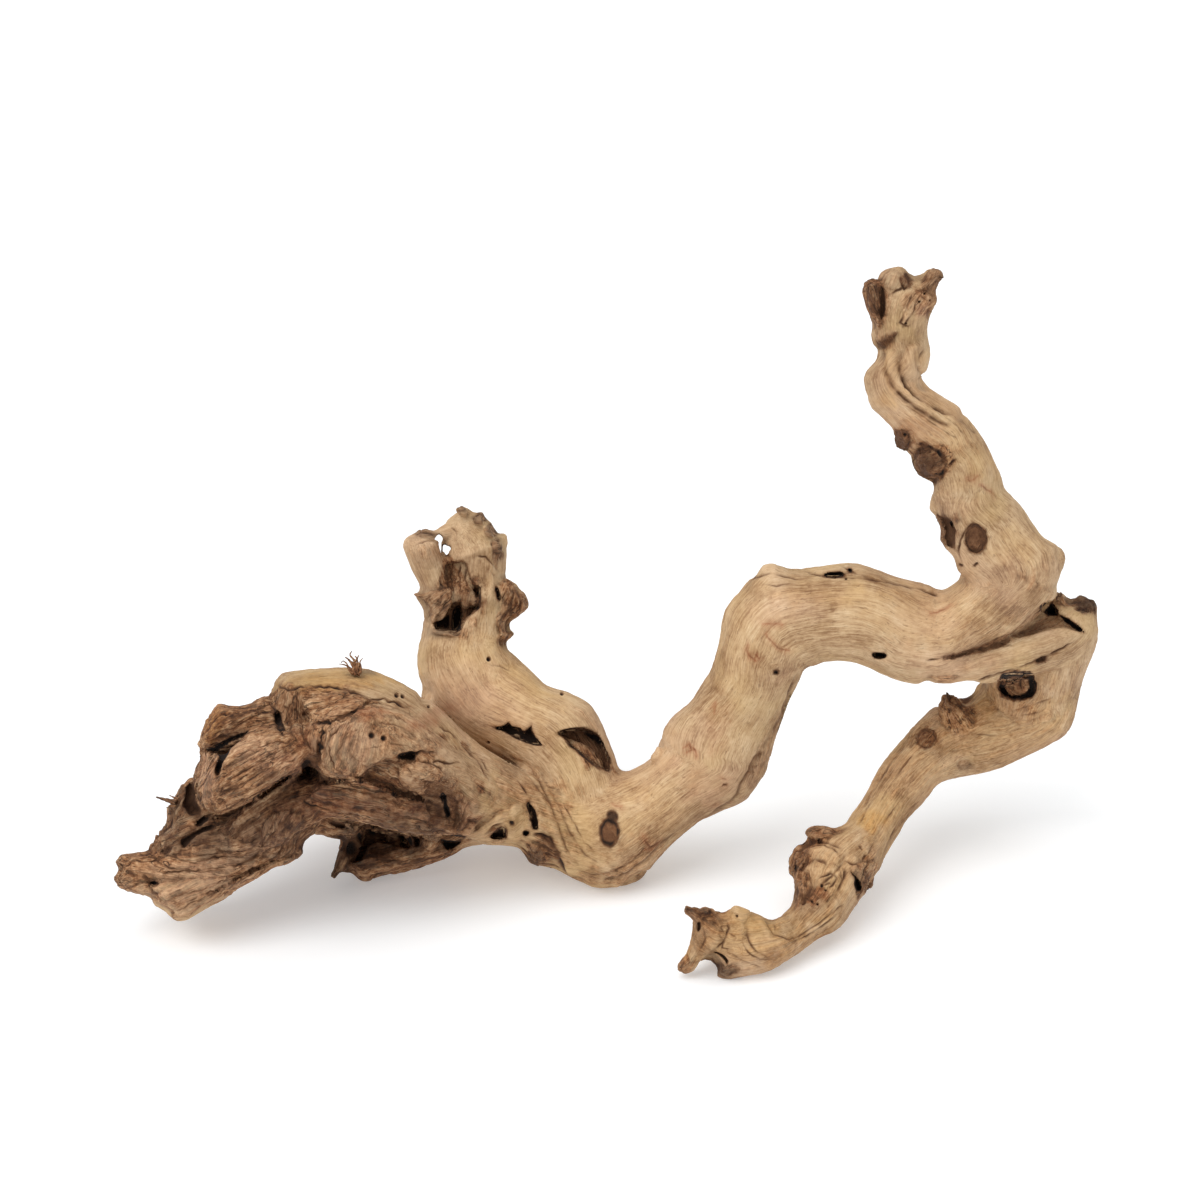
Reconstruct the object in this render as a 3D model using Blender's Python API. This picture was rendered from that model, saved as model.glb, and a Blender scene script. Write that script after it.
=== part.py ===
"""Sandblasted grapevine wood: one branching piece of old vine, resting on a surface.

The piece is drawn as swept limbs.  Each limb is a row of stations, and a station is
(u, v, y, w, k): where its centre is seen in the reference view (u to the right, v down,
a square of 1200 units), its depth y in millimetres (away from the viewer), its half width
w in view units, and its depth thickness as a ratio of that width.
Metres, +Z up, +X to the right along the longest extent, +Y away from the viewer.
"""
import math

import bmesh
import bpy
from mathutils import Vector

# ---------------------------------------------------------------- driving dimensions
NODE = "grapevine_wood"
VIEW_ELEVATION = math.radians(24.0)   # the reference view looks down by this much
VIEW_FOCAL = 2333.0                   # view units
VIEW_DISTANCE = 1.066                 # metres from the eye to the aim point
VIEW_AIM = Vector((0.0, 0.0, 0.144))
ORIGIN_X = 0.0045                      # shift that brings the origin under the middle
ORIGIN_Y = -0.0077
VOXEL = 0.0034                        # grid on which the limbs grow into one solid
TRIANGLES = 7000                      # of the finished solid
SIDES = 18                            # points round a limb
STEPS = 4                             # rings between two stations

forward = Vector((0.0, math.cos(VIEW_ELEVATION), -math.sin(VIEW_ELEVATION)))
upward = Vector((0.0, math.sin(VIEW_ELEVATION), math.cos(VIEW_ELEVATION)))
sideways = Vector((1.0, 0.0, 0.0))
eye = VIEW_AIM - VIEW_DISTANCE * forward

# ---------------------------------------------------------------- limbs
LIMBS = {
    # ridge of sound pale wood from the knee over the top of the burl
    "ridge": [
        (603, 840, -6, 49, 1.00), (556, 828, -6, 42, 1.15), (500, 804, -8, 41, 1.40),
        (447, 778, -12, 46, 1.35), (413, 742, -14, 43, 1.45), (383, 718, -16, 42, 1.50),
        (350, 705, -18, 41, 1.55), (312, 701, -18, 35, 1.70), (290, 699, -18, 28, 1.60)],
    # rounded mass and swirl under the ridge, at the front of the burl
    "mass": [
        (322, 744, -52, 26, 1.0), (350, 742, -56, 38, 0.9), (395, 752, -52, 38, 0.9),
        (432, 774, -42, 34, 0.9), (470, 794, -30, 30, 0.9)],
    # back of the burl, hidden in the reference view
    "back": [
        (258, 752, -2, 34, 1.2), (305, 750, 8, 46, 1.2), (380, 762, 12, 54, 1.1),
        (450, 790, 18, 46, 1.1), (520, 802, 18, 38, 1.0), (580, 822, 8, 36, 1.0)],
    "back_low": [
        (268, 800, -14, 26, 1.3), (330, 806, -2, 32, 1.2), (396, 822, 8, 32, 1.1),
        (462, 820, 10, 23, 1.1), (520, 823, 8, 21, 1.1)],
    "chunk": [
        (300, 720, -28, 20, 1.9), (262, 722, -30, 24, 1.8), (240, 726, -32, 24, 1.6),
        (218, 730, -32, 23, 1.3)],
    "side": [
        (262, 770, -26, 40, 1.1), (228, 778, -32, 34, 1.1), (214, 768, -36, 21, 1.3)],
    "slab": [
        (306, 746, -54, 22, 1.1), (268, 758, -62, 28, 1.0), (238, 776, -66, 29, 0.9),
        (216, 796, -64, 20, 0.9)],
    "under_slab": [
        (338, 788, -48, 20, 1.4), (296, 806, -54, 26, 1.3), (262, 824, -58, 26, 1.2),
        (240, 838, -58, 22, 1.2)],
    "foot_bump": [
        (300, 812, -46, 24, 1.1), (284, 834, -48, 30, 1.0), (279, 847, -48, 21, 1.0)],
    "tongue_top": [
        (256, 838, -50, 24, 1.4), (216, 840, -50, 28, 1.3), (186, 850, -52, 26, 1.3),
        (164, 858, -52, 17, 1.2)],
    "tongue": [
        (266, 850, -52, 20, 1.6), (226, 866, -54, 28, 1.4), (187, 886, -52, 36, 1.2),
        (150, 874, -54, 23, 1.2), (126, 873, -55, 19, 1.1)],
    "tongue_side": [
        (238, 800, -32, 36, 1.1), (200, 814, -36, 34, 1.0), (184, 838, -42, 25, 1.1)],
    "long_plank": [
        (316, 800, -54, 16, 1.7), (360, 802, -52, 20, 1.7), (402, 812, -48, 19, 1.7),
        (440, 820, -40, 16, 1.6), (470, 824, -28, 16, 1.4)],
    "arch_wall": [
        (308, 800, -34, 26, 1.0), (322, 814, -30, 22, 1.2), (342, 817, -20, 18, 1.6)],
    "lip": [
        (348, 865, -5, 10, 1.9), (368, 862, -5, 20, 1.7), (396, 856, -5, 19, 1.7),
        (424, 846, -4, 21, 1.7), (462, 830, -2, 19, 1.6), (500, 820, 2, 21, 1.4)],
    "lip_post": [
        (353, 832, -6, 11, 1.2), (345, 852, -12, 8, 1.3), (337, 873, -14, 7, 1.3)],
    "low_lobe": [
        (478, 824, -12, 14, 1.2), (500, 825, -14, 17, 1.2), (534, 846, -8, 19, 1.2)],
    # broad ridge under the burl and the claw limb, on which the back of the piece rests
    "back_foot": [
        (512, 794, 22, 36, 1.1), (546, 809, 29, 29, 1.0), (576, 818, 33, 24, 1.1),
        (598, 820, 35, 23, 1.2)],
    # zigzag middle limb, from the knee to the right-hand knot
    "zigzag": [
        (594, 838, -6, 48, 1.00), (627, 825, -5, 50, 0.95), (657, 805, -2, 46, 0.95),
        (686, 781, 1, 46, 0.95), (711, 761, 2, 51, 0.90), (717, 742, 3, 53, 0.85),
        (729, 721, 4, 49, 0.85), (743, 699, 4, 43, 0.92), (753, 677, 4, 43, 1.00),
        (763, 647, 4, 49, 0.95), (783, 621, 3, 55, 0.90), (815, 614, 2, 49, 0.90),
        (846, 612, 1, 50, 0.92), (872, 616, 0, 50, 0.92), (905, 632, 0, 49, 0.92),
        (940, 637, -1, 45, 0.95), (975, 616, -2, 42, 1.00), (1004, 592, -4, 41, 1.00),
        (1030, 570, -6, 34, 1.00)],
    "elbow_bump": [
        (764, 592, 2, 17, 1.0), (774, 584, 2, 20, 1.0), (790, 587, 2, 16, 1.0)],
    # twisted limb that rises from the knot
    "riser": [
        (993, 602, -2, 32, 1.0), (1012, 582, -3, 42, 0.95), (1014, 562, -4, 48, 0.85),
        (995, 541, -5, 46, 0.85), (980, 520, -6, 44, 0.85), (970, 502, -8, 38, 0.90),
        (965, 484, -9, 34, 0.95), (957, 465, -12, 37, 0.95), (945, 447, -14, 39, 0.92),
        (936, 430, -16, 36, 0.95), (918, 413, -18, 34, 0.95), (898, 395, -18, 29, 1.0),
        (889, 381, -17, 27, 1.0), (894, 369, -15, 29, 1.0), (904, 356, -13, 26, 1.0),
        (901, 344, -11, 29, 0.95), (900, 330, -11, 29, 0.95), (900, 315, -12, 32, 0.95),
        (902, 300, -13, 34, 0.90), (904, 286, -14, 26, 0.9)],
    "riser_flake": [
        (884, 314, -18, 13, 1.0), (873, 292, -19, 13, 1.0)],
    "riser_ball": [
        (892, 290, -12, 18, 1.0), (894, 282, -12, 17, 1.0)],
    "riser_stub": [
        (918, 300, -16, 16, 1.0), (931, 284, -18, 15, 1.0), (936, 279, -18, 12, 1.0)],
    # thinner limb that comes down and forward to its forked tip
    "plank": [
        (922, 672, -8, 13, 1.3), (972, 664, -10, 21, 1.3), (1020, 650, -4, 27, 1.3),
        (1062, 632, 4, 30, 1.1), (1083, 611, 10, 17, 1.0)],
    "descender": [
        (1062, 624, 8, 35, 1.0), (1051, 650, 13, 45, 0.90), (1038, 676, 20, 49, 0.85),
        (1029, 705, 26, 50, 0.85), (997, 726, 28, 46, 0.90), (958, 741, 25, 40, 0.95),
        (933, 754, 18, 35, 1.00), (914, 772, 9, 30, 1.00), (896, 795, 0, 27, 1.00),
        (881, 818, -11, 27, 1.00), (864, 842, -23, 29, 1.00), (844, 862, -35, 36, 0.95),
        (829, 882, -47, 39, 0.85), (817, 905, -61, 30, 1.00), (791, 932, -75, 22, 1.00),
        (763, 941, -83, 30, 0.95), (733, 943, -84, 34, 0.90), (710, 937, -88, 25, 0.90),
        (699, 931, -90, 18, 0.90)],
    "fork_prong": [
        (704, 938, -90, 17, 0.9), (693, 955, -91, 12, 0.9), (684, 966, -91, 9, 0.9)],
    "fork_tab": [
        (706, 926, -90, 14, 0.9), (691, 913, -91, 10, 0.9)],
    "bulge_knob": [
        (832, 856, -32, 24, 1.0), (815, 847, -30, 16, 1.0), (803, 859, -32, 15, 1.0),
        (806, 876, -38, 18, 1.0)],
    "descender_stub": [
        (960, 724, 20, 20, 1.0), (951, 704, 14, 13, 1.0)],
    # short hollow limb behind, with its claw-shaped end
    "claw": [
        (588, 800, 2, 38, 1.0), (575, 766, 10, 42, 1.0), (553, 737, 20, 46, 0.95),
        (518, 716, 29, 45, 0.95), (488, 697, 38, 47, 0.95), (467, 670, 46, 51, 0.95),
        (461, 646, 52, 46, 0.95), (465, 620, 57, 42, 0.90), (468, 598, 60, 40, 0.85)],
    "claw_fist": [
        (474, 606, 62, 34, 0.9), (477, 572, 66, 31, 0.9), (475, 545, 68, 33, 0.9),
        (464, 528, 68, 22, 0.9)],
    "claw_finger": [
        (438, 604, 56, 17, 1.1), (428, 572, 56, 17, 1.0), (420, 549, 56, 19, 1.0)],
    "claw_bridge": [
        (424, 540, 57, 11, 1.0), (440, 534, 61, 7, 1.0), (456, 530, 66, 12, 1.0)],
    "claw_flake": [
        (500, 612, 60, 17, 0.8), (519, 599, 60, 14, 0.8)],
    "claw_chip": [
        (436, 612, 52, 16, 0.8), (420, 600, 50, 8, 0.8)],
}

# hollows: the same kind of rows, cut away from the grown solid
HOLLOWS = {
    "cavern": [
        (352, 846, -80, 14, 1.0), (368, 842, -50, 16, 1.0), (384, 838, -26, 14, 1.0),
        (396, 834, -12, 9, 1.0)],
    "claw_hollow": [
        (462, 634, 22, 12, 1.0), (462, 608, 46, 14, 1.0), (460, 578, 60, 12, 1.0)],
    "claw_slot": [
        (588, 758, -8, 11, 1.0), (583, 750, 14, 11, 1.0), (578, 742, 26, 8, 1.0)],
}


# ---------------------------------------------------------------- geometry
def seen_at(u, v, y_mm):
    """Point seen at (u, v) at depth y, and the metres that one view unit spans there."""
    ray = forward * VIEW_FOCAL + sideways * (u - 600.0) + upward * (600.0 - v)
    scale = (y_mm / 1000.0 - eye.y) / ray.y
    return eye + scale * ray, scale


def smooth_row(values, t):
    """Catmull-Rom value of a row at t, in stations."""
    last = len(values) - 1
    i = min(int(t), last - 1)
    f = t - i
    a, b = values[max(i - 1, 0)], values[i]
    c, d = values[i + 1], values[min(i + 2, last)]
    return 0.5 * (2 * b + (c - a) * f + (2 * a - 5 * b + 4 * c - d) * f * f
                  + (3 * b - a - 3 * c + d) * f * f * f)


def sweep(bm, rows):
    """One closed limb: elliptic rings along the stations, with rounded ends."""
    count = (len(rows) - 1) * STEPS
    columns = list(zip(*rows))
    stations = []
    for n in range(count + 1):
        u, v, y, w, k = (smooth_row(col, n / STEPS) for col in columns)
        centre, scale = seen_at(u, v, y)
        stations.append((centre, w * scale, w * scale * k))
    # rounded ends: rings that close over a quarter circle
    rings = []

    def ring(centre, tangent, a, b, shrink):
        ray = (centre - eye).normalized()
        across = ray.cross(tangent)
        across = across.normalized() if across.length > 1e-6 else upward.copy()
        deep = tangent.cross(across).normalized()
        return [bm.verts.new(centre + across * (a * shrink * math.cos(p))
                             + deep * (b * shrink * math.sin(p)))
                for p in (2 * math.pi * s / SIDES for s in range(SIDES))]

    first, second = stations[0], stations[1]
    start = (second[0] - first[0]).normalized()
    before, final = stations[-2], stations[-1]
    stop = (final[0] - before[0]).normalized()
    start_tip = bm.verts.new(first[0] - start * first[1] * 0.8)
    for lift in (0.92, 0.75, 0.45):
        rings.append(ring(first[0] - start * first[1] * 0.8 * lift, start,
                          first[1], first[2], math.sqrt(1 - lift * lift)))
    for n, (centre, a, b) in enumerate(stations):
        ahead = stations[min(n + 1, count)][0]
        behind = stations[max(n - 1, 0)][0]
        rings.append(ring(centre, (ahead - behind).normalized(), a, b, 1.0))
    for lift in (0.45, 0.75, 0.92):
        rings.append(ring(final[0] + stop * final[1] * 0.8 * lift, stop,
                          final[1], final[2], math.sqrt(1 - lift * lift)))
    stop_tip = bm.verts.new(final[0] + stop * final[1] * 0.8)
    for lower, upper in zip(rings, rings[1:]):
        for s in range(SIDES):
            t = (s + 1) % SIDES
            bm.faces.new((lower[s], lower[t], upper[t], upper[s]))
    for s in range(SIDES):
        t = (s + 1) % SIDES
        bm.faces.new((rings[0][t], rings[0][s], start_tip))
        bm.faces.new((rings[-1][s], rings[-1][t], stop_tip))


def limbs_mesh(name, table):
    bm = bmesh.new()
    for rows in table.values():
        sweep(bm, rows)
    bmesh.ops.recalc_face_normals(bm, faces=bm.faces)
    mesh = bpy.data.meshes.new(name)
    bm.to_mesh(mesh)
    bm.free()
    return mesh


def flatten(obj):
    """Replace the object's mesh by its evaluated one, and drop the modifiers."""
    graph = bpy.context.evaluated_depsgraph_get()
    solid = bpy.data.meshes.new_from_object(obj.evaluated_get(graph), depsgraph=graph)
    obj.modifiers.clear()
    obj.data = solid
    return obj


def grown(name, table, voxel, rounds):
    """The limbs of a table grown together on a grid and smoothed."""
    obj = bpy.data.objects.new(name, limbs_mesh(name, table))
    bpy.context.scene.collection.objects.link(obj)
    remesh = obj.modifiers.new("grow_together", "REMESH")
    remesh.mode = "VOXEL"
    remesh.voxel_size = voxel
    smooth = obj.modifiers.new("soften", "SMOOTH")
    smooth.factor = 0.5
    smooth.iterations = rounds
    return flatten(obj)


def keep_largest(bm):
    """Drop every crumb that isn't joined to the main body."""
    waiting, bodies = set(bm.verts), []
    while waiting:
        body, edge = set(), [waiting.pop()]
        while edge:
            vert = edge.pop()
            body.add(vert)
            for link in vert.link_edges:
                other = link.other_vert(vert)
                if other in waiting:
                    waiting.remove(other)
                    edge.append(other)
        bodies.append(body)
    bodies.sort(key=len)
    crumbs = [vert for body in bodies[:-1] for vert in body]
    if crumbs:
        bmesh.ops.delete(bm, geom=crumbs, context="VERTS")


def main():
    for old in list(bpy.data.objects):
        bpy.data.objects.remove(old, do_unlink=True)

    wood = grown(NODE, LIMBS, VOXEL, 3)
    hollows = grown("hollows", HOLLOWS, VOXEL, 1)

    cut = wood.modifiers.new("hollow_out", "BOOLEAN")
    cut.operation = "DIFFERENCE"
    cut.solver = "EXACT"
    cut.object = hollows
    again = wood.modifiers.new("even_faces", "REMESH")
    again.mode = "VOXEL"
    again.voxel_size = VOXEL
    flatten(wood)
    bpy.data.objects.remove(hollows, do_unlink=True)

    bm = bmesh.new()
    bm.from_mesh(wood.data)
    bmesh.ops.triangulate(bm, faces=bm.faces)
    faces = len(bm.faces)
    bm.to_mesh(wood.data)
    bm.free()
    thin = wood.modifiers.new("fewer_faces", "DECIMATE")
    thin.ratio = TRIANGLES / faces
    flatten(wood)

    # the surface it rests on cuts small real flats under its lowest knobs
    bm = bmesh.new()
    bmesh.ops.create_cube(bm, size=1.0)
    bmesh.ops.translate(bm, verts=bm.verts, vec=(0.0, 0.0, -0.5))
    block = bpy.data.meshes.new("surface_below")
    bm.to_mesh(block)
    bm.free()
    below = bpy.data.objects.new("surface_below", block)
    bpy.context.scene.collection.objects.link(below)
    cut = wood.modifiers.new("rest_flats", "BOOLEAN")
    cut.operation = "DIFFERENCE"
    cut.solver = "EXACT"
    cut.object = below
    flatten(wood)
    bpy.data.objects.remove(below, do_unlink=True)

    bm = bmesh.new()
    bm.from_mesh(wood.data)
    keep_largest(bm)
    bmesh.ops.triangulate(bm, faces=bm.faces)
    bmesh.ops.translate(bm, verts=bm.verts, vec=(-ORIGIN_X, -ORIGIN_Y, 0.0))
    bmesh.ops.recalc_face_normals(bm, faces=bm.faces)
    bm.to_mesh(wood.data)
    bm.free()
    wood.data.name = NODE
    wood.data.shade_smooth()
    wood.data.set_sharp_from_angle(angle=math.radians(50.0))

    material = bpy.data.materials.new("blasted_vine_wood")
    material.use_nodes = True
    shader = material.node_tree.nodes["Principled BSDF"]
    shader.inputs["Base Color"].default_value = (0.50, 0.35, 0.20, 1.0)
    shader.inputs["Roughness"].default_value = 0.78
    shader.inputs["Metallic"].default_value = 0.0
    material.diffuse_color = (0.50, 0.35, 0.20, 1.0)
    wood.data.materials.clear()
    wood.data.materials.append(material)


main()
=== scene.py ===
"""Looks of the blasted vine wood: a finely modelled skin grown round the same limbs as the solid.

The wood is first drawn as a distance field on a grid: swept limbs that flow into each other,
plates of split wood laid on them, and carved hollows, holes and cracks.  The field is meshed,
fibres and furrows are raised along the grain, and every point keeps its place along the
grain, so that the material's fibres run the way the wood grew.
Metres, +Z up.  Reference-view units are those of a square of 1200, u right and v down.
"""

import math

import bpy
import numpy as np
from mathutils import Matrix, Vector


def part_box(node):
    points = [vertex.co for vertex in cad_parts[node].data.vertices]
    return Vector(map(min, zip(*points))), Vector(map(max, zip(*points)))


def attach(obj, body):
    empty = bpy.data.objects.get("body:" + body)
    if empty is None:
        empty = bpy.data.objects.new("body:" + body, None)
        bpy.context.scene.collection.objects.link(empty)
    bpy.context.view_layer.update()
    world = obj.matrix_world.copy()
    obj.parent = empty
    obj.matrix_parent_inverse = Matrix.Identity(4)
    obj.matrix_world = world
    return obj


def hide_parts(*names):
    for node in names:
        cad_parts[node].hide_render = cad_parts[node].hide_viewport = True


NODE = "grapevine_wood"
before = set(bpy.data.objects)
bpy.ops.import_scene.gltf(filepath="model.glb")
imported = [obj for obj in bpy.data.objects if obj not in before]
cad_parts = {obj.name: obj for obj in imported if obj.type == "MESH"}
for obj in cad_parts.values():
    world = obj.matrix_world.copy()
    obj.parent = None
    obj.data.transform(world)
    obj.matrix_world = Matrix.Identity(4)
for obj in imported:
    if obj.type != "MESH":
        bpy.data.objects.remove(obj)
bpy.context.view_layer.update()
CAD_LOW, CAD_HIGH = (np.array(corner, float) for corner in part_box(NODE))

# ---------------------------------------------------------------- settings
GRID = 0.0010            # cell of the distance field
TRIANGLES = 196000       # of the finished skin
ELEVATION = math.radians(24.0)
FOCAL = 2333.0
DISTANCE = 1.066
AIM = np.array((0.0, 0.0, 0.144))
SHIFT = np.array((0.0045, -0.0077, 0.0))
FORWARD = np.array((0.0, math.cos(ELEVATION), -math.sin(ELEVATION)))
UPWARD = np.array((0.0, math.sin(ELEVATION), math.cos(ELEVATION)))
SIDEWAYS = np.array((1.0, 0.0, 0.0))
EYE_RAW = AIM - DISTANCE * FORWARD
EYE = EYE_RAW - SHIFT

# ---------------------------------------------------------------- limbs
# name: (blend mm, brown 0-1, rows of (u, v, depth y mm, half width in view units, thickness ratio))
LIMBS = {
    "claw_inner": (2.0, 1.0, [
        (453, 562, 62, 16, 0.8), (455, 590, 61, 18, 0.8), (452, 618, 57, 18, 0.8)]),
    "ridge": (4.0, 0.0, [
        (603, 840, -6, 49, 1.00), (556, 828, -6, 42, 1.15), (500, 804, -8, 41, 1.40),
        (447, 778, -12, 46, 1.35), (413, 742, -14, 43, 1.45), (383, 718, -16, 42, 1.50),
        (350, 705, -18, 41, 1.55), (312, 701, -18, 35, 1.70), (290, 699, -18, 28, 1.60)]),
    "mass": (2.0, 1.0, [
        (322, 744, -52, 26, 1.0), (350, 742, -56, 38, 0.9), (395, 752, -52, 38, 0.9),
        (432, 774, -42, 34, 0.9), (470, 794, -30, 30, 0.9)]),
    "back": (5.0, 0.7, [
        (258, 752, -2, 34, 1.2), (305, 750, 8, 46, 1.2), (380, 762, 12, 54, 1.1),
        (450, 790, 18, 46, 1.1), (520, 802, 18, 38, 1.0), (580, 822, 8, 36, 1.0)]),
    "back_low": (4.0, 1.0, [
        (268, 800, -14, 26, 1.3), (330, 806, -2, 32, 1.2), (396, 822, 8, 32, 1.1),
        (462, 820, 10, 23, 1.1), (520, 823, 8, 21, 1.1)]),
    "chunk": (1.5, 1.0, [
        (300, 720, -28, 20, 1.9), (262, 722, -30, 24, 1.8), (240, 726, -32, 24, 1.6),
        (218, 730, -32, 23, 1.3)]),
    "side": (2.5, 1.0, [
        (262, 770, -26, 40, 1.1), (228, 778, -32, 34, 1.1), (214, 768, -36, 21, 1.3)]),
    "slab": (1.5, 1.0, [
        (306, 746, -54, 22, 1.1), (268, 758, -62, 28, 1.0), (238, 776, -66, 29, 0.9),
        (216, 796, -64, 20, 0.9)]),
    "under_slab": (1.5, 1.0, [
        (338, 788, -48, 20, 1.4), (296, 806, -54, 26, 1.3), (262, 824, -58, 26, 1.2),
        (240, 838, -58, 22, 1.2)]),
    "foot_bump": (1.5, 1.0, [
        (300, 812, -46, 24, 1.1), (284, 834, -48, 30, 1.0), (279, 847, -48, 21, 1.0)]),
    "tongue_top": (1.5, 1.0, [
        (256, 838, -50, 24, 1.4), (216, 840, -50, 28, 1.3), (186, 850, -52, 26, 1.3),
        (164, 858, -52, 17, 1.2)]),
    "tongue": (2.0, 0.85, [
        (266, 850, -52, 20, 1.6), (226, 866, -54, 28, 1.4), (187, 886, -52, 36, 1.2),
        (150, 874, -54, 23, 1.2), (126, 873, -55, 19, 1.1)]),
    "tongue_side": (2.5, 1.0, [
        (238, 800, -32, 36, 1.1), (200, 814, -36, 34, 1.0), (184, 838, -42, 25, 1.1)]),
    "long_plank": (1.2, 1.0, [
        (316, 800, -54, 16, 1.7), (360, 802, -52, 20, 1.7), (402, 812, -48, 19, 1.7),
        (440, 820, -40, 16, 1.6), (470, 824, -28, 16, 1.4)]),
    "arch_wall": (2.0, 1.0, [
        (308, 800, -34, 26, 1.0), (322, 814, -30, 22, 1.2), (342, 817, -20, 18, 1.6)]),
    "lip": (2.0, 1.0, [
        (348, 865, -5, 10, 1.9), (368, 862, -5, 20, 1.7), (396, 856, -5, 19, 1.7),
        (424, 846, -4, 21, 1.7), (462, 830, -2, 19, 1.6), (500, 820, 2, 21, 1.4)]),
    "lip_post": (1.0, 1.0, [
        (353, 832, -6, 11, 1.2), (345, 852, -12, 8, 1.3), (337, 873, -14, 7, 1.3)]),
    "low_lobe": (1.5, 0.4, [
        (478, 824, -12, 14, 1.2), (500, 825, -14, 17, 1.2), (534, 846, -8, 19, 1.2)]),
    "back_foot": (4.0, 0.5, [
        (512, 794, 22, 36, 1.1), (546, 809, 29, 29, 1.0), (576, 818, 33, 24, 1.1),
        (598, 820, 35, 23, 1.2)]),
    "zigzag": (5.0, 0.0, [
        (594, 838, -6, 48, 1.00), (627, 825, -5, 50, 0.95), (657, 805, -2, 46, 0.95),
        (686, 781, 1, 46, 0.95), (711, 761, 2, 51, 0.90), (717, 742, 3, 53, 0.85),
        (729, 721, 4, 49, 0.85), (743, 699, 4, 43, 0.92), (753, 677, 4, 43, 1.00),
        (763, 647, 4, 49, 0.95), (783, 621, 3, 55, 0.90), (815, 614, 2, 49, 0.90),
        (846, 612, 1, 50, 0.92), (872, 616, 0, 50, 0.92), (905, 632, 0, 49, 0.92),
        (940, 637, -1, 45, 0.95), (975, 616, -2, 42, 1.00), (1004, 592, -4, 41, 1.00),
        (1030, 570, -6, 34, 1.00)]),
    "elbow_bump": (3.0, 0.0, [
        (764, 592, 2, 17, 1.0), (774, 584, 2, 20, 1.0), (790, 587, 2, 16, 1.0)]),
    "riser": (4.0, 0.06, [
        (993, 602, -2, 32, 1.0), (1012, 582, -3, 42, 0.95), (1014, 562, -4, 48, 0.85),
        (995, 541, -5, 46, 0.85), (980, 520, -6, 44, 0.85), (970, 502, -8, 38, 0.90),
        (965, 484, -9, 34, 0.95), (957, 465, -12, 37, 0.95), (945, 447, -14, 39, 0.92),
        (936, 430, -16, 36, 0.95), (918, 413, -18, 34, 0.95), (898, 395, -18, 29, 1.0),
        (889, 381, -17, 27, 1.0), (894, 369, -15, 29, 1.0), (904, 356, -13, 26, 1.0),
        (901, 344, -11, 29, 0.95), (900, 330, -11, 29, 0.95), (900, 315, -12, 32, 0.95),
        (902, 300, -13, 34, 0.90), (904, 286, -14, 26, 0.9)]),
    "riser_flake": (1.0, 1.0, [
        (884, 314, -18, 13, 1.0), (873, 292, -19, 13, 1.0)]),
    "riser_ball": (1.0, 0.5, [
        (892, 290, -12, 18, 1.0), (894, 282, -12, 17, 1.0)]),
    "riser_stub": (1.5, 0.6, [
        (918, 300, -16, 16, 1.0), (931, 284, -18, 15, 1.0), (936, 279, -18, 12, 1.0)]),
    "plank": (1.5, 0.1, [
        (922, 672, -8, 13, 1.3), (972, 664, -10, 21, 1.3), (1020, 650, -4, 27, 1.3),
        (1062, 632, 4, 30, 1.1), (1083, 611, 10, 17, 1.0)]),
    "descender": (3.0, 0.30, [
        (1062, 624, 8, 35, 1.0), (1051, 650, 13, 45, 0.90), (1038, 676, 20, 49, 0.85),
        (1029, 705, 26, 50, 0.85), (997, 726, 28, 46, 0.90), (958, 741, 25, 40, 0.95),
        (933, 754, 18, 35, 1.00), (914, 772, 9, 30, 1.00), (896, 795, 0, 27, 1.00),
        (881, 818, -11, 27, 1.00), (864, 842, -23, 29, 1.00), (844, 862, -35, 36, 0.95),
        (829, 882, -47, 39, 0.85), (817, 905, -61, 30, 1.00), (791, 932, -75, 22, 1.00),
        (763, 941, -83, 30, 0.95), (733, 943, -84, 34, 0.90), (710, 937, -88, 25, 0.90),
        (699, 931, -90, 18, 0.90)]),
    "fork_prong": (2.0, 0.2, [
        (704, 938, -90, 17, 0.9), (693, 955, -91, 12, 0.9), (684, 966, -91, 9, 0.9)]),
    "fork_tab": (1.0, 0.7, [
        (706, 926, -90, 14, 0.9), (691, 913, -91, 10, 0.9)]),
    "bulge_knob": (1.0, 0.9, [
        (832, 856, -32, 24, 1.0), (815, 847, -30, 16, 1.0), (803, 859, -32, 15, 1.0),
        (806, 876, -38, 18, 1.0)]),
    "descender_stub": (1.5, 0.8, [
        (960, 724, 20, 20, 1.0), (951, 704, 14, 13, 1.0)]),
    "claw": (4.0, 0.0, [
        (588, 800, 2, 38, 1.0), (575, 766, 10, 42, 1.0), (553, 737, 20, 46, 0.95),
        (518, 716, 29, 45, 0.95), (488, 697, 38, 47, 0.95), (467, 670, 46, 51, 0.95),
        (461, 646, 52, 46, 0.95), (465, 620, 57, 42, 0.90), (468, 598, 60, 40, 0.85)]),
    "claw_fist": (2.0, 0.0, [
        (474, 606, 62, 34, 0.9), (477, 572, 66, 31, 0.9), (475, 545, 68, 33, 0.9),
        (464, 528, 68, 22, 0.9)]),
    "claw_finger": (1.5, 0.0, [
        (438, 604, 56, 17, 1.1), (428, 572, 56, 17, 1.0), (420, 549, 56, 19, 1.0)]),
    "claw_bridge": (0.5, 0.2, [
        (424, 540, 57, 11, 1.0), (440, 534, 61, 7, 1.0), (456, 530, 66, 12, 1.0)]),
    "claw_flake": (1.0, 1.0, [
        (500, 612, 60, 17, 0.8), (519, 599, 60, 14, 0.8)]),
    "claw_chip": (1.0, 1.0, [
        (436, 612, 52, 16, 0.8), (420, 600, 50, 8, 0.8)]),
}


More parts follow.
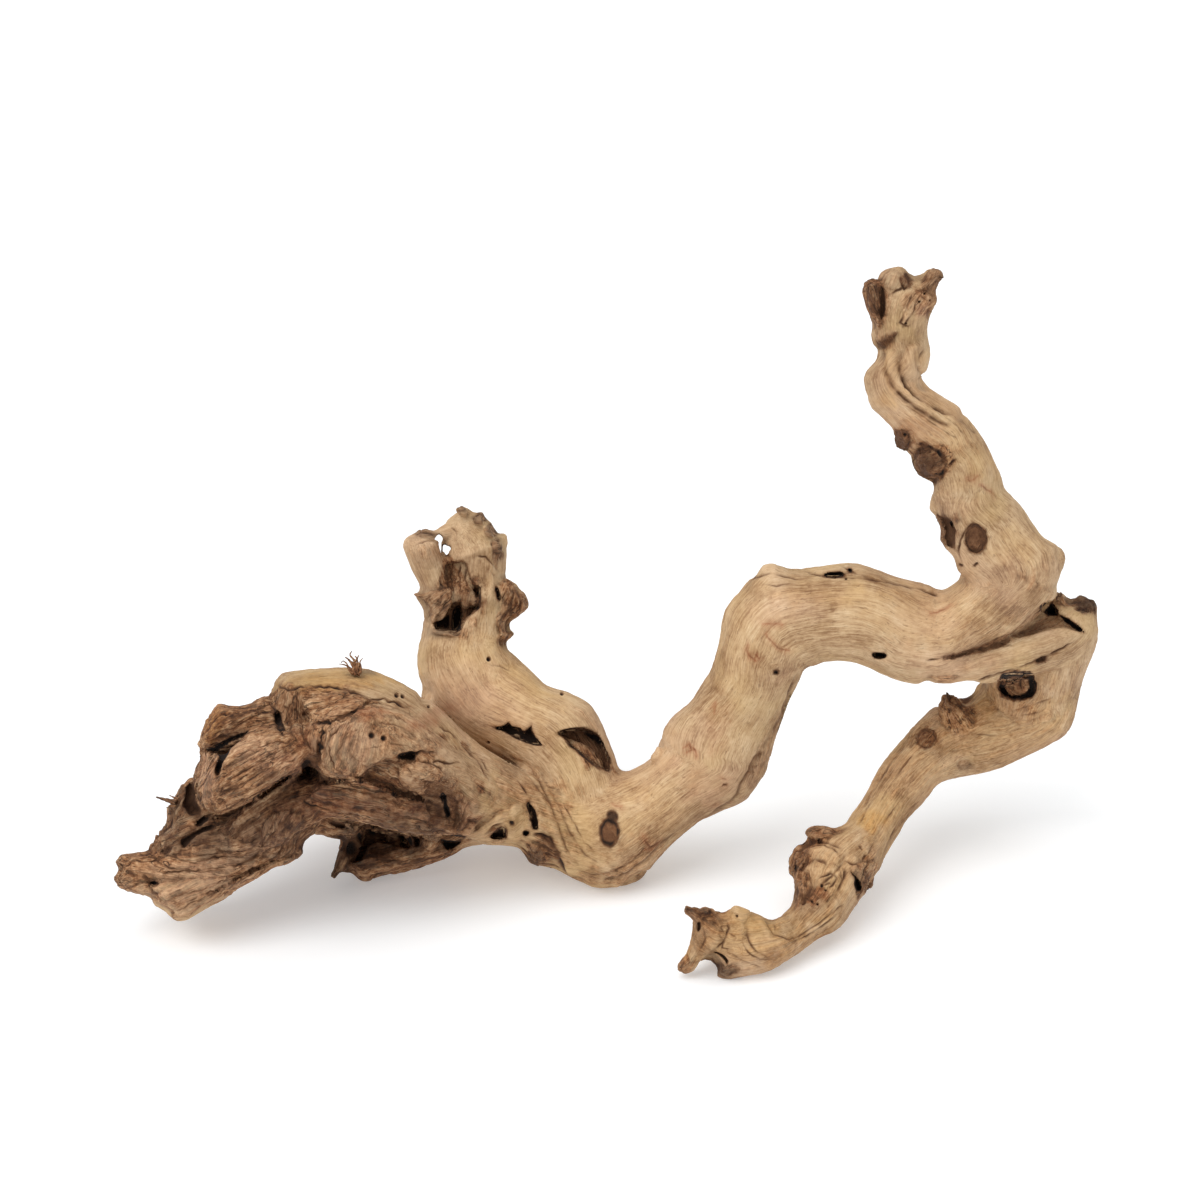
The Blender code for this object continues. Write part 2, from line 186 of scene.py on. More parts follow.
# ---------------------------------------------------------------- reference view
def seen(u, v, y_mm):
    """Points seen at (u, v) at depth y, and the metres that one view unit spans there."""
    u, v, y_mm = (np.asarray(x, float) for x in (u, v, y_mm))
    ray = (FORWARD * FOCAL + SIDEWAYS * (u - 600.0)[..., None]
           + UPWARD * (600.0 - v)[..., None])
    span = (y_mm / 1000.0 - EYE_RAW[1]) / ray[..., 1]
    return EYE_RAW + span[..., None] * ray - SHIFT, span


def project(p):
    d = p - EYE.astype(p.dtype)
    z = d @ FORWARD.astype(p.dtype)
    return (600.0 + FOCAL * (d @ SIDEWAYS.astype(p.dtype)) / z,
            600.0 - FOCAL * (d @ UPWARD.astype(p.dtype)) / z, z)


def unit(a):
    return a / np.maximum(np.linalg.norm(a, axis=-1, keepdims=True), 1e-9)


def smooth_rows(rows, steps):
    """Catmull-Rom samples of a table of stations."""
    rows = np.array(rows, float)
    last = len(rows) - 1
    t = np.linspace(0.0, last, last * steps + 1)
    i = np.minimum(t.astype(int), last - 1)
    f = (t - i)[:, None]
    a, b = rows[np.maximum(i - 1, 0)], rows[i]
    c, d = rows[i + 1], rows[np.minimum(i + 2, last)]
    return 0.5 * (2 * b + (c - a) * f + (2 * a - 5 * b + 4 * c - d) * f * f
                  + (3 * b - a - 3 * c + d) * f * f * f)


def ramp(x, lo, hi):
    t = np.clip((x - lo) / (hi - lo), 0.0, 1.0)
    return t * t * (3 - 2 * t)


# ---------------------------------------------------------------- seeded noise
class Noise:
    """Gradient noise, the same each run."""

    def __init__(self, seed):
        rng = np.random.RandomState(seed)
        self.perm = np.concatenate([rng.permutation(256)] * 3).astype(np.int32)
        self.grad = unit(rng.normal(size=(256, 3))).astype(np.float32)

    def __call__(self, p):
        p = np.asarray(p, np.float32)
        base = np.floor(p)
        f = p - base
        ix, iy, iz = (base[:, k].astype(np.int32) & 255 for k in range(3))
        w = f * f * f * (f * (f * 6 - 15) + 10)
        out = np.zeros(len(p), np.float32)
        for dx in (0, 1):
            wx = w[:, 0] if dx else 1 - w[:, 0]
            hx = self.perm[ix + dx]
            for dy in (0, 1):
                wy = w[:, 1] if dy else 1 - w[:, 1]
                hy = self.perm[(hx + iy + dy) & 255]
                for dz in (0, 1):
                    wz = w[:, 2] if dz else 1 - w[:, 2]
                    g = self.grad[self.perm[(hy + iz + dz) & 255]]
                    out += wx * wy * wz * (g[:, 0] * (f[:, 0] - dx) + g[:, 1] * (f[:, 1] - dy)
                                           + g[:, 2] * (f[:, 2] - dz))
        return out * 1.5


# ---------------------------------------------------------------- swept limbs
class Limb:
    def __init__(self, name, blend, brown, rows, steps=4):
        self.name, self.blend, self.brown = name, blend / 1000.0, brown
        val = smooth_rows(rows, steps)
        self.centre, span = seen(val[:, 0], val[:, 1], val[:, 2])
        self.a = val[:, 3] * span
        self.b = self.a * val[:, 4]
        tangent = np.zeros_like(self.centre)
        tangent[1:-1] = self.centre[2:] - self.centre[:-2]
        tangent[0] = self.centre[1] - self.centre[0]
        tangent[-1] = self.centre[-1] - self.centre[-2]
        tangent = unit(tangent)
        across = unit(np.cross(unit(self.centre - EYE), tangent))
        self.across, self.deep, self.tangent = across, np.cross(tangent, across), tangent
        step = np.linalg.norm(np.diff(self.centre, axis=0), axis=1)
        self.along = np.concatenate([[0.0], np.cumsum(step)])
        self.mean = float(np.mean(np.sqrt(self.a * self.b)))
        reach = np.maximum(self.a, self.b)[:, None]
        self.low, self.high = (self.centre - reach).min(0), (self.centre + reach).max(0)

    def segment(self, i, px, py, pz):
        """Field, fraction and offsets of points relative to segment i (broadcast arrays)."""
        c0, c1 = self.centre[i], self.centre[i + 1]
        span = c1 - c0
        length = float(np.linalg.norm(span))
        t_dir = span / length
        x, y, z = px - c0[0], py - c0[1], pz - c0[2]

        def dot(w):
            return x * np.float32(w[0]) + y * np.float32(w[1]) + z * np.float32(w[2])

        s = dot(t_dir)
        t = np.clip(s / np.float32(length), 0, 1)
        beyond = s - t * np.float32(length)
        a0, a1 = self.across[i], self.across[i + 1]
        d0, d1 = self.deep[i], self.deep[i + 1]
        xa = dot(a0) + t * dot(a1 - a0)
        xd = dot(d0) + t * dot(d1 - d0)
        ra = np.float32(self.a[i]) + np.float32(self.a[i + 1] - self.a[i]) * t
        rb = np.float32(self.b[i]) + np.float32(self.b[i + 1] - self.b[i]) * t
        qa, qb, ql = xa / ra, xd / rb, beyond / (0.8 * ra)
        q = np.sqrt(qa * qa + qb * qb + ql * ql) + np.float32(1e-6)
        g = np.sqrt((qa / ra) ** 2 + (qb / rb) ** 2 + (ql / (0.8 * ra)) ** 2) + np.float32(1e-3)
        return (q - 1) * q / g, t, qa, qb, s

    def field(self, grid):
        """(slices, local field) of the limb on the grid."""
        margin = self.blend + 3 * grid.h
        sub, (gx, gy, gz) = grid.window(self.low - margin, self.high + margin)
        out = np.full((len(gx), len(gy), len(gz)), 1.0, np.float32)
        for i in range(len(self.centre) - 1):
            reach = max(self.a[i], self.a[i + 1], self.b[i], self.b[i + 1]) + margin
            lo = np.minimum(self.centre[i], self.centre[i + 1]) - reach
            hi = np.maximum(self.centre[i], self.centre[i + 1]) + reach
            r = [slice(int(np.searchsorted(g, lo[k])), int(np.searchsorted(g, hi[k])))
                 for k, g in enumerate((gx, gy, gz))]
            if any(s.stop <= s.start for s in r):
                continue
            d = self.segment(i, gx[r[0]][:, None, None], gy[r[1]][None, :, None],
                             gz[r[2]][None, None, :])[0]
            view = out[r[0], r[1], r[2]]
            np.minimum(view, d, out=view)
        return sub, out

    def at(self, p):
        """Field, grain place and grain direction at points (N, 3)."""
        c = self.centre.astype(np.float32)
        d2 = (p * p).sum(1)[:, None] - 2 * p @ c.T + (c * c).sum(1)[None]
        near = d2.argmin(1)
        best = None
        for off in (-1, 0):
            i = np.clip(near + off, 0, len(c) - 2)
            c0, c1 = c[i], c[i + 1]
            span = c1 - c0
            length = np.linalg.norm(span, axis=1)
            x = p - c0
            s = (x * span).sum(1) / length
            t = np.clip(s / length, 0, 1)
            beyond = s - t * length
            tt = t[:, None]
            across = self.across[i] * (1 - tt) + self.across[i + 1] * tt
            deep = self.deep[i] * (1 - tt) + self.deep[i + 1] * tt
            ra = self.a[i] * (1 - t) + self.a[i + 1] * t
            rb = self.b[i] * (1 - t) + self.b[i + 1] * t
            qa, qb = (x * across).sum(1) / ra, (x * deep).sum(1) / rb
            ql = beyond / (0.8 * ra)
            q = np.sqrt(qa * qa + qb * qb + ql * ql) + 1e-6
            g = np.sqrt((qa / ra) ** 2 + (qb / rb) ** 2 + (ql / (0.8 * ra)) ** 2) + 1e-3
            f = (q - 1) * q / g
            place = np.stack([self.along[i] + s, np.arctan2(qb, qa), np.sqrt(qa * qa + qb * qb)], 1)
            direction = self.tangent[i] * (1 - tt) + self.tangent[i + 1] * tt
            if best is None:
                best = [f, place, direction]
            else:
                better = f < best[0]
                best[0] = np.where(better, f, best[0])
                best[1] = np.where(better[:, None], place, best[1])
                best[2] = np.where(better[:, None], direction, best[2])
        return best[0], best[1], unit(best[2])


# ---------------------------------------------------------------- grid and skin
class Grid:
    def __init__(self, low, high, h):
        self.h, self.low = h, np.array(low, float)
        n = np.ceil((np.array(high) - low) / h).astype(int) + 1
        self.axes = [(self.low[k] + h * np.arange(n[k])).astype(np.float32) for k in range(3)]
        self.g = np.full(tuple(n), 1.0, np.float32)

    def window(self, low, high):
        r = [slice(int(np.searchsorted(self.axes[k], low[k])),
                   int(np.searchsorted(self.axes[k], high[k]))) for k in range(3)]
        return tuple(r), tuple(self.axes[k][r[k]] for k in range(3))

    def join(self, sub, f, k):
        g = self.g[sub]
        h = np.clip(0.5 + 0.5 * (g - f) / np.float32(k), 0, 1)
        self.g[sub] = g + (f - g) * h - np.float32(k) * h * (1 - h)

    def carve(self, sub, f, k):
        g, f = self.g[sub], -f
        h = np.clip(0.5 - 0.5 * (g - f) / np.float32(k), 0, 1)
        self.g[sub] = g + (f - g) * h + np.float32(k) * h * (1 - h)

    def skin(self):
        """Surface nets: vertices and quads of the zero level."""
        g = self.g
        neg = g < 0
        nx, ny, nz = (n - 1 for n in g.shape)
        count = np.zeros((nx, ny, nz), np.uint8)
        corners = [(a, b, c) for a in (0, 1) for b in (0, 1) for c in (0, 1)]
        for a, b, c in corners:
            count += neg[a:a + nx, b:b + ny, c:c + nz]
        ids = np.flatnonzero((count > 0) & (count < 8))
        i, j, k = np.unravel_index(ids, (nx, ny, nz))
        val = np.stack([g[i + a, j + b, k + c] for a, b, c in corners], 1)
        pos = np.zeros((len(ids), 3), np.float32)
        num = np.zeros(len(ids), np.float32)
        for m, (a, b, c) in enumerate(corners):
            for axis in range(3):
                if (a, b, c)[axis]:
                    continue
                other = [a, b, c]
                other[axis] = 1
                n = corners.index(tuple(other))
                va, vb = val[:, m], val[:, n]
                cross = (va < 0) != (vb < 0)
                t = np.where(cross, va / np.where(cross, va - vb, 1), 0)
                at = np.array((a, b, c), np.float32)[None] + np.zeros((len(ids), 3), np.float32)
                at[:, axis] = t
                pos += at * cross[:, None]
                num += cross
        pos = pos / num[:, None] + np.stack([i, j, k], 1)
        verts = (self.low + pos * self.h).astype(np.float32)

        quads = []
        strides = (ny * nz, nz, 1)
        for axis in range(3):
            o1, o2 = [(1, 2), (2, 0), (0, 1)][axis]
            lo = [slice(1, n) for n in g.shape]
            lo[axis] = slice(0, g.shape[axis] - 1)
            hi = list(lo)
            hi[axis] = slice(1, g.shape[axis])
            for s in (o1, o2):
                lo[s] = slice(1, g.shape[s] - 1)
                hi[s] = slice(1, g.shape[s] - 1)
            na, nb = neg[tuple(lo)], neg[tuple(hi)]
            for flip, hit in ((False, na & ~nb), (True, ~na & nb)):
                e = np.stack(np.nonzero(hit), 1)
                e[:, o1] += 1
                e[:, o2] += 1
                flat = e[:, 0] * strides[0] + e[:, 1] * strides[1] + e[:, 2] * strides[2]
                c00 = flat - strides[o1] - strides[o2]
                c10 = flat - strides[o2]
                c11 = flat
                c01 = flat - strides[o1]
                q = np.stack([c00, c10, c11, c01], 1)
                quads.append(q[:, ::-1] if flip else q)
        quads = np.searchsorted(ids, np.concatenate(quads))
        return verts, quads.astype(np.int32)


def triangles_of(verts, quads):
    a, b, c, d = (verts[quads[:, k]] for k in range(4))
    short = ((a - c) ** 2).sum(1) < ((b - d) ** 2).sum(1)
    one = np.where(short[:, None], quads[:, [0, 1, 2]], quads[:, [0, 1, 3]])
    two = np.where(short[:, None], quads[:, [0, 2, 3]], quads[:, [1, 2, 3]])
    return np.concatenate([one, two])


def scatter(index, values, n):
    return np.stack([np.bincount(index, values[:, k], n) for k in range(values.shape[1])], 1)


def normals_of(verts, tris):
    a, b, c = (verts[tris[:, k]] for k in range(3))
    f = np.cross(b - a, c - a)
    total = sum(scatter(tris[:, k], f, len(verts)) for k in range(3))
    return unit(total).astype(np.float32)


def relax(values, edges, rounds, factor):
    """Laplacian smoothing of per-vertex values (N, K)."""
    n = len(values)
    degree = (np.bincount(edges[:, 0], minlength=n) + np.bincount(edges[:, 1], minlength=n))[:, None]
    for _ in range(rounds):
        total = scatter(edges[:, 0], values[edges[:, 1]], n) + scatter(edges[:, 1], values[edges[:, 0]], n)
        values = values + factor * (total / np.maximum(degree, 1) - values)
    return values


def edges_of(tris):
    e = np.concatenate([tris[:, [0, 1]], tris[:, [1, 2]], tris[:, [2, 0]]])
    e.sort(axis=1)
    return np.unique(e, axis=0)


def largest_part(verts, tris):
    """Keep the one body, and drop crumbs that nothing carries."""
    root = np.arange(len(verts))
    e = np.concatenate([tris[:, [0, 1]], tris[:, [1, 2]]])
    while True:
        ra, rb = root[e[:, 0]], root[e[:, 1]]
        apart = ra != rb
        if not apart.any():
            break
        e, ra, rb = e[apart], ra[apart], rb[apart]
        np.minimum.at(root, np.maximum(ra, rb), np.minimum(ra, rb))
        while True:
            up = root[root]
            if (up == root).all():
                break
            root = up
    keep = root == np.bincount(root).argmax()
    remap = np.cumsum(keep) - 1
    tris = tris[keep[tris[:, 0]]]
    return verts[keep], remap[tris]


def raw_mesh(name, verts, tris):
    mesh = bpy.data.meshes.new(name)
    mesh.vertices.add(len(verts))
    mesh.vertices.foreach_set("co", verts.astype(np.float32).ravel())
    mesh.loops.add(len(tris) * 3)
    mesh.loops.foreach_set("vertex_index", tris.astype(np.int32).ravel())
    mesh.polygons.add(len(tris))
    mesh.polygons.foreach_set("loop_start", np.arange(0, len(tris) * 3, 3, dtype=np.int32))
    mesh.polygons.foreach_set("loop_total", np.full(len(tris), 3, np.int32))
    mesh.update(calc_edges=True)
    mesh.validate()
    return mesh


# ---------------------------------------------------------------- outline in the reference view
OUTLINE = [
    (115, 861), (119, 855), (130, 853), (148, 850), (150, 842), (160, 830), (168, 820), (166, 810),
    (170, 802), (175, 795), (180, 787), (187, 778), (195, 775), (196, 766), (199, 757), (198, 745),
    (200, 735), (205, 720), (212, 709), (218, 703), (230, 705), (245, 703), (258, 697), (270, 693),
    (275, 680), (282, 672), (300, 669), (325, 667), (340, 666), (365, 667), (380, 672), (400, 681),
    (422, 694), (435, 706), (449, 718), (440, 709), (430, 699), (422, 687), (418, 675), (416, 660),
    (418, 645), (421, 635), (424, 612), (420, 604), (412, 593), (421, 590), (418, 583), (412, 572),
    (408, 562), (404, 552), (402, 545), (405, 537), (415, 532), (425, 528), (433, 530), (438, 527),
    (443, 524), (448, 519), (456, 513), (457, 508), (462, 504), (468, 508), (476, 513), (482, 512),
    (486, 518), (492, 522), (497, 533), (503, 532), (508, 536), (507, 565), (506, 577), (515, 582),
    (522, 590), (530, 600), (528, 610), (520, 616), (512, 622), (510, 629), (516, 633), (509, 642),
    (504, 641), (506, 646), (512, 653), (522, 661), (538, 677), (545, 684), (555, 688), (565, 690),
    (580, 697), (590, 703), (597, 713), (603, 724), (609, 740), (615, 755), (619, 769), (628, 771),
    (640, 765), (648, 760), (655, 750), (660, 740), (663, 728), (670, 718), (680, 709), (690, 702),
    (702, 682), (710, 670), (715, 655), (719, 638), (721, 622), (724, 610), (730, 601), (738, 592),
    (748, 580), (755, 575), (760, 568), (765, 563), (775, 563), (785, 567), (795, 569), (825, 565),
    (845, 562), (860, 563), (880, 570), (895, 576), (910, 580), (925, 583), (942, 590), (950, 585),
    (960, 578), (956, 568), (953, 557), (945, 550), (940, 540), (940, 527), (933, 515), (929, 510),
    (930, 500), (935, 484), (925, 480), (915, 472), (911, 462), (911, 455), (897, 449), (893, 440),
    (893, 430), (885, 422), (878, 415), (870, 408), (866, 395), (863, 385), (863, 375), (868, 367),
    (875, 361), (878, 352), (872, 345), (870, 335), (872, 325), (868, 315), (865, 300), (862, 290),
    (863, 283), (870, 278), (877, 278), (881, 271), (890, 267), (900, 266), (908, 269), (911, 276),
    (920, 275), (924, 270), (933, 267), (940, 269), (946, 276), (940, 284), (935, 291), (939, 300),
    (934, 310), (929, 321), (928, 335), (931, 347), (931, 358), (928, 370), (919, 382), (925, 389),
    (935, 396), (958, 410), (970, 420), (980, 432), (988, 445), (993, 457), (1002, 475), (1005, 488),
    (1012, 495), (1022, 505), (1030, 517), (1043, 537), (1055, 542), (1063, 549), (1067, 557),
    (1064, 568), (1059, 582), (1056, 589), (1063, 592), (1069, 599), (1074, 598), (1080, 594),
    (1088, 597), (1097, 600), (1098, 612), (1098, 622), (1099, 632), (1097, 645), (1092, 658),
    (1087, 670), (1083, 682), (1080, 695), (1076, 715), (1072, 727), (1065, 737), (1045, 748),
    (1030, 755), (1015, 762), (1000, 769), (985, 773), (955, 779), (940, 784), (935, 789), (925, 802),
    (915, 812), (905, 822), (900, 833), (892, 845), (885, 858), (881, 868), (874, 878), (873, 888),
    (866, 892), (860, 900), (852, 912), (845, 923), (835, 932), (820, 938), (808, 947), (795, 957),
    (775, 970), (760, 975), (745, 977), (728, 980), (717, 978), (716, 969), (722, 962), (716, 957),
    (707, 957), (700, 962), (693, 972), (685, 974), (678, 972), (676, 966), (685, 955), (690, 940),
    (692, 930), (692, 919), (683, 914), (685, 905), (692, 906), (705, 907), (717, 910), (724, 912),
    (735, 904), (748, 909), (762, 916), (773, 920), (785, 912), (792, 903), (794, 890), (795, 881),
    (787, 872), (789, 854), (795, 846), (808, 842), (809, 829), (825, 829), (838, 827), (845, 823),
    (850, 815), (860, 802), (867, 790), (872, 780), (880, 765), (890, 752), (900, 740), (912, 726),
    (920, 718), (930, 708), (940, 703), (941, 695), (946, 692), (956, 693), (966, 700), (975, 690),
    (976, 682), (962, 682), (950, 685), (935, 684), (928, 681), (915, 685), (895, 680), (880, 674),
    (868, 668), (855, 663), (840, 661), (825, 662), (815, 666), (805, 669), (798, 685), (790, 700),
    (782, 722), (776, 738), (768, 762), (762, 777), (755, 790), (748, 800), (738, 806), (725, 811),
    (712, 817), (700, 822), (680, 838), (668, 850), (658, 860), (648, 872), (640, 881), (620, 888),
    (600, 889), (590, 887), (580, 882), (572, 878), (555, 869), (545, 867), (532, 865), (526, 859),
    (521, 850), (515, 847), (480, 845), (465, 848), (455, 855), (440, 861), (420, 868), (400, 873),
    (380, 876), (368, 882), (358, 880), (350, 873), (340, 873), (335, 880), (330, 877), (334, 862),
    (338, 850), (341, 840), (330, 838), (320, 834), (310, 838), (303, 844), (304, 851), (300, 858),
    (285, 866), (275, 866), (260, 877), (240, 888), (225, 899), (200, 913), (190, 920), (178, 923),
    (172, 920), (165, 912), (152, 905), (150, 898), (140, 895), (120, 890), (114, 881), (115, 874),
    (120, 869), (115, 865)]


def polygon_field(points, u, v):
    """Signed distance to a closed outline, in view units, negative inside."""
    shape = u.shape
    u, v = u.ravel().astype(np.float32), v.ravel().astype(np.float32)
    best = np.full(u.shape, 1e9, np.float32)
    inside = np.zeros(u.shape, bool)
    for (ax, ay), (bx, by) in zip(points, points[1:] + points[:1]):
        ex, ey = bx - ax, by - ay
        wx, wy = u - ax, v - ay
        t = np.clip((wx * ex + wy * ey) / max(ex * ex + ey * ey, 1e-9), 0, 1)
        best = np.minimum(best, (wx - ex * t) ** 2 + (wy - ey * t) ** 2)
        if ey:
            inside ^= ((ay > v) != (by > v)) & (u < ex * (v - ay) / ey + ax)
    d = np.sqrt(best)
    return np.where(inside, -d, d).reshape(shape)


def rounded(points):
    """One round of corner cutting on a closed outline."""
    out = []
    for (ax, ay), (bx, by) in zip(points, points[1:] + points[:1]):
        out += [(0.78 * ax + 0.22 * bx, 0.78 * ay + 0.22 * by),
                (0.22 * ax + 0.78 * bx, 0.22 * ay + 0.78 * by)]
    return out


class Raster:
    """Values on a regular net of view units, read with bilinear weights."""
    STEP = 2.0
    U0, V0, NU, NV = 80.0, 240.0, 530, 385

    def __init__(self, values=None):
        self.values = values

    @classmethod
    def net(cls):
        return np.meshgrid(cls.U0 + cls.STEP * np.arange(cls.NU),
                           cls.V0 + cls.STEP * np.arange(cls.NV), indexing="ij")

    def __call__(self, u, v):
        x = np.clip((u - self.U0) / self.STEP, 0, self.NU - 1.001)
        y = np.clip((v - self.V0) / self.STEP, 0, self.NV - 1.001)
        i, j = x.astype(int), y.astype(int)
        fx, fy = x - i, y - j
        w = self.values
        return ((w[i, j] * (1 - fx) + w[i + 1, j] * fx) * (1 - fy)
                + (w[i, j + 1] * (1 - fx) + w[i + 1, j + 1] * fx) * fy)


def blurred(a, rounds):
    for _ in range(rounds):
        p = np.pad(a, 1, mode="edge")
        a = (p[1:-1, 1:-1] * 2 + p[:-2, 1:-1] + p[2:, 1:-1] + p[1:-1, :-2] + p[1:-1, 2:]) / 6
    return a


def depth_raster(verts, tris):
    """Nearest depth of the skin over the view, with its gaps filled, and the covered cells."""
    mid = (verts[tris[:, 0]] + verts[tris[:, 1]] + verts[tris[:, 2]]) / 3
    p = np.concatenate([verts, mid])
    u, v, z = project(p)
    i = np.rint((u - Raster.U0) / Raster.STEP).astype(int)
    j = np.rint((v - Raster.V0) / Raster.STEP).astype(int)
    ok = (i >= 0) & (j >= 0) & (i < Raster.NU) & (j < Raster.NV)
    depth = np.full((Raster.NU, Raster.NV), np.inf)
    np.minimum.at(depth, (i[ok], j[ok]), z[ok])
    hit = np.isfinite(depth)
    pad = np.pad(hit, 1)
    around = (pad[:-2, 1:-1].astype(int) + pad[2:, 1:-1] + pad[1:-1, :-2] + pad[1:-1, 2:])
    covered = hit | (around >= 3)
    for _ in range(24):
        known = np.isfinite(depth)
        if known.all():
            break
        fill = np.where(known, depth, 0)
        p, k = np.pad(fill, 1), np.pad(known.astype(float), 1)
        total = p[:-2, 1:-1] + p[2:, 1:-1] + p[1:-1, :-2] + p[1:-1, 2:]
        number = k[:-2, 1:-1] + k[2:, 1:-1] + k[1:-1, :-2] + k[1:-1, 2:]
        depth = np.where(known, depth, np.where(number > 0, total / np.maximum(number, 1), np.inf))
    depth = np.where(np.isfinite(depth), depth, 1.1)
    return depth, covered


# ---------------------------------------------------------------- plates of split wood, and cuts
class Plate:
    """A piece of wood with a traced outline, raised over (or cut into) the skin below it.

    lift: millimetres over the skin, one number or three (u, v, mm); thick: how far it reaches
    back; edge: rounding; crown: how much its rim falls away; angle: of its grain in the view."""
    relief = None
    warp = Noise(11)

    def __init__(self, name, outline, lift, thick=9.0, edge=1.2, crown=1.2, brown=1.0, angle=0.0,
                 wobble=1.3, depth=None, blend=0.0004, tone=None):
        self.name, self.brown, self.blend, self.tone = name, brown, blend, tone
        self.points = rounded([tuple(map(float, p)) for p in outline])
        if isinstance(lift, (int, float)):
            self.plane = np.array((0.0, 0.0, lift))
        else:
            m = np.array([(u, v, 1.0) for u, v, _ in lift])
            self.plane = np.linalg.solve(m, np.array([h for *_, h in lift]))
        self.thick, self.edge, self.crown = thick / 1000, edge / 1000, crown / 1000
        self.wobble, self.depth = wobble, depth
        mid = np.array(self.points).mean(0)
        span = np.array(self.points)
        self.mid = mid
        z = float(Plate.relief(mid[:1], mid[1:])[0]) if depth is None else depth
        self.z = z
        a = math.radians(angle)
        self.dir = SIDEWAYS * math.cos(a) + UPWARD * math.sin(a)
        self.side = -SIDEWAYS * math.sin(a) + UPWARD * math.cos(a)
        self.origin = EYE + (FORWARD * FOCAL + SIDEWAYS * (mid[0] - 600) + UPWARD * (600 - mid[1])) * z / FOCAL
        uu = np.linspace(span[:, 0].min() - 4, span[:, 0].max() + 4, 9)
        vv = np.linspace(span[:, 1].min() - 4, span[:, 1].max() + 4, 9)
        uu, vv = (x.ravel() for x in np.meshgrid(uu, vv))
        zz = self.face(uu, vv, np.zeros(len(uu)))
        corners = []
        for off in self.reach():
            corners.append(EYE + (FORWARD[None] * FOCAL + SIDEWAYS[None] * (uu - 600)[:, None]
                                  + UPWARD[None] * (600 - vv)[:, None]) * ((zz + off) / FOCAL)[:, None])
        corners = np.concatenate(corners)
        self.low, self.high = corners.min(0), corners.max(0)

    def reach(self):
        return -0.008, self.thick + 0.004

    def face(self, u, v, d2):
        base = Plate.relief(u, v) if self.depth is None else self.depth
        lift = (self.plane[0] * u + self.plane[1] * v + self.plane[2]) / 1000
        fall = 1 - np.clip(-d2 / 9.0, 0, 1)
        return base - lift + self.crown * fall * fall

    def values(self, p):
        u, v, z = project(p)
        q = p * np.float32(90.0)
        u2 = u + self.wobble * Plate.warp(q)
        v2 = v + self.wobble * Plate.warp(q + np.float32(31.7))
        d2 = polygon_field(self.points, u2, v2)
        f = self.face(u, v, d2)
        side = d2 * z / FOCAL
        front = f - z
        back = z - f - self.thick
        return smooth_max(smooth_max(side, front, self.edge), back, self.edge), u, v, z

    def field(self, grid):
        sub, axes = grid.window(self.low, self.high)
        x, y, z = np.meshgrid(*axes, indexing="ij")
        p = np.stack([x.ravel(), y.ravel(), z.ravel()], 1)
        f = self.values(p)[0]
        out = f.reshape(x.shape).astype(np.float32)
        return sub, out

    def at(self, p):
        f = self.values(p)[0]
        x = p - self.origin.astype(np.float32)
        co = np.stack([x @ self.dir, x @ self.side, (x @ FORWARD) * 0.6], 1)
        return f.astype(np.float32), co, None


def smooth_max(a, b, k):
    h = np.clip(0.5 + 0.5 * (a - b) / k, 0, 1)
    return b + (a - b) * h + k * h * (1 - h)


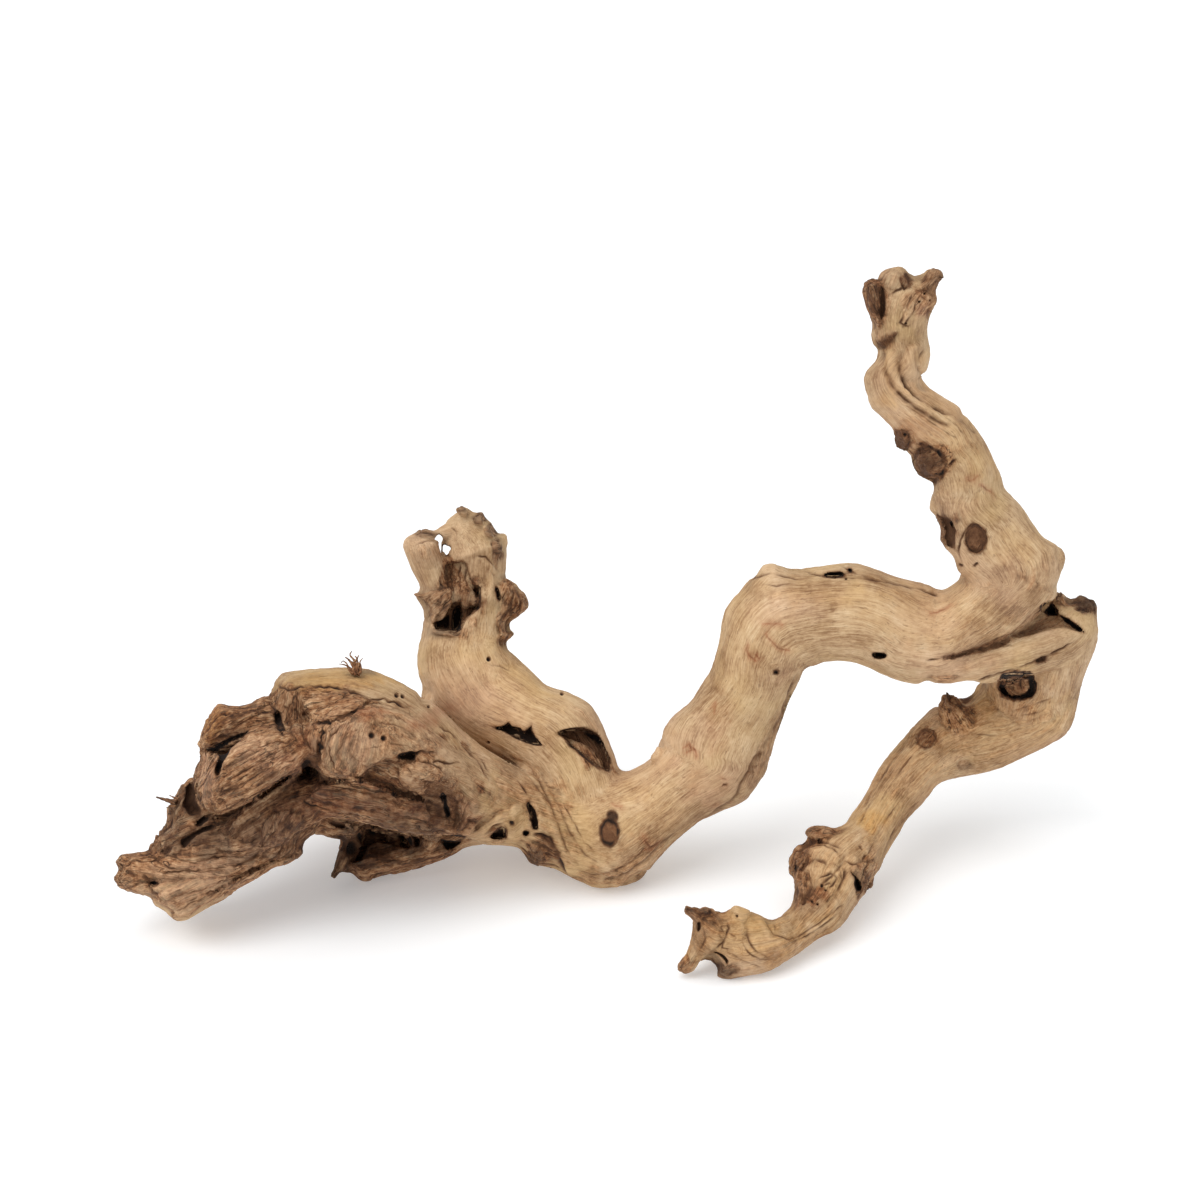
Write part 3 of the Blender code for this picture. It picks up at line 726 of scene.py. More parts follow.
# ---------------------------------------------------------------- details, read off the reference view
# plates: name, outline, lift, and how it differs from a plain brown one
PLATES = [
    # burl, left: layered slabs
    ("chunk_top", [(200, 749), (199, 735), (205, 718), (214, 705), (232, 706), (246, 704), (260, 697),
                   (270, 695), (270, 708), (262, 719), (250, 730), (238, 735), (222, 743), (212, 748)],
     [(205, 740, 4.0), (265, 705, 1.0), (230, 712, 4.0)], dict(thick=14, edge=3, crown=3, angle=25)),
    ("rim", [(202, 752), (214, 751), (224, 754), (221, 768), (216, 785), (210, 803), (203, 810),
             (198, 800), (195, 785), (197, 768)],
     3.0, dict(thick=10, edge=2, crown=2, angle=72, brown=0.75)),
    ("main_slab", [(224, 757), (230, 745), (242, 735), (262, 722), (280, 724), (300, 735), (316, 748),
                   (315, 760), (300, 766), (284, 777), (268, 783), (248, 790), (228, 800), (212, 806),
                   (208, 795), (214, 778)],
     [(220, 790, 6.0), (300, 745, 2.5), (240, 745, 4.0)], dict(thick=11, edge=2, crown=2, angle=29, brown=0.85)),
    ("main_slab_strip", [(214, 806), (230, 797), (250, 787), (270, 779), (286, 772), (302, 764), (300, 768),
                         (282, 779), (262, 788), (244, 799), (228, 808), (216, 812)],
     4.0, dict(thick=9, edge=1, crown=0.6, angle=30)),
    ("second_slab", [(230, 828), (240, 812), (256, 800), (272, 787), (290, 774), (304, 768), (314, 776),
                     (318, 784), (306, 798), (296, 806), (278, 812), (262, 822), (250, 832), (238, 836)],
     [(240, 825, 1.0), (300, 780, 1.5), (260, 805, 3.0)], dict(thick=9, edge=1.5, crown=1.5, angle=33)),
    ("foot", [(258, 822), (268, 812), (285, 808), (300, 806), (306, 818), (304, 832), (304, 846),
              (306, 852), (300, 859), (288, 867), (276, 867), (262, 857), (257, 840)],
     2.5, dict(thick=12, edge=3, crown=2.5, angle=62, wobble=2.5)),
    ("plate_grey", [(185, 846), (188, 838), (205, 832), (225, 834), (242, 842), (256, 840), (256, 846),
                    (238, 850), (215, 853), (195, 853)],
     3.0, dict(thick=8, edge=1, crown=0.8, angle=8, tone="grey", brown=0.95)),
    ("plate_back", [(168, 826), (176, 818), (196, 816), (214, 812), (222, 818), (206, 824), (188, 833),
                    (178, 840), (166, 844), (160, 838)],
     2.0, dict(thick=8, edge=1.5, crown=1.5, angle=22, wobble=2.5)),
    ("layer_a", [(158, 856), (170, 845), (190, 850), (215, 853), (245, 850), (262, 846), (266, 852),
                 (245, 862), (215, 868), (185, 868), (162, 864)],
     1.6, dict(thick=8, edge=0.8, crown=0.6, angle=8, tone="grey")),
    ("tongue_upper", [(114, 862), (118, 855), (132, 851), (150, 849), (170, 855), (200, 862), (240, 862),
                      (262, 856), (258, 868), (230, 874), (190, 878), (160, 880), (140, 876), (122, 870)],
     2.2, dict(thick=10, edge=2, crown=1.6, angle=-4, brown=0.8, wobble=2.0)),
    ("tongue_lower", [(113, 880), (116, 872), (126, 868), (145, 874), (165, 882), (200, 878), (240, 872),
                      (270, 862), (285, 862), (262, 877), (240, 889), (222, 901), (200, 914), (186, 922),
                      (174, 922), (165, 912), (152, 905), (148, 897), (132, 894), (118, 890)],
     [(130, 880, 1.0), (180, 905, 4.5), (250, 875, 1.0)], dict(thick=12, edge=2, crown=1.6, angle=22, brown=0.85)),
    ("tongue_plank", [(178, 922), (172, 916), (185, 905), (215, 893), (250, 875), (284, 861), (298, 859),
                      (270, 872), (240, 890), (215, 906), (192, 920)],
     5.6, dict(thick=8, edge=1, crown=0.8, angle=29, brown=0.8)),
    # burl, upper face
    ("upper_slab", [(304, 714), (303, 703), (312, 696), (330, 691), (350, 692), (368, 699), (360, 708),
                    (345, 716), (326, 722), (312, 722)], 2.8, dict(thick=8, edge=1.5, crown=1.4, angle=6)),
    ("upright_block", [(273, 720), (272, 700), (280, 692), (300, 690), (302, 700), (302, 716), (308, 722),
                       (320, 724), (321, 745), (318, 758), (306, 752), (290, 738), (278, 730)],
     1.8, dict(thick=9, edge=1.5, crown=1.5, angle=84, wobble=2.5)),
    ("upright_lump", [(274, 691), (284, 686), (295, 692), (293, 706), (284, 713), (275, 706)],
     3.4, dict(thick=8, edge=2, crown=2, angle=70, brown=0.8)),
    ("upright_strip", [(306, 722), (314, 723), (316, 740), (318, 757), (312, 752), (307, 738)],
     3.2, dict(thick=7, edge=1, crown=1, angle=86, brown=0.9)),
    ("mass_left", [(323, 724), (335, 717), (352, 711), (375, 705), (400, 709), (416, 728), (420, 748), (398, 753),
                   (384, 760), (370, 770), (362, 778), (345, 783), (325, 783), (314, 776), (312, 768),
                   (319, 758), (322, 742)],
     [(325, 750, 4.0), (410, 735, 0.8), (355, 716, 2.5)], dict(thick=12, edge=3, crown=3, angle=74, brown=0.74)),
    ("mass_right", [(360, 712), (375, 704), (395, 708), (415, 718), (435, 735), (452, 752), (440, 756),
                    (415, 752), (395, 757), (375, 768), (366, 760), (362, 738)],
     1.6, dict(thick=9, edge=2, crown=1.5, angle=-34, brown=0.5)),
    ("swirl", [(398, 776), (404, 766), (418, 761), (436, 760), (452, 768), (460, 780), (456, 792),
               (440, 797), (420, 796), (406, 790)],
     2.6, dict(thick=9, edge=2, crown=2.4, angle=-12, brown=0.62)),
    ("long_plank_face", [(303, 801), (308, 793), (320, 784), (335, 781), (362, 779), (382, 788), (402, 796),
                         (425, 801), (442, 804), (446, 818), (440, 829), (420, 828), (398, 829), (378, 823),
                         (355, 816), (338, 813), (318, 808)],
     [(310, 800, 1.5), (370, 800, 4.2), (435, 815, 2.2)], dict(thick=9, edge=1.2, crown=1.2, angle=-13)),
    ("long_plank_ledge", [(328, 784), (345, 781), (362, 780), (385, 790), (405, 798), (430, 803),
                          (436, 809), (406, 807), (372, 799), (344, 793)],
     5.6, dict(thick=7, edge=0.8, crown=0.6, angle=-14, brown=0.9)),
    ("plank_lower_edge", [(316, 806), (338, 812), (356, 815), (380, 822), (400, 828), (424, 831),
                          (420, 836), (396, 834), (372, 828), (350, 820), (326, 814)],
     2.4, dict(thick=7, edge=0.8, crown=0.6, angle=-14, brown=0.85)),
    ("lip_face", [(345, 867), (352, 858), (366, 850), (384, 852), (402, 860), (425, 856), (448, 848),
                  (458, 850), (440, 862), (420, 869), (400, 874), (382, 877), (370, 883), (358, 881)],
     2.2, dict(thick=8, edge=1.5, crown=1.5, angle=14, wobble=2.2)),
    ("fin_one", [(400, 838), (412, 827), (421, 836), (418, 847), (408, 847)],
     4.0, dict(thick=6, edge=1, crown=1, angle=60)),
    ("fin_two", [(420, 838), (432, 823), (445, 830), (437, 849), (426, 851)],
     3.5, dict(thick=7, edge=1, crown=1, angle=55)),
    ("curl", [(448, 798), (460, 790), (470, 806), (464, 828), (452, 837), (446, 822)],
     2.4, dict(thick=8, edge=1.6, crown=1.6, angle=78, brown=0.9)),
    ("lower_lobe", [(468, 838), (478, 828), (492, 818), (506, 808), (522, 802), (528, 815), (524, 836),
                    (516, 847), (498, 847), (480, 845)],
     2.4, dict(thick=8, edge=1.6, crown=1.6, angle=27, brown=0.25)),
    ("under_lump", [(520, 847), (530, 842), (541, 848), (549, 860), (545, 868), (532, 866), (526, 859)],
     3.0, dict(thick=8, edge=1.6, crown=1.6, angle=60, brown=1.0, wobble=2.2)),
    # hollow end of the short limb
    ("claw_flake_left", [(411, 593), (421, 591), (434, 592), (446, 587), (453, 594), (453, 604), (449, 614),
                         (441, 622), (432, 626), (427, 612), (421, 604), (414, 598)],
     3.5, dict(thick=6, edge=1, crown=1.4, angle=40, brown=0.75)),
    ("claw_lip", [(429, 629), (440, 631), (454, 633), (457, 638), (446, 635), (432, 634)],
     1.8, dict(thick=5, edge=0.8, crown=0.6, angle=4, tone="grey")),
    ("claw_flake_right", [(500, 581), (506, 577), (515, 582), (522, 590), (531, 601), (527, 611),
                          (515, 620), (508, 630), (505, 640), (500, 630), (496, 618), (502, 606), (499, 594)],
     3.0, dict(thick=7, edge=1.2, crown=1.4, angle=66, brown=1.0, wobble=2.6)),
    ("claw_flake_low", [(497, 618), (506, 622), (511, 630), (516, 633), (510, 642), (504, 641), (498, 630)],
     3.6, dict(thick=5, edge=1.0, crown=1.0, angle=70, brown=1.0, wobble=2.2)),
    # right-hand knot
    ("sliver", [(928, 680), (940, 678), (955, 679), (963, 681), (950, 685), (936, 685)],
     1.8, dict(thick=5, edge=0.6, crown=0.5, angle=0, brown=1.0)),
    ("lower_plank", [(972, 681), (985, 674), (1005, 663), (1035, 652), (1062, 644), (1085, 632),
                     (1080, 628), (1056, 636), (1030, 644), (1004, 652), (978, 660), (962, 668)],
     1.4, dict(thick=6, edge=1.2, crown=1.0, angle=18, brown=0.1)),
    ("stub_bark", [(940, 704), (941, 696), (946, 692), (957, 693), (966, 700), (960, 706), (948, 708)],
     3.2, dict(thick=7, edge=1.4, crown=1.4, angle=-20, brown=1.0, wobble=2.0)),
    ("chip_top", [(1053, 591), (1057, 589), (1064, 592), (1070, 600), (1060, 602), (1054, 598)],
     1.2, dict(thick=5, edge=0.8, crown=0.8, angle=-35, brown=0.9)),
    # rising limb
    ("riser_bark_small", [(893, 432), (902, 433), (907, 438), (908, 448), (903, 452), (896, 448)],
     1.8, dict(thick=6, edge=1.2, crown=1.2, angle=70, brown=1.0)),
    ("riser_bark_big", [(911, 457), (916, 452), (926, 453), (932, 449), (940, 450), (944, 459), (946, 466),
                        (938, 474), (934, 483), (924, 480), (914, 472)],
     2.6, dict(thick=8, edge=1.6, crown=1.6, angle=60, brown=1.0, wobble=2.0)),
    ("tip_flake", [(862, 291), (864, 282), (871, 278), (878, 280), (882, 292), (884, 306), (880, 318),
                   (877, 330), (872, 322), (867, 306)],
     2.6, dict(thick=8, edge=1.6, crown=1.4, angle=100, brown=1.0)),
    ("tip_ball", [(879, 276), (884, 269), (892, 266), (902, 266), (909, 271), (909, 282), (902, 290),
                  (892, 292), (884, 288)],
     2.6, dict(thick=9, edge=3, crown=2.4, angle=60, brown=0.5)),
    ("tip_stub", [(920, 288), (922, 274), (933, 267), (941, 269), (947, 276), (940, 286), (934, 292), (926, 292)],
     2.2, dict(thick=8, edge=1.8, crown=1.6, angle=52, brown=0.8)),
    ("tip_warts", [(904, 298), (915, 291), (930, 291), (939, 299), (934, 311), (928, 320), (914, 318),
                   (903, 310)],
     1.6, dict(thick=6, edge=1.2, crown=1.2, angle=50, brown=0.65, wobble=3.0)),
    ("riser_ridge", [(898, 344), (912, 342), (922, 346), (928, 358), (926, 368), (918, 378), (910, 372),
                     (903, 360)],
     1.0, dict(thick=6, edge=2, crown=1.6, angle=100, brown=0.1)),
    # thin limb
    ("knob_flap", [(808, 831), (826, 829), (842, 826), (832, 834), (816, 843), (808, 841)],
     2.0, dict(thick=6, edge=1, crown=1, angle=12, brown=1.0)),
    ("knob_side", [(789, 858), (792, 850), (802, 845), (809, 850), (805, 862), (801, 871), (795, 880),
                   (788, 873)],
     3.0, dict(thick=8, edge=1.4, crown=1.6, angle=70, brown=1.0, wobble=2.2)),
    ("knob_low", [(793, 882), (802, 875), (807, 890), (799, 906), (790, 906), (793, 894)],
     1.6, dict(thick=6, edge=1.2, crown=1.2, angle=80, brown=1.0)),
    ("bulge_flap", [(851, 868), (862, 862), (876, 861), (882, 868), (874, 879), (873, 889), (864, 894),
                    (857, 882)],
     2.6, dict(thick=6, edge=1, crown=1.2, angle=50, brown=0.75)),
    ("fork_tab_top", [(683, 914), (686, 906), (700, 906), (716, 910), (725, 918), (714, 922), (700, 918),
                      (690, 919)],
     2.0, dict(thick=6, edge=1, crown=1, angle=-10, brown=0.7, wobble=2.0)),
    ("fork_low", [(716, 978), (716, 969), (722, 962), (732, 966), (742, 976), (730, 980)],
     1.2, dict(thick=6, edge=1.2, crown=1.2, angle=20, brown=0.6)),
]

# laid in after the cuts
LATE = [
    ("big_core", [(1005, 678), (1019, 676), (1029, 679), (1030, 690), (1023, 695), (1011, 695), (1004, 688)],
     -2.4, dict(thick=4, edge=1.4, crown=1.2, angle=80, brown=1.0, wobble=1.6)),
    ("post", [(341, 836), (349, 826), (358, 826), (364, 832), (362, 846), (357, 860), (347, 865), (341, 869),
              (339, 878), (334, 880), (330, 876), (334, 862), (338, 848)],
     -1.0, dict(thick=10, edge=2, crown=2, angle=70, wobble=1.6)),
    ("strand", [(343, 822), (347, 822), (352, 826), (356, 833), (353, 834), (349, 829), (344, 826)],
     4.0, dict(thick=3, edge=0.8, crown=0.6, angle=-50, brown=0.9)),
    ("cavern_rib", [(404, 833), (413, 836), (417, 846), (412, 850), (405, 843)],
     1.0, dict(thick=7, edge=1.4, crown=1.4, angle=60)),
    # back wall closing the cavern, coloured near black by the painted shade patches and holes over it
    ("cavern_back", [(338, 826), (356, 824), (420, 836), (436, 846), (404, 860), (362, 866), (346, 868), (336, 850)],
     -13.0, dict(thick=7, edge=2, crown=1, angle=10, brown=1.0, wobble=1.2)),
    ("cavern_fin", [(385, 830), (398, 834), (404, 842), (398, 850), (389, 846)],
     -4.0, dict(thick=8, edge=1.2, crown=1.0, angle=70)),
    ("shell_b", [(562, 738), (578, 741), (593, 750), (605, 765), (601, 771), (586, 763), (570, 751)],
     -9.0, dict(thick=5, edge=1.4, crown=1.5, angle=35, brown=1.0)),
    ("flake_left", [(411, 593), (425, 591), (438, 591), (450, 587), (452, 598), (450, 608), (446, 614), (443, 620),
                    (431, 622), (426, 611), (423, 605), (414, 599)],
     2.0, dict(thick=4, edge=1.0, crown=1.2, angle=28, brown=1.0)),
    ("fist_wall", [(443, 561), (467, 560), (471, 575), (474, 586), (470, 598), (456, 604), (446, 606), (443, 590)],
     -5.0, dict(thick=8, edge=2, crown=2, angle=86, brown=1.0)),
]
# lumps inside the cuts: u, v, depth mm behind the skin that was there, radius, brown
CORES = [(468, 597, 8, 7, 1.0), (474, 601, 7, 5, 1.0), (466, 604, 8, 4, 1.0), 
         (516, 737, 6, 3, 1.0)]

# cuts: name, outline, depth mm, bowl (view units over which the floor falls), darkness (painted shade on floor and
# walls, stronger deeper down), brown
CUTS = [
    ("side_cavity", [(183, 788), (196, 780), (199, 800), (203, 815), (190, 817), (182, 806)], 8, 5, 0.62, 1.0),
    ("gap_chunk", [(203, 750), (214, 745), (228, 738), (243, 733), (250, 729), (246, 738), (236, 745),
                   (229, 753), (223, 765), (218, 780), (214, 770), (220, 757), (213, 752)], 7, 2, 0.95, 1.0),
    ("gap_slab", [(258, 798), (268, 789), (278, 780), (290, 774), (292, 776), (282, 784), (270, 793), (260, 800)],
     6, 2, 0.9, 1.0),
    ("gap_block", [(300, 762), (307, 757), (313, 762), (310, 770), (314, 780), (309, 781), (303, 773)],
     4, 2.5, 0.8, 1.0),
    ("pit_d", [(196, 822), (206, 814), (213, 812), (211, 818), (203, 825), (198, 828)], 4, 2, 0.8, 1.0),
    ("pit_e", [(160, 852), (166, 848), (174, 847), (170, 852), (163, 856)], 2.5, 1.6, 0.6, 1.0),
    ("gap_plate", [(180, 841), (187, 836), (204, 828), (216, 824), (214, 830), (197, 836), (188, 843),
                   (184, 850)], 4.0, 1.6, 0.75, 1.0),
    ("slit_tongue", [(148, 883), (158, 881), (161, 884), (152, 887)], 3.5, 1.4, 0.9, 1.0),
    ("cavern", [(345, 823), (356, 821), (372, 824), (392, 831), (405, 834), (420, 837), (421, 846),
                (408, 849), (392, 846), (379, 842), (368, 847), (364, 860), (354, 864), (348, 858),
                (350, 842), (346, 832)], 22, 4, 1.0, 1.0),
    ("cavern_right", [(446, 838), (456, 832), (468, 832), (466, 842), (452, 850), (444, 848)], 10, 3, 0.9, 1.0),
    ("cavern_left", [(330, 818), (342, 819), (347, 824), (344, 831), (334, 828), (326, 822)], 6, 2, 0.6, 1.0),
    ("cavity_swirl", [(395, 758), (402, 752), (416, 752), (416, 759), (405, 761)], 6, 2, 0.85, 1.0),
    ("hollow_band", [(364, 771), (376, 760), (396, 757), (418, 758), (404, 765), (397, 775), (402, 788),
                     (420, 797), (440, 802), (425, 801), (400, 796), (380, 787), (364, 779)],
     4, 3, 0.12, 1.0),
    ("rim_recess", [(422, 786), (436, 782), (448, 788), (457, 798), (461, 812), (460, 826), (450, 836),
                    (436, 836), (428, 826), (426, 808)], 3.5, 4, 0.2, 1.0),
    ("slot_right", [(440, 792), (446, 793), (448, 806), (452, 816), (447, 819), (442, 806)], 8, 1.6, 0.95, 1.0),
    ("gap_lip", [(440, 837), (452, 832), (460, 834), (457, 843), (446, 847), (441, 843)], 9, 2, 0.95, 1.0),
    ("lobe_hole", [(488, 837), (496, 829), (505, 825), (506, 841), (494, 842)], 8, 2, 0.8, 1.0),
    ("neck_slot", [(526, 799), (532, 804), (538, 820), (538, 831), (531, 827), (527, 812)], 6, 1.8, 0.8, 1.0),
    ("neck_hole", [(521, 831), (525, 829), (530, 832), (527, 836), (522, 835)], 5, 1.4, 0.95, 1.0),
    ("crack_under_block", [(274, 714), (280, 712), (281, 722), (284, 732), (279, 734), (275, 724)],
     3.5, 1.4, 0.85, 1.0),
    # short limb
    ("fist_hollow", [(445, 562), (467, 559), (471, 575), (474, 585), (480, 586), (481, 604), (476, 613),
                     (468, 619), (462, 628), (456, 635), (447, 632), (434, 631), (431, 622), (440, 612),
                     (448, 600), (446, 585), (443, 572)], 12, 4, 0.35, 1.0),
    ("fist_pit", [(453, 607), (459, 604), (463, 609), (463, 622), (458, 633), (451, 631), (450, 619)],
     19, 2.5, 1.0, 1.0),
    ("fist_low", [(433, 622), (444, 616), (451, 610), (451, 630), (444, 631), (434, 630)], 16, 3, 0.8, 1.0),
    ("fist_slot", [(476, 585), (481, 585), (481, 606), (477, 612), (474, 606)], 12, 2, 0.95, 1.0),
    ("fist_slot_right", [(494, 587), (498, 587), (501, 601), (497, 601)], 6, 1.4, 0.9, 1.0),
    ("eye_a", [(433, 541), (434, 536), (438, 532), (441, 535), (444, 540), (440, 543)], 60, 1, 0.0, 0.3),
    ("eye_b", [(442, 547), (444, 543), (448, 544), (453, 548), (450, 554), (447, 557), (444, 554)], 60, 1, 0.0, 0.3),
    ("cavity_a", [(491, 727), (503, 727), (509, 721), (512, 726), (520, 727), (524, 732), (528, 728),
                  (532, 724), (534, 735), (540, 742), (546, 747), (536, 746), (520, 741), (506, 734)],
     8, 2.2, 0.85, 1.0),
    ("cavity_b", [(555, 733), (563, 730), (576, 728), (590, 728), (600, 735), (607, 748), (613, 765),
                  (611, 773), (600, 769), (586, 757), (571, 746)], 13, 4, 0.45, 1.0),
    # zigzag limb
    ("hollow_right", [(752, 778), (750, 768), (756, 756), (763, 748), (762, 757), (757, 769)],
     2.4, 2.2, 0.08, 0.4),
    ("top_split", [(820, 574), (831, 570), (842, 571), (846, 576), (834, 576)], 6, 1.5, 0.9, 1.0),
    ("top_slot", [(847, 568), (850, 567), (852, 573), (849, 573)], 4, 1.2, 0.9, 1.0),
    ("oval_hole", [(870, 653), (877, 651), (885, 652), (888, 656), (882, 660), (874, 659)], 8, 2, 0.95, 0.6),
    ("small_hole", [(773, 671), (778, 670), (778, 674), (775, 674)], 3, 1.2, 0.9, 0.6),
    # right-hand knot
    ("knot_split", [(1002, 639), (1012, 630), (1022, 620), (1032, 611), (1042, 602), (1050, 600),
                    (1057, 606), (1059, 616), (1067, 618), (1076, 624), (1084, 632), (1077, 632),
                    (1060, 628), (1040, 633), (1020, 638)], 6, 3.5, 0.12, 0.55),
    ("knot_split_deep", [(1039, 608), (1044, 601), (1051, 600), (1057, 607), (1059, 616), (1050, 616),
                         (1043, 614)], 14, 2, 1.0, 1.0),
    ("knot_split_edge", [(1058, 615), (1068, 618), (1077, 624), (1085, 632), (1082, 633), (1072, 627),
                         (1062, 620)], 8, 1.4, 0.95, 1.0),
    ("knot_split_thin", [(938, 660), (958, 652), (980, 645), (1000, 637), (1012, 630), (1020, 630), (1016, 638),
                         (1004, 646), (986, 652), (962, 658)], 3.6, 2.6, 0.2, 0.7),
    ("big_knot", [(1000, 676), (1008, 672), (1020, 673), (1031, 671), (1035, 680), (1035, 692),
                  (1028, 698), (1012, 699), (1001, 692), (998, 684)], 5.5, 2, 0.95, 1.0),
    ("plank_chip", [(1034, 661), (1043, 656), (1048, 659), (1040, 663)], 2.5, 1.5, 0.65, 1.0),
    # rising limb
    ("riser_hollow", [(931, 512), (938, 517), (950, 519), (955, 526), (956, 538), (952, 550), (946, 548),
                      (942, 540), (942, 526)], 5, 2.5, 0.5, 1.0),
    ("riser_hollow_deep", [(947, 521), (953, 521), (955, 527), (950, 529)], 9, 1.8, 1.0, 1.0),
    ("riser_knot", [(967, 537), (970, 528), (977, 525), (984, 530), (986, 540), (982, 549), (975, 553),
                    (969, 548)], 2.6, 2, 0.35, 1.0),
    ("tip_gap", [(880, 282), (885, 290), (886, 304), (884, 316), (879, 324), (880, 306)], 4, 1.5, 0.6, 1.0),
    ("tip_gap_low", [(873, 345), (880, 341), (890, 335), (896, 331), (892, 337), (882, 346), (876, 349)],
     1.4, 1.4, 0.4, 1.0),
    # thin limb
    ("bulge_slot", [(849, 868), (855, 872), (860, 881), (864, 892), (859, 894), (853, 883)], 7, 2.0, 0.95, 1.0),
    ("knob_hole", [(791, 867), (796, 864), (799, 869), (795, 875)], 4, 1.5, 0.95, 1.0),
    ("fork_dark", [(692, 922), (698, 921), (700, 930), (693, 931)], 3, 1.5, 0.6, 0.9),
    ("fork_notch", [(710, 956), (718, 954), (727, 960), (724, 966), (718, 960)], 7, 1.8, 0.6, 1.0),
]

# lumps that stand proud of the outline: u, v, depth mm, radius, brown
LUMPS = [
    (462, 509, 62, 6, 0.7), (481, 518, 61, 5.5, 0.8), (491, 530, 60, 6, 0.8), (418, 534, 62, 6, 0.7),
    (427, 532, 62, 5, 0.7), (498, 548, 59, 7, 0.6),
    (899, 443, -14, 8, 1.0), (925, 465, -12, 13, 1.0), (934, 508, -6, 8, 0.2), (948, 538, -6, 10, 0.8),
    (870, 286, -19, 9, 1.0), (1060, 558, -6, 10, 0.0), (1058, 600, 6, 9, 0.6), (1080, 602, 10, 8, 1.0),
    (1090, 607, 12, 8, 1.0), (465, 511, 68, 7, 0.7), (481, 518, 68, 7, 0.9), (491, 529, 68, 8, 0.9),
    (502, 541, 68, 7, 0.6), (500, 556, 68, 8, 0.8), (515, 592, 60, 12, 1.0), (508, 632, 58, 8, 1.0),
    (155, 848, -52, 10, 1.0), (178, 800, -34, 16, 1.0), (172, 822, -38, 14, 1.0),
    (945, 700, 17, 6, 1.0), (957, 699, 17, 6, 1.0), (815, 836, -32, 10, 1.0), (686, 911, -90, 6, 0.8),
    (724, 972, -86, 9, 0.6), (736, 970, -86, 9, 0.3), (741, 911, -84, 10, 0.1), (632, 872, -6, 18, 0.0),
    (653, 752, -2, 7, 0.0), (868, 884, -34, 10, 0.8), (427, 534, 57, 8, 0.6),
]
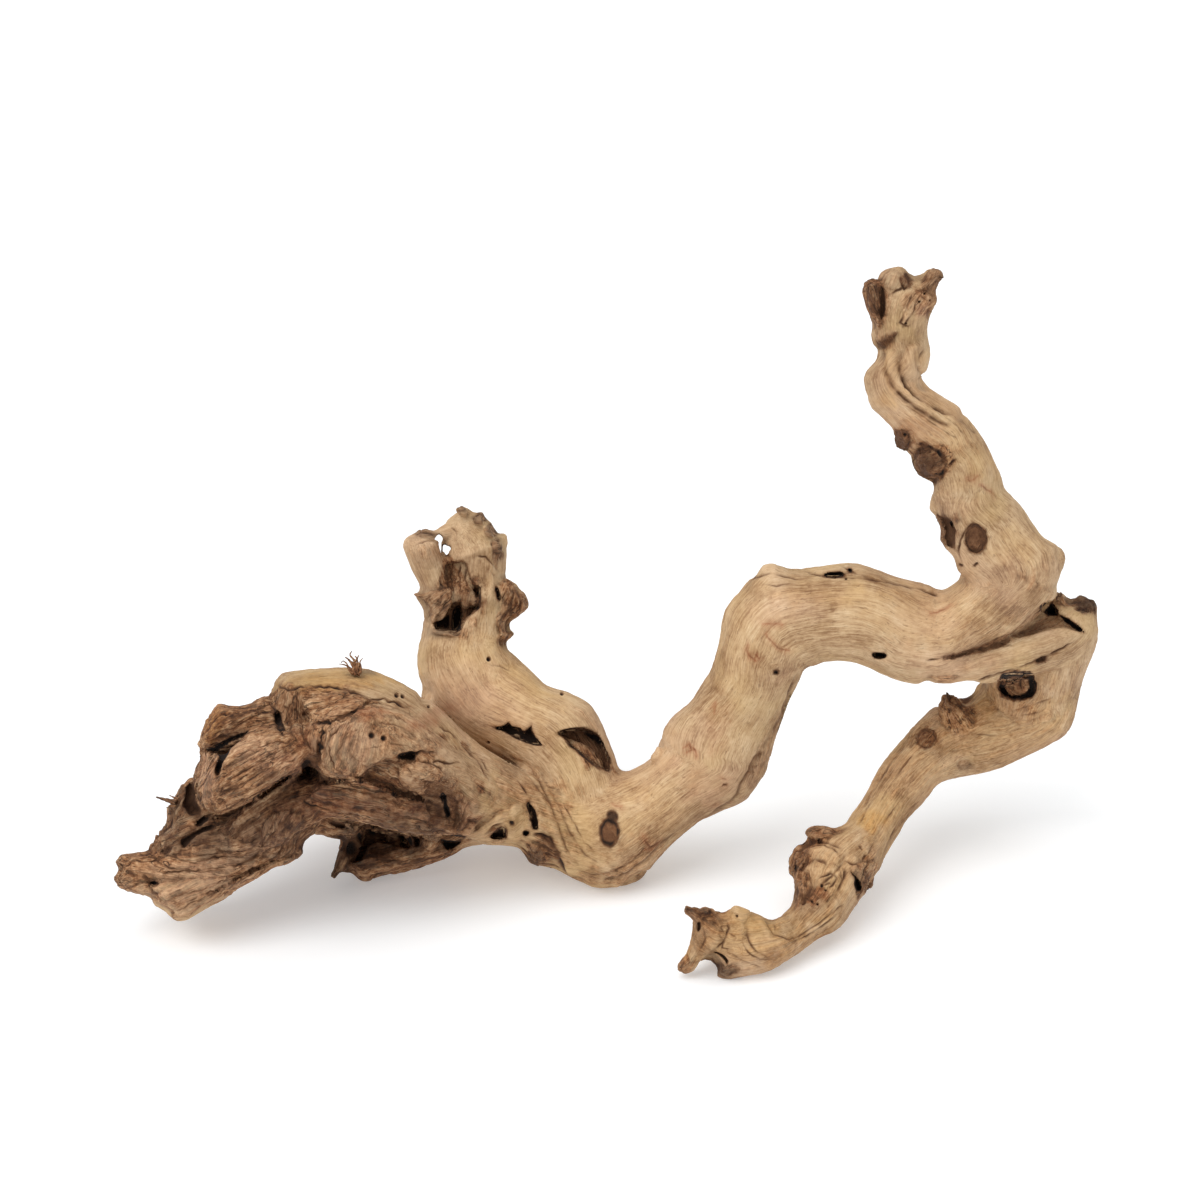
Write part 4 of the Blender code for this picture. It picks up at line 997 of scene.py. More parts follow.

# cracks and fine lines, dark partly as split wood and partly as painted shade along folds and in the cavern: width
# (view units), depth mm, darkness, red, points
CRACKS = [
    (1.6, 1.0, 0.8, 0.0, [(275, 684), (288, 690), (300, 686), (320, 686), (332, 687), (345, 689),
                          (358, 694), (370, 699), (385, 699), (397, 703), (408, 709)]),
    (1.6, 1.2, 0.85, 0.0, [(312, 723), (328, 722), (345, 716), (358, 708), (372, 700)]),
    (1.6, 1.2, 0.85, 0.0, [(322, 724), (320, 742), (319, 756), (313, 768)]),
    (1.4, 0.9, 0.8, 0.0, [(302, 700), (303, 712), (306, 720)]),
    (1.4, 0.9, 0.8, 0.0, [(270, 700), (275, 712), (281, 722), (284, 738)]),
    (1.3, 0.8, 0.6, 0.0, [(305, 700), (315, 695), (318, 690)]),
    (1.3, 0.8, 0.6, 0.0, [(343, 742), (350, 735), (354, 730)]),
    (1.5, 1.2, 0.8, 0.0, [(316, 781), (330, 784), (350, 784), (364, 780), (384, 790), (404, 798), (428, 803)]),
    (1.5, 1.0, 0.8, 0.0, [(322, 784), (310, 794), (303, 802), (312, 806), (332, 811)]),
    (1.4, 0.9, 0.7, 0.0, [(430, 763), (440, 761), (455, 764)]),
    (1.4, 0.8, 0.6, 0.0, [(356, 718), (340, 727), (331, 736), (329, 750), (333, 764), (346, 777)]),
    (1.3, 0.5, 0.4, 0.0, [(362, 730), (347, 733), (342, 744), (337, 755), (345, 768)]),
    (1.3, 0.5, 0.4, 0.0, [(364, 739), (352, 742), (349, 752), (357, 761), (369, 760)]),
    (1.3, 0.6, 0.5, 0.1, [(366, 716), (380, 713), (396, 716), (410, 724)]),
    (1.3, 0.6, 0.4, 0.1, [(372, 724), (388, 722), (404, 728), (418, 738)]),
    (1.3, 0.5, 0.4, 0.1, [(368, 748), (382, 746), (398, 744), (414, 746)]),
    (1.5, 1.0, 0.8, 0.0, [(226, 828), (238, 814), (252, 802), (268, 790), (284, 779), (300, 768)]),
    (1.4, 0.8, 0.6, 0.0, [(214, 800), (222, 790), (236, 776), (254, 765), (276, 754)]),
    (1.4, 0.9, 0.7, 0.0, [(284, 690), (284, 704), (290, 716), (292, 732), (300, 744)]),
    (1.3, 0.8, 0.6, 0.0, [(296, 694), (297, 708), (302, 722), (304, 738), (312, 752)]),
    (1.3, 0.7, 0.6, 0.0, [(212, 728), (228, 718), (248, 712), (268, 704)]),
    (1.3, 0.7, 0.5, 0.0, [(208, 740), (222, 731), (240, 724), (258, 716)]),
    (1.3, 0.8, 0.6, 0.0, [(320, 800), (340, 800), (362, 803), (386, 811), (410, 818), (432, 822)]),
    (1.3, 0.8, 0.5, 0.0, [(322, 792), (344, 789), (366, 793), (390, 801), (412, 809)]),
    (1.4, 0.9, 0.7, 0.0, [(262, 848), (270, 838), (280, 826), (290, 814)]),
    (1.3, 0.8, 0.6, 0.0, [(276, 858), (282, 846), (292, 834), (300, 822)]),
    (1.4, 0.8, 0.7, 0.0, [(170, 838), (182, 828), (200, 822), (218, 818)]),
    (1.3, 0.7, 0.6, 0.0, [(120, 868), (136, 862), (156, 862), (176, 868), (200, 872), (232, 870)]),
    (1.3, 0.7, 0.5, 0.0, [(160, 905), (176, 896), (200, 890), (226, 880), (252, 870)]),
    (1.3, 0.7, 0.5, 0.0, [(174, 912), (196, 902), (222, 890), (250, 876)]),
    (1.3, 0.8, 0.7, 0.0, [(352, 872), (368, 868), (388, 866), (410, 864), (432, 856)]),
    (1.3, 0.8, 0.6, 0.0, [(366, 858), (382, 856), (398, 862), (418, 860)]),
    (1.3, 0.7, 0.6, 0.0, [(452, 806), (460, 800), (466, 806), (464, 820), (456, 830)]),
    (1.2, 0.6, 0.6, 0.0, [(452, 562), (451, 576), (453, 590), (452, 602)]),
    (1.2, 0.6, 0.6, 0.0, [(460, 562), (459, 576), (461, 590), (458, 602)]),
    (1.2, 0.6, 0.5, 0.0, [(466, 564), (466, 578), (468, 590)]),
    (1.2, 0.6, 0.5, 0.0, [(508, 582), (512, 594), (516, 606), (512, 618)]),
    (1.2, 0.6, 0.5, 0.0, [(516, 588), (521, 598), (522, 608)]),
    (1.4, 0.9, 0.7, 0.0, [(396, 757), (418, 752), (438, 752)]),
    (1.3, 0.8, 0.6, 0.0, [(398, 768), (397, 778), (404, 789), (418, 796), (440, 797), (456, 792)]),
    (1.3, 0.7, 0.6, 0.0, [(432, 788), (444, 790), (454, 790)]),
    (1.5, 1.0, 0.8, 0.0, [(160, 873), (190, 871), (215, 868), (235, 866), (255, 858), (262, 850)]),
    (1.3, 0.8, 0.6, 0.0, [(150, 852), (158, 862), (160, 850)]),
    (1.3, 0.8, 0.7, 0.0, [(165, 856), (180, 852), (196, 845), (214, 842)]),
    (1.3, 0.8, 0.7, 0.0, [(192, 863), (215, 857), (240, 856), (258, 850)]),
    (1.4, 0.9, 0.7, 0.0, [(138, 872), (148, 880), (152, 892), (163, 902)]),
    (1.4, 0.9, 0.6, 0.0, [(185, 903), (215, 891), (248, 873), (262, 866)]),
    (1.4, 0.9, 0.7, 0.0, [(232, 806), (250, 796), (270, 788), (292, 780)]),
    (1.4, 0.9, 0.6, 0.0, [(218, 796), (240, 786), (266, 777), (292, 764)]),
    (1.3, 0.8, 0.5, 0.0, [(222, 788), (246, 777), (272, 768), (300, 757)]),
    (1.3, 0.8, 0.5, 0.0, [(232, 760), (252, 748), (276, 741), (300, 744)]),
    (1.4, 0.9, 0.7, 0.0, [(256, 826), (262, 838), (262, 852)]),
    (1.4, 0.9, 0.7, 0.0, [(236, 832), (248, 822), (258, 818)]),
    # neck, wrinkles that run down to the knee
    (1.5, 1.0, 0.75, 0.0, [(518, 781), (524, 788), (528, 797)]),
    (1.6, 1.2, 0.6, 0.0, [(530, 835), (541, 836), (550, 842), (556, 852), (561, 864), (569, 877)]),
    (1.8, 1.0, 0.35, 0.2, [(538, 770), (552, 790), (562, 812), (570, 832), (585, 856), (600, 864)]),
    (1.8, 1.0, 0.35, 0.2, [(520, 760), (538, 776), (550, 800), (558, 822), (566, 848), (580, 866)]),
    (1.3, 0.7, 0.35, 0.2, [(500, 758), (514, 764), (526, 772), (540, 790), (552, 806)]),
    (1.3, 0.7, 0.35, 0.1, [(562, 800), (574, 822), (584, 842), (596, 852)]),
    (1.3, 0.7, 0.4, 0.1, [(572, 868), (592, 876), (615, 872), (632, 862), (648, 846)]),
    (1.3, 0.7, 0.4, 0.1, [(580, 876), (604, 881), (626, 874), (646, 860), (664, 842), (684, 826)]),
    (1.3, 0.8, 0.5, 0.1, [(470, 836), (484, 824), (500, 812)]),
    (1.3, 0.7, 0.5, 0.1, [(456, 740), (470, 752), (482, 766), (490, 782)]),
    (1.2, 0.6, 0.45, 0.1, [(436, 724), (452, 734), (468, 748), (482, 760), (492, 776)]),
    # short limb
    (1.3, 0.8, 0.7, 0.0, [(487, 726), (494, 728), (503, 728)]),
    (1.2, 0.6, 0.5, 0.1, [(556, 732), (550, 727), (545, 723)]),
    (1.2, 0.5, 0.3, 0.3, [(484, 664), (500, 666), (514, 672)]),
    (1.2, 0.5, 0.3, 0.3, [(470, 724), (480, 722), (490, 723)]),
    (1.3, 0.9, 0.6, 0.0, [(474, 556), (486, 557), (494, 566), (500, 573)]),
    (1.3, 0.9, 0.5, 0.0, [(486, 565), (492, 574), (498, 578)]),
    (1.3, 0.8, 0.4, 0.1, [(450, 524), (456, 534), (457, 546)]),
    (1.3, 0.8, 0.4, 0.1, [(416, 546), (424, 541), (434, 543), (440, 548)]),
    (1.3, 0.8, 0.4, 0.1, [(420, 566), (428, 570), (438, 566)]),
    # zigzag limb
    (2.4, 1.6, 0.42, 0.1, [(799, 672), (790, 694), (782, 716), (774, 733), (764, 746), (757, 757),
                           (750, 772), (742, 784), (738, 796), (730, 803), (712, 814)]),
    (2.0, 1.3, 0.5, 0.1, [(763, 748), (756, 757), (750, 768), (749, 777)]),
    (1.6, 1.0, 0.5, 0.1, [(800, 569), (812, 573), (828, 576), (846, 577), (866, 578), (882, 580),
                          (900, 584), (922, 589), (940, 596)]),
    (1.3, 0.7, 0.6, 0.2, [(838, 565), (846, 568), (856, 573), (872, 578)]),
    (1.3, 0.8, 0.4, 0.2, [(744, 583), (756, 577), (770, 573), (786, 576), (802, 580)]),
    (1.2, 0.5, 0.4, 0.2, [(762, 584), (776, 586), (794, 583)]),
    (1.2, 0.4, 0.4, 0.9, [(748, 644), (746, 650), (749, 656), (756, 661)]),
    (1.2, 0.4, 0.3, 0.9, [(756, 655), (759, 659)]),
    (1.2, 0.4, 0.4, 0.8, [(762, 624), (772, 624), (782, 624)]),
    (1.2, 0.4, 0.3, 0.8, [(766, 634), (772, 642), (778, 649), (790, 651)]),
    (1.2, 0.4, 0.3, 0.9, [(684, 748), (689, 744), (691, 750), (686, 753)]),
    (1.2, 0.4, 0.3, 0.9, [(690, 746), (694, 749), (697, 756)]),
    (1.2, 0.3, 0.3, 0.8, [(712, 708), (716, 702), (714, 714)]),
    (1.3, 0.4, 0.6, 0.6, [(724, 785), (726, 785)]),
    (1.3, 0.4, 0.5, 0.8, [(723, 779), (725, 779)]),
    (1.2, 0.4, 0.3, 0.8, [(930, 613), (938, 612), (944, 609), (950, 606)]),
    (1.2, 0.4, 0.3, 0.9, [(612, 804), (616, 806), (621, 807)]),
    (1.3, 0.5, 0.4, 0.8, [(642, 834), (646, 842), (652, 850)]),
    (1.3, 0.5, 0.5, 0.7, [(646, 850), (654, 846), (662, 840)]),
    # right-hand knot
    (1.4, 0.8, 0.6, 0.1, [(926, 661), (938, 659), (950, 655)]),
    (1.5, 1.0, 0.6, 0.1, [(976, 682), (990, 677), (1005, 672), (1020, 668), (1036, 661), (1050, 655),
                          (1064, 648), (1076, 641), (1086, 636)]),
    (1.3, 0.6, 0.4, 0.3, [(1002, 648), (1010, 644), (1016, 648)]),
    (1.2, 0.5, 0.4, 0.5, [(958, 673), (968, 668), (980, 662)]),
    (1.3, 0.5, 0.4, 0.5, [(1010, 712), (1024, 708), (1040, 703), (1052, 698)]),
    (1.3, 0.5, 0.4, 0.5, [(1008, 725), (1018, 721), (1030, 721), (1040, 718)]),
    (1.2, 0.5, 0.4, 0.4, [(1052, 668), (1060, 664), (1064, 658)]),
    (1.2, 0.4, 0.3, 0.5, [(1040, 720), (1044, 714), (1051, 714), (1053, 720), (1046, 722)]),
    (1.2, 0.4, 0.4, 0.3, [(966, 698), (972, 706), (978, 718)]),
    # rising limb
    (2.6, 2.0, 0.5, 0.1, [(907, 348), (901, 358), (900, 372), (906, 386), (917, 398), (934, 408), (952, 415),
                          (968, 424), (980, 436)]),
    (1.7, 1.2, 0.8, 0.0, [(899, 373), (903, 382), (909, 391), (917, 398)]),
    (2.8, 1.9, 0.45, 0.2, [(883, 348), (882, 360), (886, 374), (894, 388), (906, 400), (920, 410), (936, 420),
                           (954, 428)]),
    (2.2, 1.2, 0.3, 0.2, [(930, 344), (922, 354), (918, 366), (922, 378)]),
    (1.6, 0.8, 0.3, 0.2, [(904, 404), (922, 416), (942, 430), (960, 440)]),
    (1.6, 0.8, 0.3, 0.2, [(946, 418), (958, 426), (968, 438), (976, 452)]),
    (1.5, 1.0, 0.8, 0.1, [(958, 457), (952, 463), (946, 468)]),
    (1.4, 0.6, 0.4, 0.1, [(922, 450), (934, 446), (948, 448)]),
    (1.2, 0.4, 0.4, 0.8, [(966, 479), (972, 481), (978, 476)]),
    (1.2, 0.4, 0.4, 0.8, [(980, 484), (986, 489), (992, 493)]),
    (1.5, 1.0, 0.8, 0.0, [(974, 522), (966, 530), (960, 540), (958, 552), (961, 560)]),
    (1.5, 0.7, 0.8, 0.2, [(959, 565), (961, 566)]),
    (1.6, 0.7, 0.8, 0.3, [(974, 566), (977, 563)]),
    (1.3, 0.6, 0.6, 0.1, [(888, 296), (894, 292), (902, 288), (906, 282)]),
    (1.3, 0.7, 0.6, 0.1, [(878, 300), (880, 314), (878, 330), (876, 340)]),
    (1.2, 0.5, 0.5, 0.2, [(870, 284), (872, 298), (876, 312)]),
    (1.2, 0.5, 0.5, 0.2, [(876, 282), (879, 296), (880, 306)]),
    (1.2, 0.5, 0.4, 0.2, [(912, 292), (906, 302), (900, 314), (898, 322)]),
    (1.6, 1.0, 0.7, 0.0, [(866, 282), (869, 296), (873, 310), (878, 322)]),
    (1.6, 1.0, 0.7, 0.0, [(876, 280), (880, 292), (884, 304), (882, 316)]),
    (1.6, 1.0, 0.6, 0.1, [(903, 270), (908, 278), (910, 288)]),
    (1.5, 0.9, 0.6, 0.0, [(912, 295), (920, 290), (930, 293), (937, 300)]),
    (1.5, 0.9, 0.5, 0.1, [(917, 302), (914, 312), (907, 320), (902, 330)]),
    (1.5, 0.9, 0.5, 0.1, [(924, 306), (930, 312), (926, 322)]),
    (2.2, 1.6, 0.6, 0.0, [(872, 338), (877, 348), (885, 348), (893, 340), (899, 330)]),
    # thin limb
    (1.4, 0.8, 0.6, 0.1, [(856, 848), (858, 851)]),
    (2.0, 1.4, 0.55, 0.1, [(800, 874), (805, 864), (813, 859), (824, 860), (828, 866)]),
    (1.8, 1.2, 0.5, 0.1, [(798, 856), (803, 847), (814, 842), (828, 842), (842, 848)]),
    (1.8, 1.2, 0.55, 0.1, [(812, 888), (822, 884), (833, 876), (842, 864), (846, 852)]),
    (1.8, 1.2, 0.5, 0.1, [(846, 864), (845, 878), (838, 890), (828, 900)]),
    (1.6, 1.0, 0.5, 0.1, [(800, 892), (806, 905), (814, 914)]),
    (1.6, 1.0, 0.6, 0.0, [(862, 866), (868, 874), (870, 886), (866, 896)]),
    (1.4, 0.7, 0.4, 0.1, [(905, 745), (892, 760), (880, 778), (872, 794), (862, 808)]),
    (1.4, 0.7, 0.4, 0.1, [(915, 752), (902, 768), (890, 786), (880, 802)]),
    (1.3, 0.5, 0.3, 0.2, [(925, 756), (940, 752), (960, 750), (985, 744)]),
    (1.3, 0.5, 0.35, 0.2, [(990, 702), (1000, 712), (1020, 716), (1046, 712)]),
    (1.3, 0.5, 0.3, 0.2, [(940, 718), (955, 728), (975, 734), (1000, 736)]),
    (1.3, 0.5, 0.4, 0.1, [(858, 826), (868, 806), (880, 788), (894, 770)]),
    (1.6, 1.0, 0.5, 0.1, [(724, 914), (729, 928), (724, 942), (714, 950)]),
    (1.6, 0.9, 0.45, 0.1, [(748, 920), (747, 936), (754, 950), (768, 958), (784, 954)]),
    (1.4, 0.8, 0.4, 0.1, [(764, 920), (774, 934), (790, 940), (808, 932)]),
    (1.4, 0.8, 0.5, 0.1, [(702, 924), (706, 938), (700, 952), (692, 962)]),
    (1.4, 0.7, 0.4, 0.1, [(730, 954), (744, 962), (762, 968)]),
    (1.5, 0.8, 0.5, 0.1, [(690, 908), (700, 914), (712, 916), (722, 912)]),
    (1.4, 1.0, 0.7, 0.0, [(971, 531), (973, 540), (978, 548)]),
    (1.3, 0.8, 0.6, 0.0, [(979, 529), (981, 538), (977, 544)]),
    (1.4, 1.0, 0.7, 0.0, [(1012, 679), (1013, 686), (1012, 693)]),
    (1.4, 1.0, 0.7, 0.0, [(1021, 678), (1020, 686), (1023, 693)]),
    (1.3, 0.8, 0.6, 0.0, [(916, 458), (922, 464), (924, 474)]),
    (1.3, 0.8, 0.6, 0.0, [(932, 454), (934, 464), (930, 474)]),
    (1.3, 0.8, 0.6, 0.0, [(940, 456), (943, 466), (936, 478)]),
    (1.3, 0.8, 0.7, 0.0, [(944, 694), (949, 701), (957, 704)]),
    (1.3, 0.8, 0.7, 0.0, [(955, 694), (961, 699), (966, 706)]),
    (2.6, 1.8, 0.75, 0.0, [(524, 799), (531, 806), (536, 816), (536, 828), (531, 833)]),
    (2.4, 1.6, 0.75, 0.0, [(531, 834), (541, 835), (550, 838), (555, 848), (561, 862), (568, 875)]),
    (2.0, 1.2, 0.6, 0.0, [(492, 842), (488, 834), (494, 827), (504, 824), (507, 834), (504, 842)]),
    (2.0, 1.2, 0.5, 0.1, [(474, 832), (482, 822), (494, 814), (508, 808)]),
    # burl and hollows
    (1.4, 0.9, 0.55, 0.0, [(404, 764), (411, 774), (422, 782), (436, 785), (448, 780)]),
    (1.3, 0.7, 0.5, 0.0, [(416, 760), (430, 763), (441, 768), (446, 776)]),
    (1.3, 0.6, 0.45, 0.0, [(424, 770), (433, 773), (438, 779)]),
    (2.4, 0.8, 0.9, 0.0, [(557, 733), (570, 730), (584, 731), (597, 739), (606, 752), (612, 767)]),
    (1.6, 0.6, 0.8, 0.0, [(566, 742), (580, 752), (594, 764), (604, 771)]),
    # broad strokes of painted shade in the depths of the cavern
    (4.0, 1.0, 0.95, 0.0, [(352, 838), (353, 850), (349, 860)]),
    (4.0, 1.0, 0.95, 0.0, [(362, 830), (374, 832), (384, 838)]),
    (3.0, 1.0, 0.95, 0.0, [(398, 840), (408, 844), (418, 843)]),
    (1.4, 0.8, 0.6, 0.1, [(860, 846), (862, 849)]),
    (1.3, 0.7, 0.5, 0.1, [(820, 893), (822, 886), (829, 883), (834, 885)]),
    (1.4, 0.8, 0.8, 0.1, [(811, 900), (813, 903)]),
    (1.4, 0.8, 0.8, 0.1, [(817, 904), (819, 906)]),
    (1.3, 0.6, 0.4, 0.1, [(808, 868), (810, 880), (814, 890), (822, 898)]),
    (1.3, 0.6, 0.4, 0.1, [(830, 862), (838, 868), (842, 878), (840, 890), (832, 900)]),
    (1.3, 0.6, 0.4, 0.2, [(870, 800), (878, 790), (886, 784)]),
    (1.3, 0.6, 0.4, 0.2, [(876, 792), (882, 782), (888, 774)]),
    (1.3, 0.6, 0.4, 0.1, [(880, 868), (886, 850), (894, 832), (904, 816), (918, 802)]),
    (1.3, 0.6, 0.4, 0.1, [(752, 944), (757, 952), (764, 956), (778, 952)]),
    (1.3, 0.6, 0.5, 0.1, [(704, 944), (708, 948), (714, 951)]),
    (1.3, 0.6, 0.4, 0.1, [(724, 918), (722, 928), (726, 938)]),
    (1.3, 0.5, 0.4, 0.3, [(772, 920), (776, 928), (774, 934)]),
    (2.4, 1.5, 0.9, 0.0, [(912, 459), (918, 451), (928, 448), (938, 450), (944, 457), (946, 466), (942, 475), (935, 481)]),
    (1.8, 1.0, 0.85, 0.0, [(894, 434), (901, 430), (908, 435), (909, 444), (905, 452)]),
    (1.5, 0.9, 0.6, 0.2, [(913, 291), (909, 302), (904, 314), (900, 323), (908, 327), (914, 323)]),
    (1.4, 0.8, 0.6, 0.2, [(926, 287), (932, 294), (937, 299)]),
    (1.4, 0.8, 0.6, 0.2, [(915, 300), (921, 306), (929, 311), (926, 319)]),
    (1.3, 0.7, 0.5, 0.2, [(918, 292), (924, 299), (934, 305)]),
    (1.5, 0.9, 0.7, 0.0, [(901, 274), (901, 282), (904, 289), (910, 285)]),
    (1.6, 1.0, 0.7, 0.0, [(818, 893), (815, 885), (821, 877), (830, 874), (837, 878), (833, 885), (827, 888)]),
    (1.4, 0.8, 0.6, 0.2, [(806, 897), (813, 893), (818, 898), (824, 896)]),
    (1.4, 0.8, 0.6, 0.2, [(803, 906), (810, 906), (817, 909), (823, 904)]),
    (1.5, 0.9, 0.6, 0.1, [(836, 862), (846, 861), (855, 866), (864, 868)]),
    (1.4, 0.7, 0.5, 0.1, [(808, 848), (820, 845), (832, 848), (840, 856)]),
    (1.4, 0.8, 0.5, 0.2, [(728, 932), (740, 940), (748, 952), (760, 960), (780, 960)]),
    (1.3, 0.7, 0.5, 0.2, [(716, 934), (724, 940), (722, 948), (732, 950)]),
    (1.3, 0.7, 0.45, 0.2, [(800, 936), (816, 926), (832, 914), (846, 902)]),
    (1.3, 0.7, 0.45, 0.2, [(790, 944), (808, 936), (826, 924), (842, 911)]),
    (1.3, 0.7, 0.4, 0.2, [(868, 856), (876, 838), (886, 820), (898, 804)]),
]

# rounded folds: width (view units), height mm, points
RIDGES = [
    (5.0, 1.6, [(436, 750), (454, 760), (467, 780), (474, 802), (471, 822), (460, 840)]),
    (3.0, 1.0, [(478, 836), (486, 826), (498, 818), (512, 812)]),
    (3.5, 1.2, [(510, 840), (514, 826), (512, 812), (518, 800)]),
    (4.0, 1.4, [(544, 838), (554, 848), (562, 862), (574, 878)]),
    (4.5, 1.7, [(902, 342), (892, 352), (891, 366), (897, 382), (909, 396), (925, 408), (944, 418)]),
    (4.5, 1.6, [(920, 340), (911, 352), (909, 366), (916, 382), (930, 394), (948, 404), (964, 416)]),
    (4.0, 1.5, [(804, 864), (810, 853), (824, 849), (836, 856), (836, 868), (824, 875)]),
    (3.5, 1.4, [(806, 892), (816, 882), (830, 878), (844, 868)]),
    (4.5, 1.8, [(792, 846), (802, 835), (818, 830), (836, 832)]),
    (3.5, 1.4, [(796, 872), (800, 886), (806, 900), (812, 912)]),
    (3.5, 1.3, [(850, 852), (856, 864), (852, 880), (842, 896)]),
    (4.0, 1.3, [(734, 914), (742, 920), (740, 936), (746, 950), (760, 958)]),
    (4.0, 1.3, [(754, 914), (762, 926), (770, 940), (786, 946)]),
    (3.5, 1.2, [(714, 924), (718, 938), (708, 950), (696, 962)]),
    (3.5, 1.4, [(874, 338), (884, 340), (893, 333), (900, 324)]),
    (3.5, 1.2, [(912, 300), (908, 314), (900, 326)]),
    (4.0, 1.2, [(453, 522), (464, 530), (470, 544)]),
    (3.5, 1.2, [(450, 556), (464, 556), (480, 550), (492, 544)]),
    (3.5, 1.2, [(486, 560), (492, 572), (490, 590), (488, 610)]),
    (3.5, 1.3, [(418, 540), (430, 540), (442, 546)]),
    (5.0, 1.5, [(760, 786), (766, 772), (774, 758), (782, 742), (790, 722)]),
    (4.0, 1.2, [(536, 790), (548, 812), (556, 832), (566, 852), (582, 868)]),
    (4.0, 1.0, [(520, 790), (534, 806), (544, 826)]),
    (4.0, 1.3, [(416, 766), (424, 774), (438, 778), (450, 772)]),
    (4.5, 1.3, [(350, 722), (338, 734), (333, 750), (338, 766), (352, 774)]),
    (3.5, 1.0, [(358, 732), (347, 742), (344, 756), (354, 766)]),
    (4.0, 1.2, [(326, 792), (350, 794), (378, 802), (408, 812), (436, 818)]),
    (4.0, 1.2, [(338, 808), (360, 812), (384, 820), (404, 826)]),
    (5.0, 1.4, [(236, 800), (258, 786), (282, 770), (300, 756)]),
    (4.5, 1.3, [(224, 780), (244, 764), (268, 750), (288, 742)]),
    (4.0, 1.2, [(186, 856), (206, 850), (230, 846), (246, 842)]),
    (4.0, 1.2, [(126, 858), (146, 866), (166, 866), (196, 864), (226, 860)]),
    (4.0, 1.2, [(158, 896), (180, 886), (206, 880), (236, 868)]),
    (4.0, 1.2, [(270, 860), (280, 842), (294, 826), (308, 816)]),
]

# beetle holes, and round blackouts in the cavern, painted near black for the shade inside them: u, v, radius in view
# units
HOLES = [(351, 849, 8.0), (373, 833, 5.5), (408, 842, 5.0), (362, 838, 5.0), (372, 735, 3.2), (384, 738, 2.8), (397, 695, 2.2), (403, 696, 2.0), (489, 659, 2.2),
         (562, 693, 1.8), (512, 823, 2.4), (488, 743, 1.5), (429, 706, 1.5), (846, 578, 1.4),
         (904, 436, 2.4), (906, 324, 1.3), (925, 293, 1.4), (931, 301, 1.4), (920, 302, 1.2), (822, 885, 1.6),
         (826, 890, 1.3), (812, 901, 1.4), (818, 904, 1.1), (737, 916, 1.2), (936, 476, 2.0)]

# knots that the grain flows round: u, v, half width, half height, dark ring, dark core, sunk mm, brown core
KNOTS = [(609.5, 832, 8.5, 12.5, 1.0, 0.38, 0.4, 0.9), (612, 817, 4.5, 5.5, 0.9, 0.7, 0.8, 0.6),
         (879, 655, 10, 6, 0.0, 0.0, 0.0, 0.2), (1017, 686, 17, 13, 0.8, 0.0, 0.0, 1.0),
         (926, 738, 9, 9, 0.6, 0.28, 0.5, 1.0), (976, 539, 9.5, 12.5, 0.75, 0.25, 0.2, 1.0),
         (965, 766, 6, 5, 0.2, 0.15, 0.2, 0.5), (1047, 718, 8, 6, 0.1, 0.05, 0.1, 0.3),
         (900, 443, 8, 10.5, 0.45, 0.30, 0.0, 1.0), (928, 466, 17, 15.5, 0.45, 0.30, 0.0, 1.0),
         (776, 672, 5, 5, 0.0, 0.0, 0.0, 0.0), (960, 697, 9, 8, 0.0, 0.0, 0.0, 0.0)]
